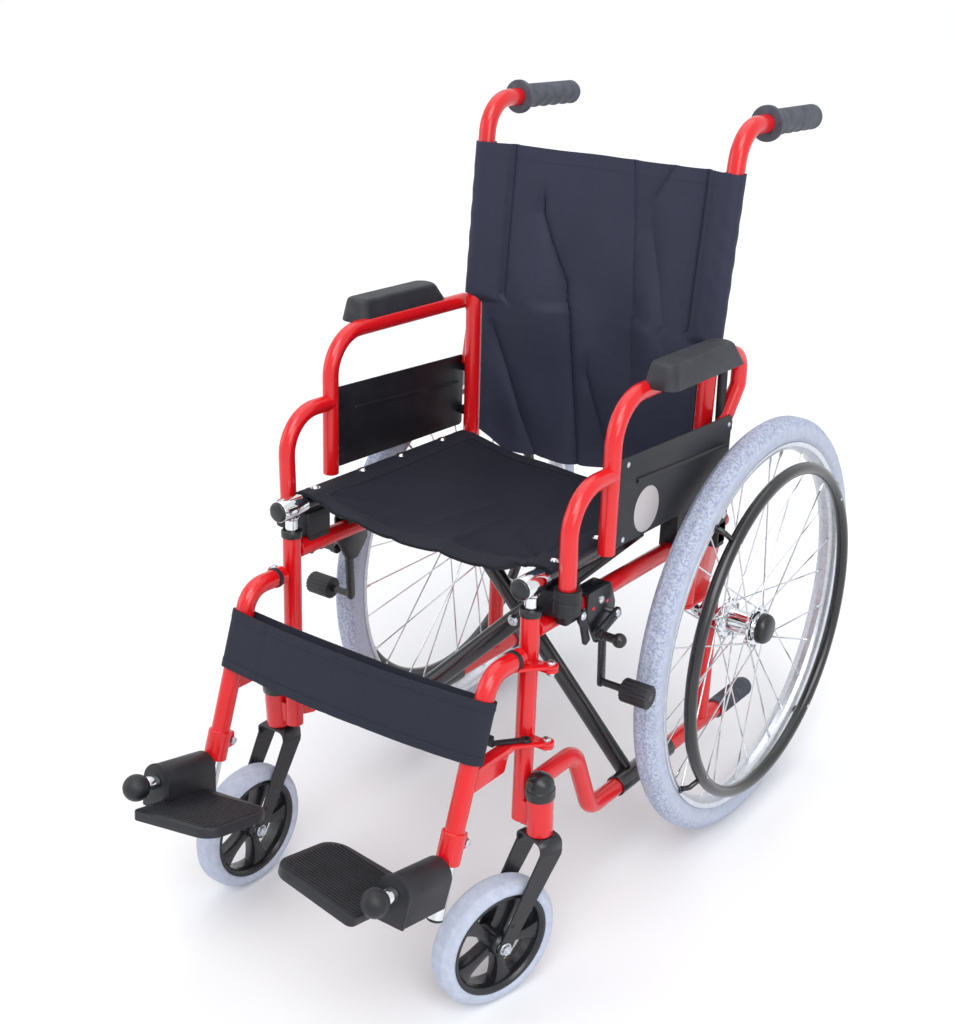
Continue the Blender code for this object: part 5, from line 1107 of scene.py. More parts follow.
def t_joints():
    """The chrome T-joints on the seat rails' front ends, with their guide stubs and black end caps."""
    for tag, side, word in SIDES:
        body = f"t_joint_{word}"
        sleeve = turned(
            [
                (0.011, 0.0406), (0.0126, 0.0406), (0.013, 0.04), (0.013, 0.0006), (0.0126, 0), (0, 0),
                (0, 0.004), (0.011, 0.0045),
            ],
            40, axes(
                at(side * HALF_WIDTH, -0.0226, SEAT_RAIL_T), (1, 0, 0), -FRAME_AXES[:3, 2],
                FRAME_AXES[:3, 1],
            ),
        )
        stub = upright_tube(UPRIGHT_TOP_T + 0.015 - 0.16, SEAT_RAIL_T - 0.004, 0.0076, side)
        fillet = turned(
            [
                (0.0, 0.0), (0.01, 0.0), (0.0096, -0.0016), (0.009, -0.003), (0.008, -0.004),
                (0.0, -0.004),
            ], 32,
            axes(at(side * HALF_WIDTH, 0, SEAT_RAIL_T - 0.011), *FRAME_AXES[:3, :3].T),
        )
        made = piece(f"t_joint_chrome_{tag}", [sleeve, stub, fillet], "chrome", body, "chrome")
        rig.replaces(made, f"t_joint_{tag}")
        cap = turned(
            [(0, 0.004), (0.009, 0.0036), (0.0114, 0.0024), (0.0122, 0.0008), (0.0122, 0), (0, 0)],
            36, along(at(side * HALF_WIDTH, -0.0226, SEAT_RAIL_T), at(side * HALF_WIDTH, -0.1, SEAT_RAIL_T)),
        )
        piece(f"t_joint_cap_{tag}", [cap], "gloss", body, "black_paint")


# Wheels


def wheel_axes(side):
    """The rear wheel's axes: z runs outward from the middle of the chair, and the origin is on the axle."""
    turn = Vector((side, 0, 0)).to_track_quat("Z", "Y").to_matrix().to_4x4()
    return np.array(frame_matrix() @ Matrix.Translation((0, AXLE_S, AXLE_T)) @ turn)


def polar(radius, angle, height):
    """Points of a wheel's own axes from a radius, an angle and a height out along the axle."""
    return np.stack(np.broadcast_arrays(radius * np.cos(angle), radius * np.sin(angle), height), axis=-1)


def ring_section(corners, radii, steps=5):
    """A closed section of (radius, height) corners with every corner rounded."""
    return loop_rounded(corners, radii, steps)


def rear_tyres():
    """The solid tyres: a crowned tread between shallow shoulders, a slight step, and a bead on the rim."""
    for tag, side, word in SIDES:
        half, base, top = 0.0172, 0.2493, REAR_RADIUS
        section = ring_section(
            [
                (base, half * 0.8), (
                    base + 0.005, half * 0.96
                ), (top - 0.014, half), (top - 0.0052, half * 0.8),
                (top, half * 0.42), (top, -half * 0.42), (top - 0.0052, -half * 0.8), (top - 0.014, -half),
                (base + 0.005, -half * 0.96), (base, -half * 0.8),
            ],
            [0.0015, 0.003, 0.008, 0.006, 0.006, 0.006, 0.006, 0.008, 0.003, 0.0015], 4,
        )
        rows = section + (0, REAR_X)
        made = piece(
            f"rear_tyre_solid_{tag}", [turned(rows, 144, wheel_axes(side), closed=True)], "tyre",
            f"rear_wheel_{word}", "grey_tyre", 50,
        )
        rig.replaces(made, f"rear_tyre_{tag}")


def rear_wheels():
    """The rear wheels: rim, hub, cap, and 28 spokes that cross, each with its nipple at the rim."""
    for tag, side, word in SIDES:
        body, place = f"rear_wheel_{word}", wheel_axes(side)
        rim = ring_section(
            [
                (0.249, 0.0145), (0.249, -0.0145), (0.2465, -0.0148), (0.242, -0.0138), (0.2385, -0.0085),
                (0.2362, -0.004), (0.2362, 0.004), (0.2385, 0.0085), (0.242, 0.0138), (0.2465, 0.0148),
            ],
            [0.0006, 0.0006, 0.001, 0.003, 0.004, 0.003, 0.003, 0.004, 0.003, 0.001], 4,
        )
        made = piece(
            f"rim_{tag}", [turned(rim + (0, REAR_X), 144, place, closed=True)], "rim", body,
            "bare_aluminium",
        )
        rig.replaces(made, f"rear_wheel_{tag}")
        piece(f"spokes_{tag}", spokes(place), "wire", body, "chrome")
        hub = [
            (
                0.0064, 0.1902,
            ), (0.014, 0.1902), (0.015, 0.1912), (0.015, 0.1985), (0.017, 0.1995), (0.017, 0.2002),
            (
                0.0285, 0.2004,
            ), (0.029, 0.2009), (0.029, 0.2031), (0.0285, 0.2036), (0.02, 0.204), (0.0165, 0.207),
            (
                0.0155, 0.212,
            ), (0.0155, 0.234), (0.0165, 0.239), (0.02, 0.242), (0.0285, 0.2424), (0.029, 0.2429),
            (
                0.029, 0.2451,
            ), (0.0285, 0.2456), (0.0185, 0.246), (0.0178, 0.249), (0.0178, 0.256), (0.0064, 0.256),
        ]
        piece(f"hub_{tag}", [turned(hub, 56, place, closed=True)], "chrome", body, "chrome", 30)
        cap = [
            (0.0, 0.2656), (
                0.011, 0.2652,
            ), (0.0158, 0.2636), (0.0188, 0.2608), (0.0202, 0.2572), (0.0205, 0.254),
            (0.0205, 0.2506), (0.0198, 0.25), (0.018, 0.25), (0.018, 0.2562), (0.0, 0.2562),
        ]
        piece(f"hub_cap_{tag}", [turned(cap, 56, place)], "gloss", body, "black_plastic")


def spokes(place):
    """Every spoke as a bent bar: a short run through the flange, then straight to its nipple in the rim."""
    made = []
    for index in range(28):
        lead = 1 - 2 * ((index // 2) % 2)
        outer = index % 2
        angle = 2 * pi * index / 28
        flange = (0.202, 0.244)[outer]
        side_of = lead * 0.0024
        hub_angle = angle + lead * 4 * pi / 14
        at_hub = polar(0.0262, hub_angle, flange + side_of)
        head = polar(0.0262, hub_angle, flange - side_of)
        at_rim = polar(0.238, angle, REAR_X + (outer - 0.5) * 0.007)
        nipple = at_rim + unit(at_hub - at_rim) * 0.013
        made.append(
            swept(
                moved(
                    [head, at_hub - (at_hub - head) * 0.2, at_hub + (at_rim - at_hub) * 0.012, at_rim],
                    place,
                ),
                0.0011, 8, (0.3, 0.2, 1),
            )
        )
        made.append(bar(moved(at_rim, place), moved(nipple, place), 0.0019, 8))
        made.append(bar(moved(head, place), moved(head - (at_hub - head) * 0.35, place), 0.0021, 8))
    return made


def handrims():
    """The push rings: a tube bent to a ring, on four clips whose feet are screwed to the rim."""
    for tag, side, word in SIDES:
        body, place = f"rear_wheel_{word}", wheel_axes(side)
        angle = np.linspace(0, 2 * pi, 20, endpoint=False)
        section = np.stack((0.2187 + 0.008 * np.cos(angle), 0.2665 + 0.008 * np.sin(angle)), axis=-1)
        surfaces, screws = [turned(section, 144, place, closed=True)], []
        for index in range(4):
            turn = radians(40) + index * pi / 2
            foot = polar(0.244, turn, 0.2486)
            middle = polar(0.238, turn, 0.258)
            end = polar(0.2225, turn, 0.266)
            surfaces.append(
                swept(
                    moved(rounded([foot, middle, end], [0, 0.006, 0], 6), place), 0.0034, 14,
                    (0.31, 0.2, 0.9),
                )
            )
            surfaces.append(
                bar(
                    moved(polar(0.244, turn, 0.248), place), moved(polar(0.244, turn, 0.2506), place),
                    0.0052, 20,
                )
            )
            cross = moved(polar(0.2205, turn, 0.2672), place)
            tip = moved(polar(0.215, turn, 0.2742), place)
            screws.append(bar(cross + (tip - cross) * 0.7, cross + (tip - cross) * 0.92, 0.003, 14))
        made = piece(f"push_ring_{tag}", surfaces, "black_paint", body, "black_paint", 45)
        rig.replaces(made, f"handrim_{tag}")
        piece(f"push_ring_screws_{tag}", screws, "zinc", body, "chrome")


def rear_axles():
    """The axle bolts: a shaft, a spacer collar outside the upright, and a washer and acorn nut inside it."""
    for tag, side, word in SIDES:
        place = axes(at(0, AXLE_S, AXLE_T), FRAME_AXES[:3, 1], FRAME_AXES[:3, 2] * side, (side, 0, 0))
        low = HALF_WIDTH - TUBE - CLEARANCE
        collar = turned(
            [
                (0.006, 0.1856), (0.0095, 0.1856), (0.01, 0.1861), (0.01, 0.189), (0.0095, 0.1896),
                (0.006, 0.1896),
            ],
            32, place, closed=True,
        )
        dome = turned(
            [
                (0, low - 0.0168), (0.0034, low - 0.0162), (0.0062, low - 0.014), (0.0078, low - 0.011),
                (0.0082, low - 0.0078), (0.0094, low - 0.0074), (0.0094, low - 0.002), (0, low - 0.002),
            ],
            32, place,
        )
        washer = turned(
            [(0.006, low - 0.0018), (0.0105, low - 0.0018), (0.0105, low), (0.006, low)], 32, place,
            closed=True,
        )
        centre = at(side * (low - 0.0018), AXLE_S, AXLE_T)
        nut = hex_nut(centre, at(side * (low - 0.008), AXLE_S, AXLE_T), 0.0178)
        shaft = bar(at(side * (low - 0.002), AXLE_S, AXLE_T), at(side * 0.257, AXLE_S, AXLE_T), 0.0059)
        made = piece(
            f"axle_bolt_{tag}", [collar, dome, washer, nut, shaft], "chrome", f"frame_{word}", "chrome",
        )
        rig.replaces(made, f"rear_axle_{tag}")


# Casters


def caster_axes(tag, side):
    """The caster's own axes: the origin on the floor under the stem, x along the axle, -y towards the
    trailing wheel."""
    heading = Matrix.Rotation(CASTER_HEADINGS[tag], 4, "Z")
    return np.array(Matrix.Translation((side * CASTER_X, CASTER_Y, 0)) @ heading)


def caster_outward(tag, side):
    """The caster wheel's axes: z out along the axle, the origin at the wheel's middle."""
    place = caster_axes(tag, side)
    hub = np.array(Vector((1, 0, 0)).to_track_quat("Z", "Y").to_matrix().to_4x4())
    hub[:3, 3] = (0, -CASTER_TRAIL, CASTER_RADIUS)
    return place @ hub


def caster_wheels():
    """The casters' tyres, and their moulded hubs with five spokes that widen towards the rim."""
    for tag, side, word in SIDES:
        body, place = f"caster_wheel_{word}", caster_outward(tag, side)
        half, base, top = 0.017, 0.0643, CASTER_RADIUS
        section = ring_section(
            [
                (base, half * 0.9), (base + 0.003, half), (top - 0.0062, half * 0.98), (top, half * 0.55),
                (top, -half * 0.55), (
                    top - 0.0062, -half * 0.98
                ), (base + 0.003, -half), (base, -half * 0.9),
            ],
            [0.0008, 0.002, 0.006, 0.006, 0.006, 0.006, 0.002, 0.0008], 5,
        )
        made = piece(
            f"caster_tyre_solid_{tag}", [turned(section, 96, place, closed=True)], "tyre", body,
            "grey_tyre", 50,
        )
        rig.replaces(made, f"caster_tyre_{tag}")
        ring = ring_section(
            [
                (0.064, 0.0153), (0.064, -0.0153), (0.06, -0.0153), (0.057, -0.012), (0.0556, -0.005),
                (0.0556, 0.005), (0.057, 0.012), (0.06, 0.0153),
            ],
            [0.0005, 0.0005, 0.002, 0.004, 0.004, 0.004, 0.004, 0.002], 4,
        )
        surfaces = [turned(ring, 96, place, closed=True)]
        barrel = [
            (0.0048, 0.019), (0.0105, 0.019), (0.0112, 0.0184), (0.013, 0.015), (0.014, 0.012), (
                0.014, -0.012,
            ),
            (0.013, -0.015), (0.0112, -0.0184), (0.0105, -0.019), (0.0048, -0.019),
        ]
        surfaces.append(turned(barrel, 48, place, closed=True))
        flat = caster_spoke_outline()
        for index in range(5):
            turn = np.array(Matrix.Rotation(first_caster_spoke() + 2 * pi * index / 5, 4, "Z"))
            surfaces.append(slab(flat, -0.0092, 0.0092, place @ turn, 0.0024))
        made = piece(f"caster_hub_{tag}", surfaces, "gloss", body, "black_plastic")
        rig.replaces(made, f"caster_wheel_{tag}")
        piece(f"caster_bearings_{tag}", caster_bearings(place), "zinc", body, "chrome")


def first_caster_spoke():
    """The angle of the first spoke, as the packed wheel has it: one flat of its tyre down on the floor."""
    hub = Vector((1, 0, 0)).to_track_quat("Z", "Y").to_matrix()
    down = hub.inverted() @ Vector((0, 0, -1))
    return atan2(down.y, down.x) + pi / 24


def caster_spoke_outline():
    """One spoke from the barrel out to the ring: its half width is .0052 plus .0085 times the square of
    the way out."""
    way = np.linspace(0, 1, 14)
    reach = 0.012 + 0.0452 * way
    half = 0.0054 + 0.0088 * way**3
    return np.concatenate((np.column_stack((reach, -half)), np.column_stack((reach, half))[::-1]))


def caster_bearings(place):
    """The bearing rings that show at both ends of the barrel."""
    return [
        turned(
            [
                (0.0048, sign * 0.0196), (0.0084, sign * 0.0196), (0.0086, sign * 0.0192),
                (0.0086, sign * 0.0184), (0.0048, sign * 0.0184)
            ],
            32, place, closed=True,
        )
        for sign in (-1, 1)
    ]


def caster_forks():
    """The pressed forks: a crown plate that bends down over rounded shoulders into two slanting legs."""
    for tag, side, word in SIDES:
        body, place = f"caster_fork_{word}", caster_axes(tag, side)
        made = piece(f"caster_fork_pressed_{tag}", [fork_sheet(place)], "gloss", body, "black_paint", 45)
        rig.replaces(made, f"caster_fork_{tag}")
        ends = []
        for sign in (-1, 1):
            outer = sign * 0.023
            centre = moved((outer, -CASTER_TRAIL, CASTER_RADIUS), place)
            washer_end = moved((outer + sign * 0.001, -CASTER_TRAIL, CASTER_RADIUS), place)
            tip = moved((outer + sign * 0.0042, -CASTER_TRAIL, CASTER_RADIUS), place)
            ends.append(bar(centre, washer_end, 0.0078, 28))
            ends.append(hex_nut(washer_end, tip, 0.0115))
            ends.append(
                bar(tip, moved((outer + sign * 0.005, -CASTER_TRAIL, CASTER_RADIUS), place), 0.0034, 16)
            )
        ends.append(
            bar(
                moved((-0.0228, -CASTER_TRAIL, CASTER_RADIUS), place),
                moved((0.0228, -CASTER_TRAIL, CASTER_RADIUS), place), 0.0039,
            )
        )
        ends.append(bar(moved((0, 0, 0.1975), place), moved((0, 0, HOUSING_TOP + 0.004), place), 0.0058))
        piece(f"caster_bolts_{tag}", ends, "zinc", body, "chrome")
        # Painted shade: a thin near-black disc on each leg's outer face stands in for the shade seen in the leg's hole
        hole_shade_discs = [
            bar(
                moved((sign * 0.02285, -0.056, 0.107), place),
                moved((sign * 0.02315, -0.056, 0.107), place), 0.003, 18, 0.0001,
            )
            for sign in (-1, 1)
        ]
        piece(f"caster_fork_hole_shades_{tag}", hole_shade_discs, "hole_shade", body, "black_paint")


def fork_sheet(place):
    """The fork's sheet as a strip carried over the crown and down both legs.

    Each row lies across the strip, from its front edge to its rear one. A row's height and x follow the
    bent section, and its edges follow the leg's slanted outline; the strip is closed with its own thickness.
    """
    top = HOUSING_BOTTOM - CLEARANCE
    section = rounded(
        [(0.023, 0.069), (0.023, top), (-0.023, top), (-0.023, 0.069)], [0, 0.009, 0.009, 0], 8
    )
    spread = np.linspace(0, 1, 26)[:, None]
    leg = section[0] + (section[1] - section[0]) * spread[:-1]
    other = (leg * (-1, 1))[::-1]
    section = np.concatenate((leg, section[1:-1], other))
    direction = unit(np.gradient(section, axis=0))
    normal = np.column_stack((-direction[:, 1], direction[:, 0]))
    normal *= np.sign(np.sum(normal * (section - (0, 0.15)), axis=1, keepdims=True))
    height = np.clip(section[:, 1], 0.0687, top)
    front, rear = fork_edges(height, top)
    rows = []
    for inset, depth in ((0.0008, 0.0), (0.0, 0.0008), (0.0, 0.0022), (0.0008, 0.003)):
        flat = section - normal * depth
        rows.append(np.column_stack((flat[:, 0], front + inset, flat[:, 1])))
    for inset, depth in ((0.0008, 0.003), (0.0, 0.0022), (0.0, 0.0008), (0.0008, 0.0)):
        flat = section - normal * depth
        rows.append(np.column_stack((flat[:, 0], rear - inset, flat[:, 1])))
    points = np.stack(rows, axis=1)
    count, columns = points.shape[:2]
    caps = [list(range(columns)), list(range((count - 1) * columns, count * columns))]
    return moved(points.reshape(-1, 3), place), grid_faces(count, columns, close_columns=True) + caps


def fork_edges(height, top):
    """The leg's front and rear edges at each height: straight, slanted, and rounded round the axle at the
    foot."""
    axle, radius = (-CASTER_TRAIL, CASTER_RADIUS), 0.011
    share = np.clip((top - 0.014 - height) / (top - 0.014 - axle[1]), 0, 1)
    front = -0.0162 + (axle[0] - radius + 0.0162) * share
    rear = 0.015 + (axle[0] + radius - 0.015) * np.clip(
        (top - 0.022 - height) / (top - 0.022 - axle[1]), 0, 1,
    )
    below = np.clip((axle[1] - height) / radius, 0, 1)
    half = radius * np.sqrt(np.clip(1 - below**2, 0.0, 1))
    front = np.where(height < axle[1], axle[0] - half, front)
    rear = np.where(height < axle[1], axle[0] + half, rear)
    return front, rear


# Armrests


def armrests():
    """The armrests' red tubes, and their black rear posts with the tabs that carry the skirt guard."""
    for tag, side, word in SIDES:
        body = f"armrest_{word}"
        main = rounded(
            [
                (ARM_X, 0.103, 0.362), (ARM_X, 0.103, ARM_TOP_T), (ARM_X, 0.394, ARM_TOP_T),
                (ARM_X, 0.395, 0.4965), (ARM_X - 0.007, 0.377, 0.45),
            ],
            [0, 0.0525, 0.024, 0.012, 0], 14,
        )
        leg = rounded(
            [(ARM_X, 0.0265, 0.327), (ARM_X, 0.022, 0.455), (ARM_X, 0.103, 0.455)], [0, 0.05, 0], 14,
        )
        surfaces = [swept(sided(main, side), 0.01, 28), swept(sided(leg, side), 0.01, 28)]
        made = piece(f"armrest_red_{tag}", surfaces, "red", body, "red_paint")
        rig.replaces(made, f"armrest_frame_{tag}")
        low, high = at(side * 0.1945, 0.378, 0.3375), at(side * 0.1905, 0.374, 0.53)
        eye = [at(side * x, ARM_PIVOT_S, ARM_PIVOT_T) for x in (0.1925, 0.2025)]
        sleeve = [bar(low, high, 0.006, 24), bar(*eye, 0.0085, 28)]
        for t in (0.384, 0.446):
            for x, low_s, high_s in ((0.1985, 0.374, 0.386), (ARM_X + 0.004, 0.11, 0.13)):
                near, far = (side * x, low_s, t - 0.006), (side * 0.2046, high_s, t + 0.006)
                sleeve.append(block(near, far, corner=0.0004, edge=0.0003))
        piece(f"armrest_post_{tag}", sleeve, "nylon", body, "black_plastic")


def pad_ring(rise, inset):
    """One level of a pad: a rectangle with round corners in plan, drawn in with its height and by an
    inset."""
    low_x, high_x = 0.197 + inset + 0.0055 * rise, 0.2405 - inset - 0.0055 * rise
    low_s, high_s = 0.159 + inset + 0.004 * rise, 0.338 - inset - 0.022 * rise
    radius = min(0.0145 - inset * 0.5, (high_x - low_x) / 2 - 0.0005)
    turn = np.linspace(0, pi / 2, 12)
    ring = []
    for quarter, (x, s) in enumerate(((high_x, high_s), (low_x, high_s), (low_x, low_s), (high_x, low_s))):
        centre_x = x - radius * (1 if quarter in (0, 3) else -1)
        centre_s = s - radius * (1 if quarter < 2 else -1)
        angle = turn + quarter * pi / 2
        ring.append(np.column_stack((centre_x + radius * np.cos(angle), centre_s + radius * np.sin(angle))))
    return np.concatenate(ring)


def armrest_pads():
    """The arm pads: moulded foam, wider below than above, with its rear end raked and its upper edge rounded.

    Each level is a rectangle with round corners. Going up by w from 0 to 1 its sides come in by 5.5 w mm,
    its front by 4 mm and its rear by 22 mm, and the last 4.5 mm follow a quarter circle inward.
    """
    height = PAD_TOP_T - PAD_BOTTOM_T
    edge = 0.0045
    quarter = np.linspace(0, pi / 2, 9)
    levels = [(0.0, 0.0012), (0.0012, 0.0), (0.5 * (height - edge), 0.0)]
    levels += [(height - edge + edge * np.sin(turn), edge * (1 - np.cos(turn))) for turn in quarter]
    levels += [(height + 0.0003, edge + 0.004)]
    for tag, side, word in SIDES:
        rows = []
        for rise, inset in levels:
            ring = pad_ring(min(rise / height, 1.0), inset)
            rows.append(
                np.column_stack((side * ring[:, 0], ring[:, 1], np.full(len(ring), PAD_BOTTOM_T + rise)))
            )
        count = len(rows[0])
        caps = [list(range(count)), list(range((len(rows) - 1) * count, len(rows) * count))]
        surface = (at(np.concatenate(rows)), grid_faces(len(rows), count, close_columns=True) + caps)
        made = piece(f"arm_pad_{tag}", [surface], "pad", f"armrest_{word}", "dark_rubber", 50)
        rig.replaces(made, f"armrest_pad_{tag}")
        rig.padded(made, 1.0)


def skirt_guards():
    """The skirt guards: a thin panel with a rolled ridge along its top, rivets, and a blank round badge."""
    for tag, side, word in SIDES:
        body = f"armrest_{word}"
        panel = side_sheet(
            [
                (0.1155, 0.366), (0.379, 0.362), (0.379, 0.462), (0.1155, 0.47),
            ], 0.002, side, GUARD_X, 0.0005, 6, 0.006
        )
        x = side * (GUARD_X + 0.001)
        ridge = bar(at(x, 0.152, 0.4365), at(x, 0.369, 0.4245), 0.0032, 20)
        made = piece(f"guard_panel_{tag}", [panel, ridge], "nylon", body, "black_plastic")
        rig.replaces(made, f"skirt_guard_{tag}")
        rivets = [
            turned(
                [(0, 0.0014), (0.0019, 0.0012), (0.0033, 0.0004), (0.0034, 0), (0, 0)], 22,
                outward(side, GUARD_X + 0.001, s, t),
            )
            for s, t in ((0.131, 0.4605), (0.13, 0.372), (0.372, 0.45), (0.372, 0.372))
        ]
        piece(f"guard_rivets_{tag}", rivets, "zinc", body, "chrome")
        disc = [(0, 0.0009), (0.0262, 0.0009), (0.0271, 0.0006), (0.0275, 0), (0, 0)]
        badge = turned(disc, 64, outward(side, GUARD_X + 0.001, 0.179, 0.3955))
        piece(f"guard_badge_{tag}", [badge], "badge", body, "bare_aluminium")


def armrest_clamps():
    """The clamps on the upper rails: a socket collar for the front leg, a folded body, and the hanging
    latch."""
    for tag, side, word in SIDES:
        collar = turned(
            [
                (0.0104, 0.029), (0.015, 0.029), (
                    0.0155, 0.0284,
                ), (0.0155, 0.0172), (0.0149, 0.0166), (0.0149, 0.015),
                (0.0155, 0.0144), (0.0155, 0.0006), (0.015, 0), (0.0, 0), (0, 0.004), (0.0104, 0.004),
            ],
            40, axes(at(side * ARM_X, 0.0265, 0.317), *FRAME_AXES[:3, :3].T),
        )
        body = block(
            (side * 0.1656, 0.0195, 0.3105), (side * 0.1985, 0.061, 0.3405), corner=0.003, edge=0.0012,
        )
        jaw = block(
            (side * 0.1656, 0.0225, 0.3), (side * 0.169, 0.058, 0.311), corner=0.001, edge=0.0006,
        )
        cheek = block(
            (side * 0.1858, 0.03, 0.2985), (side * 0.201, 0.064, 0.324), corner=0.003, edge=0.0012,
        )
        made = piece(
            f"armrest_clamp_body_{tag}", [collar, body, jaw, cheek], "nylon", f"frame_{word}",
            "black_plastic",
        )
        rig.replaces(made, f"armrest_clamp_{tag}")
        bolt = [
            turned(
                [(0, 0.0022), (0.0034, 0.0019), (0.005, 0.0004), (0.005, 0), (0, 0)], 24,
                outward(side, 0.2066, LATCH_S, LATCH_T),
            ),
            bar(at(side * 0.198, LATCH_S, LATCH_T), at(side * 0.207, LATCH_S, LATCH_T), 0.0029, 18),
        ]
        piece(f"armrest_clamp_bolt_{tag}", bolt, "zinc", f"frame_{word}", "chrome")
        lever = side_sheet(
            [
                (0.05, 0.31), (0.062, 0.31), (0.064, 0.296), (0.0755, 0.268), (0.065, 0.2635),
                (0.056, 0.29), (0.05, 0.298),
            ],
            0.0046, side, LATCH_X, 0.0009, 6, 0.003,
        )
        made = piece(f"armrest_latch_lever_{tag}", [lever], "nylon", f"armrest_latch_{word}", "black_plastic")
        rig.replaces(made, f"armrest_latch_{tag}")


# Brakes


def flat_link(side, start, end, width, low_x, high_x):
    """A flat link with round ends between two (s, t) points, from low_x to high_x."""
    start, end = np.array(start), np.array(end)
    direction = unit(end - start)
    across = np.array((-direction[1], direction[0]))
    turn = np.linspace(0, pi, 15)[:, None]
    arcs = [
        centre + width / 2 * sign * (
            np.cos(turn) * across + np.sin(turn) * direction
        ) for centre, sign in ((start, -1), (end, 1))
    ]
    return side_sheet(np.concatenate(arcs), high_x - low_x, side, (low_x + high_x) / 2, 0.0006, corner=0)


def brakes():
    """The brakes: a folded plate over the rail, the lever with its ball knob, and the arm with its ribbed
    roller."""
    for tag, side, word in SIDES:
        frame_body = f"frame_{word}"
        plate = side_sheet(
            [
                (0.0931, 0.3125), (0.1421, 0.3125), (0.1541, 0.2842), (0.1541, 0.2652), (0.135, 0.243),
                (0.116, 0.243), (0.0931, 0.281),
            ],
            0.004, side, 0.1874, 0.0008, 6, 0.005,
        )
        hook = block(
            (side * 0.166, 0.0951, 0.3086), (side * 0.1886, 0.1401, 0.3124), corner=0.002, edge=0.001,
        )
        rear_lip = block(
            (side * 0.166, 0.0951, 0.299), (side * 0.169, 0.1401, 0.31), corner=0.001, edge=0.0006,
        )
        made = piece(f"brake_plate_{tag}", [plate, hook, rear_lip], "gloss", frame_body, "black_paint")
        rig.replaces(made, f"brake_bracket_{tag}")
        bolts = [
            turned(
                [(0, 0.0034), (0.003, 0.0032), (0.0048, 0.0018), (0.0052, 0), (0, 0)], 26,
                outward(side, 0.1894, BRAKE_S, 0.297),
            ),
            bar(at(side * 0.188, LEVER_S, LEVER_T), at(side * 0.201, LEVER_S, LEVER_T), 0.0038, 20),
            turned(
                [(0, 0.0028), (0.003, 0.0026), (0.0052, 0.0012), (0.0056, 0), (0, 0)], 26,
                outward(side, 0.1995, LEVER_S, LEVER_T),
            ),
            bar(
                at(side * 0.188, BRAKE_ARM_S, BRAKE_ARM_T), at(side * 0.1943, BRAKE_ARM_S, BRAKE_ARM_T),
                0.0029, 18,
            ),
        ]
        piece(f"brake_bolts_{tag}", bolts, "zinc", frame_body, "chrome")
        slots = [
            side_sheet(
                [(s - 0.003, 0.2885), (s + 0.003, 0.2885), (s + 0.003, 0.2925), (s - 0.003, 0.2925)],
                0.0005, side, 0.18945, 0.0001, 4, 0.0015,
            )
            for s in (0.106, 0.135)
        ]
        piece(f"brake_slots_{tag}", slots, "red", frame_body, "red_paint")
        lever = [flat_link(side, (LEVER_S, LEVER_T), (KNOB_S, KNOB_T), 0.014, 0.1951, 0.1991)]
        lever.append(
            bar(at(side * 0.1975, KNOB_S, KNOB_T), at(side * (KNOB_X - 0.005), KNOB_S, KNOB_T), 0.0052, 24)
        )
        lever.append(bar(at(side * 0.199, KNOB_S, KNOB_T), at(side * 0.204, KNOB_S, KNOB_T), 0.0066, 24))
        lever.append(ball(at(side * KNOB_X, KNOB_S, KNOB_T), 0.0086))
        made = piece(f"brake_lever_knob_{tag}", lever, "gloss", f"brake_lever_{word}", "black_plastic")
        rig.replaces(made, f"brake_lever_{tag}")
        arm = [flat_link(side, (BRAKE_ARM_S, BRAKE_ARM_T), (ROLLER_S, ROLLER_T), 0.013, 0.1901, 0.1941)]
        arm.append(
            bar(at(side * 0.1925, ROLLER_S, ROLLER_T), at(side * 0.259, ROLLER_S, ROLLER_T), 0.0045, 24)
        )
        made = piece(f"brake_arm_rod_{tag}", arm, "gloss", f"brake_arm_{word}", "black_paint")
        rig.replaces(made, f"brake_arm_{tag}")
        piece(f"brake_roller_{tag}", [roller(side)], "nylon", f"brake_arm_{word}", "black_plastic")


def roller(side):
    """The roller: a cylinder with ribs along it, its radius falling by a squared cosine of the turn."""
    angle = np.linspace(0, 2 * pi, 144, endpoint=False)
    radius = 0.0145 - 0.001 * np.cos(9 * angle) ** 2
    outline = radius[:, None] * np.stack((np.cos(angle), np.sin(angle)), axis=-1)
    return slab(outline, 0, 0.035, outward(side, ROLLER_X, ROLLER_S, ROLLER_T), edge=0.0012)


# Footrests


def hanger_place(side, t):
    """A point of the hanger's straight run, as (x, s, t)."""
    return np.array((side * HALF_WIDTH, HANGER_FRONT_S - (HANGER_TOP_T - t) * HANGER_LEAN, t))


def foot_matrix(side):
    """The footplate's axes: x inward, y forward along its pivot rod, z up."""
    forward = FRAME_AXES[:3, :3] @ np.array((0, -cos(FOOT_AXIS_RISE), sin(FOOT_AXIS_RISE)))
    up = FRAME_AXES[:3, :3] @ np.array((0, sin(FOOT_AXIS_RISE), cos(FOOT_AXIS_RISE)))
    return axes(at(hanger_place(side, FOOT_AXIS_T)), (-side, 0, 0), forward, up)


def level_bar(start, end, width):
    """A flat bar between two (x, s, t) points at one level, with rounded ends."""
    start, end = np.array(start, float)[:2], np.array(end, float)[:2]
    direction = unit(end - start)
    across = np.array((-direction[1], direction[0])) * width / 2
    return [start - across, end - across, end + across, start + across]


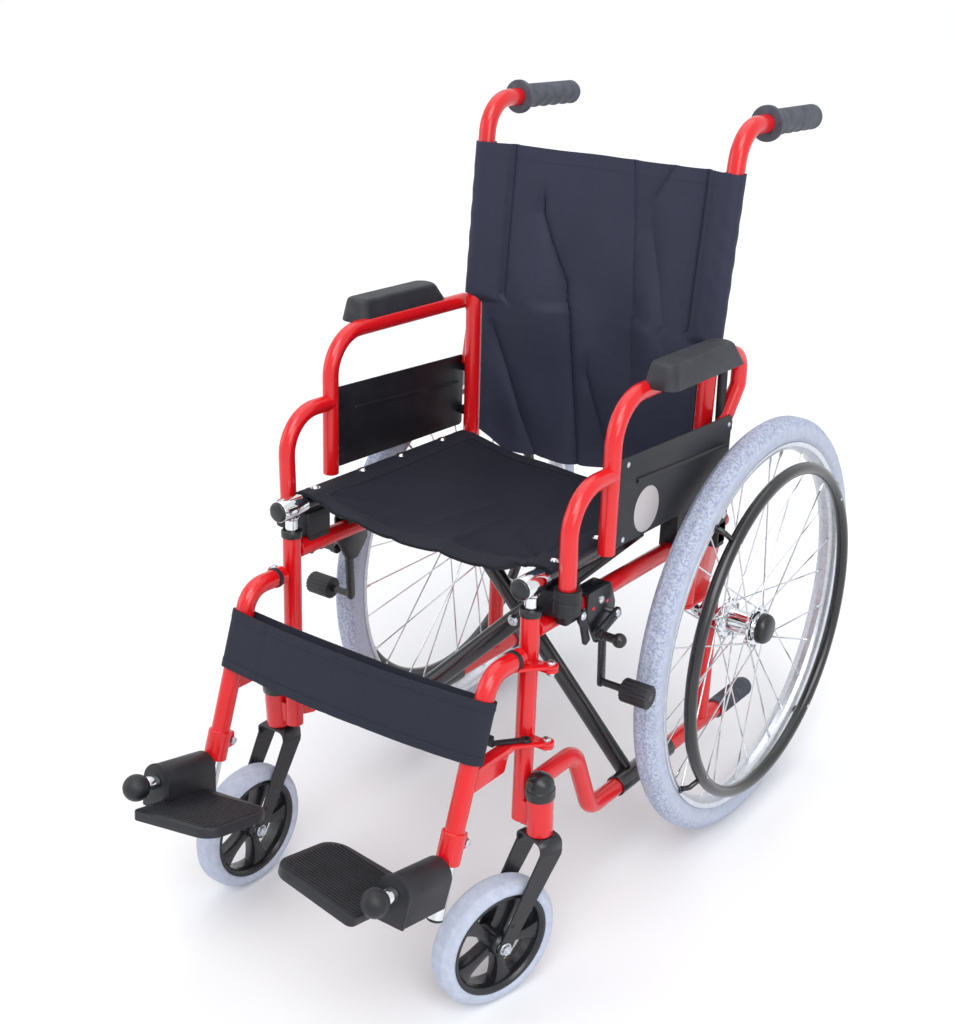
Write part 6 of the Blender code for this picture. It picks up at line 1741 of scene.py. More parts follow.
def hangers():
    """The hangers: a bent red tube, hinge ears on flat arms, the lower bracket, and the clamp below."""
    for tag, side, word in SIDES:
        body = f"hanger_{word}"
        x = side * HALF_WIDTH
        path = rounded(
            [
                (x, -0.017, HANGER_TOP_T), (x, HANGER_FRONT_S, HANGER_TOP_T),
                hanger_place(side, HANGER_END_T),
            ],
            [0, 0.03, 0], 14,
        )
        down = unit(hanger_place(side, 0) - hanger_place(side, 0.1))
        top = hanger_place(side, HANGER_END_T) - down * 0.004
        surfaces = [swept(at(path), TUBE, 30)]
        surfaces.append(bar(at(top), at(top + down * 0.036), 0.0138, 32, 0.0009))
        lug = hanger_place(side, HANGER_END_T) + down * 0.014
        surfaces.append(
            block(lug + (-0.006, 0, -0.009), lug + (0.006, 0.0238, 0.009), corner=0.003, edge=0.0012)
        )
        line = (side * HINGE_X, 0)
        for low in (UPPER_LUG_T, LOWER_LUG_T):
            level = low + LUG / 2
            angle = np.linspace(0, 2 * pi, 28, endpoint=False)
            disc = np.stack((line[0] + 0.0085 * np.cos(angle), 0.0085 * np.sin(angle)), axis=-1)
            surfaces.append(slab(disc, low, low + LUG, FRAME_AXES, 0.0005))
            arm = level_bar((*line, level), (x, -0.034, level), 0.013)
            surfaces.append(
                slab(
                    loop_rounded(arm, [0.003] * 4, 4), low + 0.0001, low + LUG - 0.0001, FRAME_AXES, 0.0005,
                )
            )
        reach = hanger_place(side, LOWER_LUG_T)[1]
        arm = level_bar((x, -0.03, LOWER_LUG_T), (x, reach, LOWER_LUG_T), 0.015)
        surfaces.append(slab(arm, LOWER_LUG_T - 0.004, LOWER_LUG_T + 0.004, FRAME_AXES, 0.001))
        flange = [
            (-0.04, LOWER_LUG_T), (-0.048, 0.146), (reach - 0.006, 0.146), (
                reach + 0.002, LOWER_LUG_T,
            ),
        ]
        surfaces.append(side_sheet(flange, 0.0025, side, HALF_WIDTH + 0.0062, 0.0006, 6, 0.003))
        made = piece(f"hanger_red_{tag}", surfaces, "red", body, "red_paint")
        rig.replaces(made, f"hanger_{tag}")
        ring = turned(
            [
                (0.01, 0.012), (0.0118, 0.012), (0.0123, 0.0126), (0.0123, 0.0178), (0.0118, 0.0184),
                (0.01, 0.0184),
            ],
            36, along(at(x, -0.015, HANGER_TOP_T), at(x, -0.115, HANGER_TOP_T)), closed=True,
        )
        piece(f"hanger_ring_{tag}", [ring], "nylon", body, "black_plastic")
        pins = []
        for low in (UPPER_LUG_T, LOWER_LUG_T):
            pins.append(bar(at(*line, low - 0.0075), at(*line, low + 0.006), 0.0029, 18))
            pins.append(
                turned(
                    [
                        (0, 0.0042), (0.003, 0.004), (0.005, 0.0026), (0.0054, 0.0004), (0.0052, 0),
                        (0, 0),
                    ],
                    28, axes(at(*line, low + LUG), *FRAME_AXES[:3, :3].T)
                )
            )
            pins.append(hex_nut(at(*line, low - 0.0085), at(*line, low - 0.0045), 0.009))
        bolt_x = side * HALF_WIDTH
        bolt = lug + (0, 0.0175, 0)
        pins.append(bar(at(bolt + (0.008, 0, 0)), at(bolt - (0.008, 0, 0)), 0.0028, 16))
        pins.append(hex_nut(at(bolt + (0.006, 0, 0)), at(bolt + (0.0105, 0, 0)), 0.0085))
        pins.append(hex_nut(at(bolt - (0.006, 0, 0)), at(bolt - (0.01, 0, 0)), 0.0085))
        piece(f"hanger_pins_{tag}", pins, "zinc", body, "chrome")
        piece(
            f"hanger_latch_lever_{tag}", hanger_latch(side), "nylon", f"hanger_latch_{word}",
            "black_plastic",
        )
        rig.replaces(bpy.data.objects[f"hanger_latch_lever_{tag}"], f"hanger_latch_{tag}")


def hanger_latch(side):
    """The release latch: a hub on its pin, a flat arm, and an upturned finger tab."""
    pin = np.array((side * (HALF_WIDTH + 0.012), -0.016, LOWER_LUG_T + LUG + CLEARANCE))
    tip = np.array((side * (HALF_WIDTH - 0.012), -0.046, pin[2]))
    arm = level_bar(pin, tip, 0.0086)
    return [
        turned(
            [
                (0.0028, 0.0034), (0.0058, 0.0034), (0.0064, 0.0028), (0.0065, 0.0004), (0.0062, 0),
                (0.0028, 0),
            ],
            28, axes(at(pin), *FRAME_AXES[:3, :3].T), closed=True,
        ),
        slab(loop_rounded(arm, [0.002] * 4, 4), pin[2] + 0.0001, pin[2] + 0.003, FRAME_AXES, 0.0006),
        block(tip + (-0.005, -0.006, 0), tip + (0.005, -0.003, 0.014), corner=0.0014, edge=0.001),
        block(tip + (-0.0048, -0.0055, 0.0001), tip + (0.0048, 0.002, 0.003), corner=0.0014, edge=0.0008),
    ]


def footrest_tubes():
    """The chrome extension tubes, and each footplate's pivot rod with its collar and its ball knob."""
    for tag, side, word in SIDES:
        body, place = f"footrest_{word}", foot_matrix(side)
        tube = bar(at(hanger_place(side, 0.174)), at(hanger_place(side, 0.015)), 0.0094, 30)
        rod = bar(moved((0, 0, 0), place), moved((0, 0.112, 0), place), 0.0049, 20)
        turn = place @ np.array(Matrix.Rotation(-pi / 2, 4, "X"))
        collar = turned(
            [
                (0, 0.0914), (0.008, 0.0914), (0.0085, 0.092), (0.0085, 0.105), (0.0078, 0.1066),
                (0, 0.1066),
            ],
            30, turn,
        )
        made = piece(f"footrest_chrome_{tag}", [tube, rod, collar], "chrome", body, "chrome")
        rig.replaces(made, f"footrest_tube_{tag}")
        knob = [ball(moved((0, 0.1197, 0), place), 0.0155, 36)]
        end = hanger_place(side, 0.015)
        down = unit(hanger_place(side, 0) - hanger_place(side, 0.1))
        knob.append(bar(at(end - down * 0.001), at(end + down * 0.003), 0.009, 28, 0.001))
        piece(f"footrest_knob_{tag}", knob, "nylon", body, "black_plastic")


def footplates():
    """The footplates: a D-shaped housing with a flanged front, and a tilted tread with fine ribs."""
    for tag, side, word in SIDES:
        body, place = f"footplate_{word}", foot_matrix(side)
        angle = np.linspace(0, pi, 21)
        arch = np.stack((0.02 * np.cos(angle), 0.02 * np.sin(angle)), axis=-1)
        shell = np.concatenate(([(0.0262, -0.0335)], arch, [(-0.0165, -0.0335)]))
        stand = place @ axes((0, 0, 0), (1, 0, 0), (0, 0, 1), (0, -1, 0))
        surfaces = [slab(shell, -0.09, -0.0155, stand, 0.001)]
        flange = np.concatenate(([(0.0272, -0.034)], arch * 1.045, [(-0.0172, -0.034)]))
        surfaces.append(slab(flange, -0.0907, -0.0862, stand, 0.0008))
        level = place @ np.array(Matrix.Rotation(-PLATE_TILT, 4, "Y"))
        surfaces.append(slab(tread_outline(), -0.0308, -0.0193, level, 0.0016))
        surfaces += tread_ribs(level)
        made = piece(f"footplate_ribbed_{tag}", surfaces, "nylon", body, "black_plastic")
        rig.replaces(made, f"footplate_{tag}")


def tread_outline():
    """The tread's outline: four corners, rounded by 4 to 26 mm."""
    corners = [(0.01, 0.0262), (0.1275, 0.034), (0.1275, 0.1322), (0.01, 0.1362)]
    return loop_rounded(corners, [0.004, 0.026, 0.022, 0.008], 10)


def tread_ribs(level):
    """The fine ribs of the tread: bars along x, 4.5 mm apart, kept inside the outline's rounded corners."""
    ribs = []
    for y in np.arange(0.04, 0.127, 0.0045):
        rear_inset = 0.018 * np.clip((0.056 - y) / 0.022, 0, 1) ** 2
        front_inset = 0.016 * np.clip((y - 0.112) / 0.02, 0, 1) ** 2
        start = 0.029 if y < 0.0925 else 0.016
        end = 0.1215 - max(rear_inset, front_inset)
        ribs.append(block((start, y - 0.0011, -0.0198), (end, y + 0.0011, -0.0182), level, 0.0006, 0.0005))
    return ribs


# Soft goods


CLOTH = 0.0022
SEAT_HALF, SEAT_FRONT_S, SEAT_REAR_S = 0.185, 0.02, 0.345
BACK_BOTTOM_T, BACK_TOP_T, SLEEVE_BOTTOM_T = 0.385, 0.749, 0.555
STRAP_TOP_T, STRAP_HEIGHT = 0.246, 0.068
FOLDED_WIDTH = 0.335
SEAM = 0.8


def crease(distance, width, depth):
    """A sharp fold: depth times e to the power of minus distance over width."""
    return depth * np.exp(-np.abs(distance) / width)


def smooth_step(value, low, high):
    """Zero below low, one above high, and smooth between: 3 w^2 - 2 w^3."""
    way = np.clip((value - low) / (high - low), 0, 1)
    return way * way * (3 - 2 * way)


# Each seat crease: its path as (v, share across), its depth and the v where it fades out
SEAT_CREASES = (
    (((0.0, -0.55), (0.5, -0.38)), 0.0034, 0.55), (((0.0, -0.22), (0.6, -0.05)), 0.003, 0.62),
    (((0.0, 0.2), (0.5, 0.12)), 0.0036, 0.5), (((0.0, 0.58), (0.6, 0.3)), 0.0034, 0.66),
)


def seat_place(u, v):
    """The seat's middle surface: level over the rails, sagging between them, with folds fanned from the
    front corners.

    The sag is seat_sag (1 - a^2)(1 - v / 4). Each front corner sends ripples of sin(11 b + c), b being its
    angle about that corner, and they fade with the distance from it.
    """
    x = (2 * u - 1) * SEAT_HALF
    s = SEAT_FRONT_S + (SEAT_REAR_S - SEAT_FRONT_S) * v
    inner = HALF_WIDTH - 0.012
    across = np.clip(np.abs(x) / inner, 0, 1)
    free = 1 - across**2
    drop = choices().seat_sag * free * (1 - 0.25 * v)
    ripple = 0.0
    for sign, phase, depth in ((1, 0.4, 0.0052), (-1, 1.5, 0.004)):
        away = np.hypot(x - sign * inner, s - SEAT_FRONT_S - 0.01)
        turn = np.arctan2(s - SEAT_FRONT_S - 0.01, inner - sign * x)
        fan = np.sin(11 * turn + phase) * np.exp(-away / 0.12)
        ripple = ripple + depth * fan * smooth_step(away, 0.004, 0.045)
    slack = 0.0034 * np.sin(38 * x + 9 * v) * free + 0.0028 * np.sin(31 * s - 26 * x) * free
    for path, depth, end in SEAT_CREASES:
        slack = slack + creased(x / inner, v, path, 0.05, depth, -0.2, end) * free
    edge = 0.003 * smooth_step(np.abs(x), HALF_WIDTH + 0.004, SEAT_HALF)
    t = SEAT_RAIL_T + SEAT_RAIL_RADIUS + CLEARANCE + CLOTH / 2 - drop + ripple * np.minimum(
        1, free * 6
    ) + slack - edge
    return np.stack((x, s + 0 * x, t), axis=-1)


def cane_at(t):
    """The left cane's centre at height t, as x and s."""
    low = (t - CANE_BOTTOM_T) / (CANE_BEND_T - CANE_BOTTOM_T)
    high = (t - CANE_BEND_T) / (HANDLE_T - CANE_BEND_T)
    x = np.where(
        t <= CANE_BEND_T, HALF_WIDTH + (CANE_MID_X - HALF_WIDTH) * low,
        CANE_MID_X + (CANE_TOP_X - CANE_MID_X) * high
    )
    return x, np.where(t <= CANE_BEND_T, CANE_S, CANE_S + (HANDLE_S - CANE_S) * np.clip(high, 0, 1))


def creased(across, v, path, width, depth, low, high):
    """A fold along a path of (v, across) points, as deep as given, that fades out below low and above
    high."""
    heights, places = zip(*path)
    line = np.interp(v, heights, places)
    fade = smooth_step(v, low, low + 0.12) * (1 - smooth_step(v, high - 0.12, high))
    return crease(across - line, width, depth) * fade


def back_place(u, v):
    """The back's middle surface: bowed rearward between the canes, slack below, with the photo's folds.

    Outside the seams, at SEAM of the half width, it runs to the front of each cane's sleeve. Each fold
    is a sharp crease along its own path, over soft upright waves.
    """
    across = 2 * u - 1
    middle = 1 - np.abs(across)
    bottom = BACK_BOTTOM_T - 0.01 - choices().back_slack * smooth_step(middle, -0.1, 0.26)
    t = bottom + (BACK_TOP_T - bottom) * v
    cane_x, cane_s = cane_at(t)
    wrapped = smooth_step(t, SLEEVE_BOTTOM_T - 0.012, SLEEVE_BOTTOM_T + 0.002)
    half = cane_x - (TUBE + CLOTH) * (1 - wrapped)
    free = 1 - across**2
    outer = np.clip((np.abs(across) - SEAM) / (0.985 - SEAM), 0, 1)
    front = -((TUBE + 0.0012) * outer + 0.0034 * np.sin(pi * outer)) * wrapped
    welt = -0.0022 * np.exp(-(((np.abs(across) - SEAM - 0.012) / 0.014) ** 2)) * wrapped
    tuck = crease(np.abs(across) - SEAM + 0.022, 0.016, 0.0046) * wrapped
    waves = 0.0078 * np.sin(5.2 * across + 1.9 * v + 0.4) + 0.0048 * np.sin(11.5 * across - 3.2 * v)
    waves = (waves + 0.002 * np.sin(15 * v + 6 * across)) * (1 - 0.6 * smooth_step(v, 0.5, 1.0))
    folds = creased(
        across, v, ((0.0, -0.1), (0.23, -0.19), (0.58, -0.31), (0.8, -0.52)), 0.045, 0.0105, -0.2, 0.92,
    )
    folds = folds + creased(
        across, v, ((0.0, 0.34), (0.34, 0.31), (0.74, 0.22), (1.0, 0.16)), 0.06, 0.0075, 0.12, 1.3,
    )
    folds = folds + creased(across, v, ((0.88, 0.34), (1.0, 0.5)), 0.035, 0.005, 0.8, 1.3)
    folds = folds + creased(across, v, ((0.0, 0.14), (0.3, -0.06)), 0.04, 0.007, -0.2, 0.4)
    folds = folds + creased(across, v, ((0.45, 0.64), (0.62, 0.52), (0.8, 0.36)), 0.07, 0.0055, 0.4, 0.9)
    folds = folds + creased(across, v, ((0.0, -0.5), (0.42, -0.97)), 0.06, 0.0085, -0.1, 0.5)
    inside = smooth_step(
        SEAM - np.abs(across), -0.01, 0.1,
    ) * wrapped + (1 - wrapped) * smooth_step(middle, 0, 0.1)
    s = cane_s + free * choices().back_bow + front + welt + tuck + (waves * free + folds) * inside
    droop = 0.004 * free * smooth_step(v, 0.5, 1.0)
    return np.stack((across * half, s, t - droop), axis=-1)


def strap_axes():
    """The strap's own axes: x across the chair, y rearward, z up along the hangers' straight runs."""
    up = unit(hanger_place(1, STRAP_TOP_T) - hanger_place(1, STRAP_TOP_T - 0.1))
    middle = hanger_place(0, STRAP_TOP_T) - up * STRAP_HEIGHT / 2
    return axes((0, middle[1], middle[2]), (1, 0, 0), (0, up[2], -up[1]), up)


# The calf strap's seams, as shares of its front run
STRAP_SEAMS = (0.15, 0.46, 0.59, 0.845)


def strap_place(u, v):
    """The strap's middle surface: a loop round both hangers, of two runs and two half circles, with its
    edges bowed.

    The loop is walked by u from 0 to 1. Both runs bow out by 3 mm, sag by 5 mm in the middle and ripple.
    """
    radius = TUBE + 0.0006 + CLOTH / 2
    run, bend = 2 * HALF_WIDTH, pi * radius
    total = 2 * (run + bend)
    way = np.mod(u, 1.0) * total
    turn_left = np.clip((way - run) / bend, 0, 1) * pi
    turn_right = np.clip((way - 2 * run - bend) / bend, 0, 1) * pi
    first = np.clip(way, 0, run)
    back = np.clip(way - run - bend, 0, run)
    angle = -pi / 2 + turn_left + turn_right
    x = -HALF_WIDTH + first - back + radius * np.cos(angle)
    y = radius * np.sin(angle)
    share = (first - back) / run
    free = 4 * share * (1 - share)
    front = np.where(way < run + bend / 2, -1.0, 1.0)
    z = (v - 0.5) * STRAP_HEIGHT - 0.005 * free
    y = y + front * 0.003 * free + 0.0012 * np.sin(30 * x + 3 * v) * free
    for seam in STRAP_SEAMS:
        y = y + crease(way - seam * run, 0.0036, 0.0014)
    return moved(np.stack((x, y, z), axis=-1), strap_axes())


def cloth(name, place, columns, rows, thickness, size, finish, body, loop=False):
    """A sheet of cloth as a closed solid: two grids half a thickness either side of place(u, v), joined at
    the rim.

    Its UV map holds u and v times the flat size, in metres, so that the weave keeps its real scale.
    """
    u = np.linspace(0, 1, columns + 1)[: columns if loop else None]
    v = np.linspace(0, 1, rows + 1)
    grid_u, grid_v = np.meshgrid(u, v)
    middle = at(place(grid_u, grid_v))
    step = 1e-4
    along_u = at(place(grid_u + step, grid_v)) - at(place(grid_u - step, grid_v))
    along_v = at(place(grid_u, grid_v + step)) - at(place(grid_u, grid_v - step))
    normal = unit(np.cross(along_u, along_v))
    count, width = middle.shape[0], middle.shape[1]
    half = np.full((count, 1, 1), thickness / 2)
    points = np.concatenate(
        ((middle + normal * half).reshape(-1, 3), (middle - normal * half).reshape(-1, 3))
    )
    top = np.array(grid_faces(count, width, close_columns=loop))
    bottom = top[:, ::-1] + count * width
    rim = [np.arange(width), np.arange(width) + (count - 1) * width]
    if not loop:
        rim += [np.arange(count) * width, np.arange(count) * width + width - 1]
    sides = []
    for line in rim:
        ahead = np.roll(line, -1) if loop else line[1:]
        line = line if loop else line[:-1]
        sides.append(np.column_stack((line, ahead, ahead + count * width, line + count * width)))
    faces = np.concatenate((top, bottom, *sides))
    mesh = bpy.data.meshes.new(name)
    mesh.from_pydata(points.tolist(), [], faces.tolist())
    flat = np.tile(np.stack((grid_u * size[0], grid_v * size[1]), axis=-1).reshape(-1, 2), (2, 1))
    flat_layer = mesh.uv_layers.new(name="cloth")
    corners = np.empty(len(mesh.loops), int)
    mesh.loops.foreach_get("vertex_index", corners)
    flat_layer.data.foreach_set("uv", flat[corners].ravel())
    shape = bmesh.new()
    shape.from_mesh(mesh)
    bmesh.ops.recalc_face_normals(shape, faces=shape.faces)
    shape.to_mesh(mesh)
    shape.free()
    return placed(name, mesh, finish, body, "black_nylon", 60)


def band(place, low, high, lift, across=(0.0, 1.0)):
    """The same surface between two values of v and of u, lifted off along its own normal, as a place
    function."""

    def lifted(u, v):
        real_u = across[0] + (across[1] - across[0]) * u
        real_v = low + (high - low) * v
        step = 1e-4
        along_u = place(real_u + step, real_v) - place(real_u - step, real_v)
        along_v = place(real_u, real_v + step) - place(real_u, real_v - step)
        return place(real_u, real_v) + unit(np.cross(along_u, along_v)) * lift

    return lifted


def stitches(name, lines, body, pitch=0.0048, length=0.003, width=0.0011, height=0.0006):
    """Rows of sewn thread: each stitch is a low six-pointed body along its line, from rows of points and
    normals."""
    bodies, faces = [], []
    shape = np.array([(0, 2, 4), (2, 1, 4), (1, 3, 4), (3, 0, 4), (2, 0, 5), (1, 2, 5), (3, 1, 5), (0, 3, 5)])
    for points, normals in lines:
        gone = np.concatenate(([0], np.cumsum(np.linalg.norm(np.diff(points, axis=0), axis=1))))
        middle = np.arange(pitch / 2, gone[-1] - pitch / 2, pitch)
        centre = np.stack([np.interp(middle, gone, points[:, axis]) for axis in range(3)], axis=-1)
        ahead = np.stack(
            [np.interp(middle + length / 2, gone, points[:, axis]) for axis in range(3)], axis=-1
        )
        normal = unit(np.stack([np.interp(middle, gone, normals[:, axis]) for axis in range(3)], axis=-1))
        reach = ahead - centre
        beside = unit(np.cross(normal, reach)) * width / 2
        up = normal * height
        corners = np.stack(
            (
                centre - reach, centre + reach, centre + beside, centre - beside, centre + up,
                centre - up * 0.3
            ),
            axis=1,
        )
        start = sum(len(group) for group in bodies)
        bodies.append(corners.reshape(-1, 3))
        faces.append((shape[None] + start + 6 * np.arange(len(centre))[:, None, None]).reshape(-1, 3))
    mesh = bpy.data.meshes.new(name)
    mesh.from_pydata(np.concatenate(bodies).tolist(), [], np.concatenate(faces).tolist())
    shape = bmesh.new()
    shape.from_mesh(mesh)
    bmesh.ops.recalc_face_normals(shape, faces=shape.faces)
    shape.to_mesh(mesh)
    shape.free()
    return placed(name, mesh, "thread", body, "black_nylon", 60)


def line_on(place, u, v, lift):
    """Points and normals of a line on a place function, lifted to one face of its cloth."""
    u, v = np.broadcast_arrays(np.asarray(u, float), np.asarray(v, float))
    step = 1e-4
    along_u = at(place(u + step, v)) - at(place(u - step, v))
    along_v = at(place(u, v + step)) - at(place(u, v - step))
    normal = unit(np.cross(along_u, along_v)) * np.sign(lift)
    return at(place(u, v)) + normal * abs(lift), normal


def seat():
    """The seat: its canvas, a doubled front and rear hem, side strips under the screws, stitches and
    screws."""
    size = (2 * SEAT_HALF, SEAT_REAR_S - SEAT_FRONT_S)
    body = "cross_b"
    canvas = cloth("seat_canvas", seat_place, 110, 84, CLOTH, size, "canvas", body)
    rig.replaces(canvas, "seat_sling")
    extras = [
        cloth(
            "seat_front_hem", band(seat_place, -0.003, 0.062, 0.0), 110, 8, CLOTH + 0.002,
            (size[0], 0.021), "hem", body,
        ),
        cloth(
            "seat_rear_hem", band(seat_place, 0.95, 1.002, 0.0), 110, 6, CLOTH + 0.0016, (size[0], 0.017),
            "hem", body,
        ),
    ]
    for word, across in (("right", (-0.001, 0.092)), ("left", (0.908, 1.001))):
        extras.append(
            cloth(
                f"seat_strip_{word}", band(seat_place, 0.0, 1.0, 0.0, across), 10, 84, CLOTH + 0.0013,
                (0.034, size[1]), "hem", body,
            )
        )
    whole = np.linspace(0, 1, 160)
    lift = CLOTH / 2 + 0.0006
    rows = [line_on(seat_place, whole, v, lift + 0.0006) for v in (0.012, 0.052)]
    rows += [line_on(seat_place, whole, 0.96, lift + 0.0004)]
    rows += [line_on(seat_place, u, whole, lift + 0.0003) for u in (0.086, 0.914)]
    extras.append(stitches("seat_stitches", rows, body))
    head = [(0, 0.0029), (0.0022, 0.0028), (0.004, 0.002), (0.0047, 0.0008), (0.0047, 0), (0, 0)]
    eyelet = [(0.0047, 0.0006), (0.0064, 0.0006), (0.0066, 0.0003), (0.0066, -0.0003), (0.0047, -0.0003)]
    for tag, side, holder in (("L", 1, "cross_b"), ("R", -1, "cross_a")):
        screws = []
        for s in (0.042, 0.13, 0.206, 0.294):
            u = (side * HALF_WIDTH / SEAT_HALF + 1) / 2
            v = (s - SEAT_FRONT_S) / size[1]
            place, normal = line_on(seat_place, [u], [v], CLOTH / 2 + 0.0005)
            stand = along(place[0], place[0] + normal[0] * 0.01)
            screws += [turned(head, 26, stand), turned(eyelet, 26, stand, closed=True)]
        piece(f"seat_screws_{tag}", screws, "chrome", holder, "black_nylon")
    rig.sheet(canvas, size, "stretched", ["cross_brace_a", "cross_brace_b"], with_pieces=extras)
    for cloth_part in (canvas, *extras):
        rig.squash(cloth_part, "fold", (1, 0, 0), (HALF_WIDTH, 0, 0), FOLDED_WIDTH)


def back():
    """The back: its nylon, a sleeve round each cane, hems at the top and the bottom, and rows of stitches."""
    size = (2 * HALF_WIDTH, BACK_TOP_T - BACK_BOTTOM_T)
    body = "frame_right"
    panel = cloth("back_nylon", back_place, 220, 150, CLOTH, size, "cloth", body)
    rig.replaces(panel, "back_sling")
    extras = [
        cloth(
            "back_top_hem", band(back_place, 0.962, 1.003, 0.0), 220, 6, CLOTH + 0.0007, (size[0], 0.015),
            "cloth", body,
        ),
        cloth(
            "back_low_hem", band(back_place, -0.003, 0.042, 0.0), 220, 6, CLOTH + 0.0008, (size[0], 0.016),
            "cloth", body,
        ),
    ]
    sleeves = []
    around = (0.08, BACK_TOP_T - SLEEVE_BOTTOM_T)
    for tag, side, word in SIDES:
        made = cloth(
            f"back_sleeve_{tag}", sleeve_place(
                side
            ), 40, 60, 0.0016, around, "cloth", f"frame_{word}", loop=True
        )
        sleeves.append(made)
    upper = np.linspace(0.485, 0.996, 120)
    rows = [line_on(back_place, u, upper, CLOTH / 2 + 0.0003) for u in (0.094, 0.906)]
    rows += [line_on(back_place, u, np.linspace(0.01, 0.47, 110), CLOTH / 2 + 0.0002) for u in (0.022, 0.978)]
    extras.append(stitches("back_stitches", rows, body))
    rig.sheet(panel, size, "stretched", ["back_cane_L", "back_cane_R"], with_pieces=[*extras, *sleeves])
    for cloth_part in (panel, *extras):
        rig.squash(cloth_part, "fold", (1, 0, 0), (-HALF_WIDTH, 0, 0), FOLDED_WIDTH)


def sleeve_place(side):
    """One sleeve's middle surface round its cane: the cane's centre plus a radius that wrinkles by 0.4 mm."""

    def place(u, v):
        t = SLEEVE_BOTTOM_T + (BACK_TOP_T - SLEEVE_BOTTOM_T) * v
        x, s = cane_at(t)
        angle = 2 * pi * u
        radius = TUBE + 0.0006 + 0.0009 + 0.0004 * np.sin(3 * angle + 40 * v) * np.sin(pi * np.clip(v, 0, 1))
        return np.stack(
            (side * x + radius * np.cos(angle), s + radius * np.sin(angle), t + 0 * angle), axis=-1,
        )

    return place


def calf_strap():
    """The calf strap: a nylon loop round both hangers, its hems, its stitches and its overlapped end."""
    length = 2 * (2 * HALF_WIDTH + pi * (TUBE + 0.0017))
    body = "hanger_right"
    strap = cloth(
        "calf_strap_nylon", strap_place, 260, 26, CLOTH, (length, STRAP_HEIGHT), "strap", body, loop=True,
    )
    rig.replaces(strap, "calf_strap")
    extras = [
        cloth(
            "calf_strap_top_hem", band(strap_place, 0.86, 1.008, 0.0), 260, 5, CLOTH + 0.001,
            (length, 0.01), "strap", body, loop=True,
        ),
        cloth(
            "calf_strap_low_hem", band(strap_place, -0.008, 0.14, 0.0), 260, 5, CLOTH + 0.001,
            (length, 0.01), "strap", body, loop=True,
        ),
        cloth(
            "calf_strap_end", band(strap_place, -0.16, 0.55, 0.003, (0.735, 0.79)), 24, 12, 0.0018,
            (0.043, 0.048), "strap", body,
        ),
    ]
    run = HALF_WIDTH / (length / 2)
    whole = np.linspace(0.0, 0.5, 260)
    rows = [line_on(strap_place, whole, v, CLOTH / 2 + 0.0007) for v in (0.885, 0.115)]
    for seam in STRAP_SEAMS:
        rows.append(line_on(strap_place, seam * run, np.linspace(0.02, 0.98, 60), CLOTH / 2 + 0.0003))
    extras.append(stitches("calf_strap_stitches", rows, body))
    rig.sheet(strap, (length, STRAP_HEIGHT), "stretched", ["hanger_L", "hanger_R"], with_pieces=extras)
    for cloth_part in (strap, *extras):
        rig.squash(cloth_part, "fold", (1, 0, 0), (-HALF_WIDTH, 0, 0), FOLDED_WIDTH)


# Stage


CAMERA_PLACE = (0.9731, -1.3737, 1.2166)
CAMERA_AZIMUTH, CAMERA_DROP = radians(35.11), radians(24.82)
PHOTO_WIDTH, PHOTO_HEIGHT = 955, 1024
FOCAL_PIXELS = 1486.52
MIDDLE_X, MIDDLE_Y = 513.02, 529.9
SENSOR = 36.0


def plain(name, hex_code, roughness=0.9):
    """A plain matt colour for the stage."""
    made, tree, shader, _ = base(name, hex_code, roughness)
    shader.inputs["Specular IOR Level"].default_value = 0.1
    return made


def floor():
    """The floor: a white plane just under the tyres."""
    mesh = bpy.data.meshes.new("floor")
    mesh.from_pydata([(-9, -9, 0), (9, -9, 0), (9, 9, 0), (-9, 9, 0)], [], [(0, 1, 2, 3)])
    made = bpy.data.objects.new("floor", mesh)
    bpy.context.scene.collection.objects.link(made)
    made.location.z = -0.0004
    mesh.materials.append(plain("studio_floor", "F6F6F7"))
    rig.stage(made)


def light(name, place, target, size, power):
    """A square area light at a place, turned to its target."""
    lamp = bpy.data.lights.new(name, "AREA")
    lamp.shape = "SQUARE"
    lamp.size = size
    lamp.energy = power
    made = bpy.data.objects.new(name, lamp)
    bpy.context.scene.collection.objects.link(made)
    made.location = place
    made.rotation_euler = (Vector(target) - Vector(place)).to_track_quat("-Z", "Y").to_euler()
    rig.stage(made)


def world():
    """A soft white surround: the camera, mirrors and glass see plain white, and the object sees a dimmer
    fill."""
    surround = bpy.data.worlds.new("studio")
    bpy.context.scene.world = surround
    surround.use_nodes = True
    tree = surround.node_tree
    tree.nodes.clear()
    path = add(tree, "ShaderNodeLightPath")
    seen = add(
        tree, "ShaderNodeMath", [(path.outputs["Is Camera Ray"], 0), (path.outputs["Is Glossy Ray"], 1)],
        operation="ADD",
    )
    shown = add(
        tree, "ShaderNodeMath", [(seen.outputs[0], 0), (path.outputs["Is Transmission Ray"], 1)],
        operation="ADD", use_clamp=True,
    )
    fill = add(tree, "ShaderNodeBackground", Color=linear("F4F6FA"), Strength=0.62)
    white = add(tree, "ShaderNodeBackground", Color=(1, 1, 1, 1), Strength=1.0)
    both = add(tree, "ShaderNodeMixShader")
    tree.links.new(shown.outputs[0], both.inputs[0])
    tree.links.new(fill.outputs[0], both.inputs[1])
    tree.links.new(white.outputs[0], both.inputs[2])
    end = add(tree, "ShaderNodeOutputWorld")
    tree.links.new(both.outputs[0], end.inputs["Surface"])


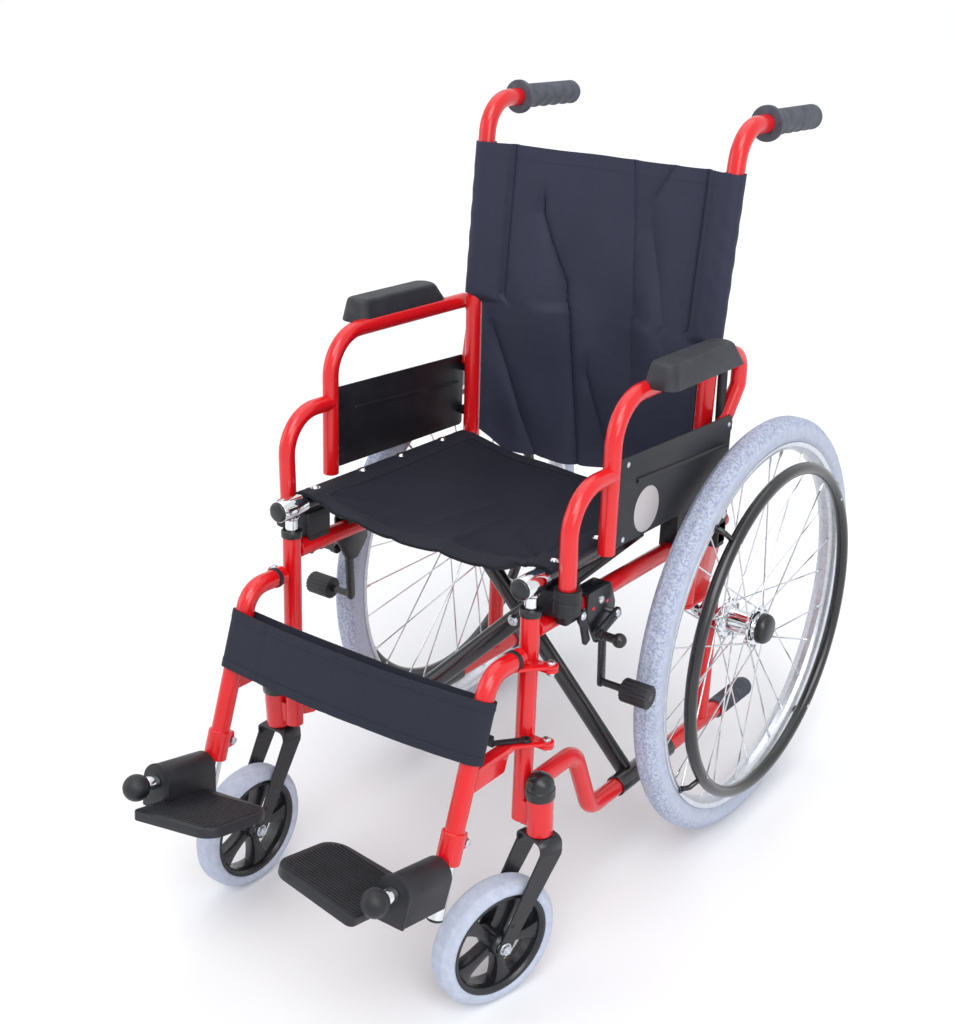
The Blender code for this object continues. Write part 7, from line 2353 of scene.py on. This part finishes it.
def camera():
    """The camera at the photo's place and angle, with the photo's lens and its small shift."""
    lens = bpy.data.cameras.new("photo_camera")
    lens.sensor_fit = "VERTICAL"
    lens.sensor_height = SENSOR
    lens.lens = FOCAL_PIXELS / PHOTO_HEIGHT * SENSOR
    lens.shift_x = (PHOTO_WIDTH / 2 - MIDDLE_X) / PHOTO_HEIGHT
    lens.shift_y = (MIDDLE_Y - PHOTO_HEIGHT / 2) / PHOTO_HEIGHT
    made = bpy.data.objects.new("photo_camera", lens)
    bpy.context.scene.collection.objects.link(made)
    made.location = CAMERA_PLACE
    made.rotation_euler = (pi / 2 - CAMERA_DROP, 0, CAMERA_AZIMUTH)
    bpy.context.scene.camera = made
    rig.stage(made)


def sun(name, place, power, angle):
    """A soft sun that shines from a place towards the middle, so that the whole floor is lit alike."""
    lamp = bpy.data.lights.new(name, "SUN")
    lamp.energy = power
    lamp.angle = radians(angle)
    made = bpy.data.objects.new(name, lamp)
    bpy.context.scene.collection.objects.link(made)
    made.rotation_euler = (-Vector(place)).to_track_quat("-Z", "Y").to_euler()
    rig.stage(made)


def studio():
    """The stage: floor, surround, two soft suns, two softboxes for the highlights, and the camera."""
    floor()
    world()
    sun("key_sun", (0.9, -1.3, 2.2), 1.35, 40)
    sun("top_sun", (-0.5, 0.4, 2.6), 0.75, 60)
    middle = (0, 0, 0.45)
    light("left_box", (2.2, -1.2, 1.6), middle, 1.4, 16)
    light("right_box", (-2.2, -1.6, 1.4), middle, 1.6, 9)
    camera()
    bpy.context.scene.view_settings.view_transform = "Standard"


# Add-on


class WHEELCHAIR_PG_choices(bpy.types.PropertyGroup):
    """The sizes and colours that a user would change."""

    frame_red: bpy.props.FloatVectorProperty(
        name="Frame colour", description="Colour of the painted tubes", default=linear(
            "D81019"
        ), size=4, subtype="COLOR"
    )
    tyre_grey: bpy.props.FloatVectorProperty(
        name="Tyre colour", description="Colour of the solid tyres", default=linear(
            "B9C0D2"
        ), size=4, subtype="COLOR"
    )
    seat_sag: bpy.props.FloatProperty(
        name="Seat sag", description="How far the seat hangs between its rails", default=0.024, unit="LENGTH"
    )
    back_bow: bpy.props.FloatProperty(
        name="Back bow", description="How far the back bows rearward", default=0.022, unit="LENGTH"
    )
    back_slack: bpy.props.FloatProperty(
        name="Back slack", description="How far the back's lower edge hangs down", default=0.03, unit="LENGTH"
    )


def builder(build):
    """The operator that runs one build function and takes its words from that function."""
    label = "Build the " + build.__name__.replace("_", " ")

    def execute(self, context):
        try:
            build()
        except (RuntimeError, KeyError, ValueError) as fault:
            raise RuntimeError(f"{label}: {fault}") from fault
        return {"FINISHED"}

    name = build.__name__
    words = {
        "__doc__": build.__doc__, "bl_idname": f"wheelchair.{name}", "bl_label": label, "execute": execute,
    }
    return type(f"WHEELCHAIR_OT_{name}", (bpy.types.Operator,), words)


BUILDS = (
    front_uprights, rails, rear_uprights, canes, cross_tubes, t_joints, rear_tyres, rear_wheels,
    handrims, rear_axles, caster_wheels, caster_forks, armrests, armrest_pads, skirt_guards,
    armrest_clamps, brakes, hangers, footrest_tubes, footplates, seat, back, calf_strap, studio,
)
OPERATORS = [builder(build) for build in BUILDS]


class WHEELCHAIR_PT_panel(bpy.types.Panel):
    """The sidebar's panel: the choices, then one button for each group of pieces."""

    bl_idname = "WHEELCHAIR_PT_panel"
    bl_label = "Pediatric wheelchair"
    bl_space_type = "VIEW_3D"
    bl_region_type = "UI"
    bl_category = "Wheelchair"

    def draw(self, context):
        """Draws the choices and the buttons."""
        for name in ("frame_red", "tyre_grey", "seat_sag", "back_bow", "back_slack"):
            self.layout.prop(context.scene.wheelchair_choices, name)
        for operator in OPERATORS:
            self.layout.operator(operator.bl_idname)


CLASSES = [WHEELCHAIR_PG_choices, *OPERATORS, WHEELCHAIR_PT_panel]


def register():
    """Registers the classes and hangs the choices on the scene."""
    for each in CLASSES:
        bpy.utils.register_class(each)
    bpy.types.Scene.wheelchair_choices = bpy.props.PointerProperty(type=WHEELCHAIR_PG_choices)


def unregister():
    """Takes the choices and the classes away again."""
    del bpy.types.Scene.wheelchair_choices
    for each in reversed(CLASSES):
        bpy.utils.unregister_class(each)


def main():
    """Runs every operator in order and writes both boxes."""
    register()
    for operator in OPERATORS:
        group, name = operator.bl_idname.split(".")
        getattr(getattr(bpy.ops, group), name)()
    sizes = {
        "cad": [[float(value) for value in corner] for corner in CAD_BOX],
        "visual": [[float(value) for value in corner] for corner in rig.bounds()],
    }
    with open("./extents.json", "w") as out:
        json.dump(sizes, out)


if __name__ == "__main__":
    main()
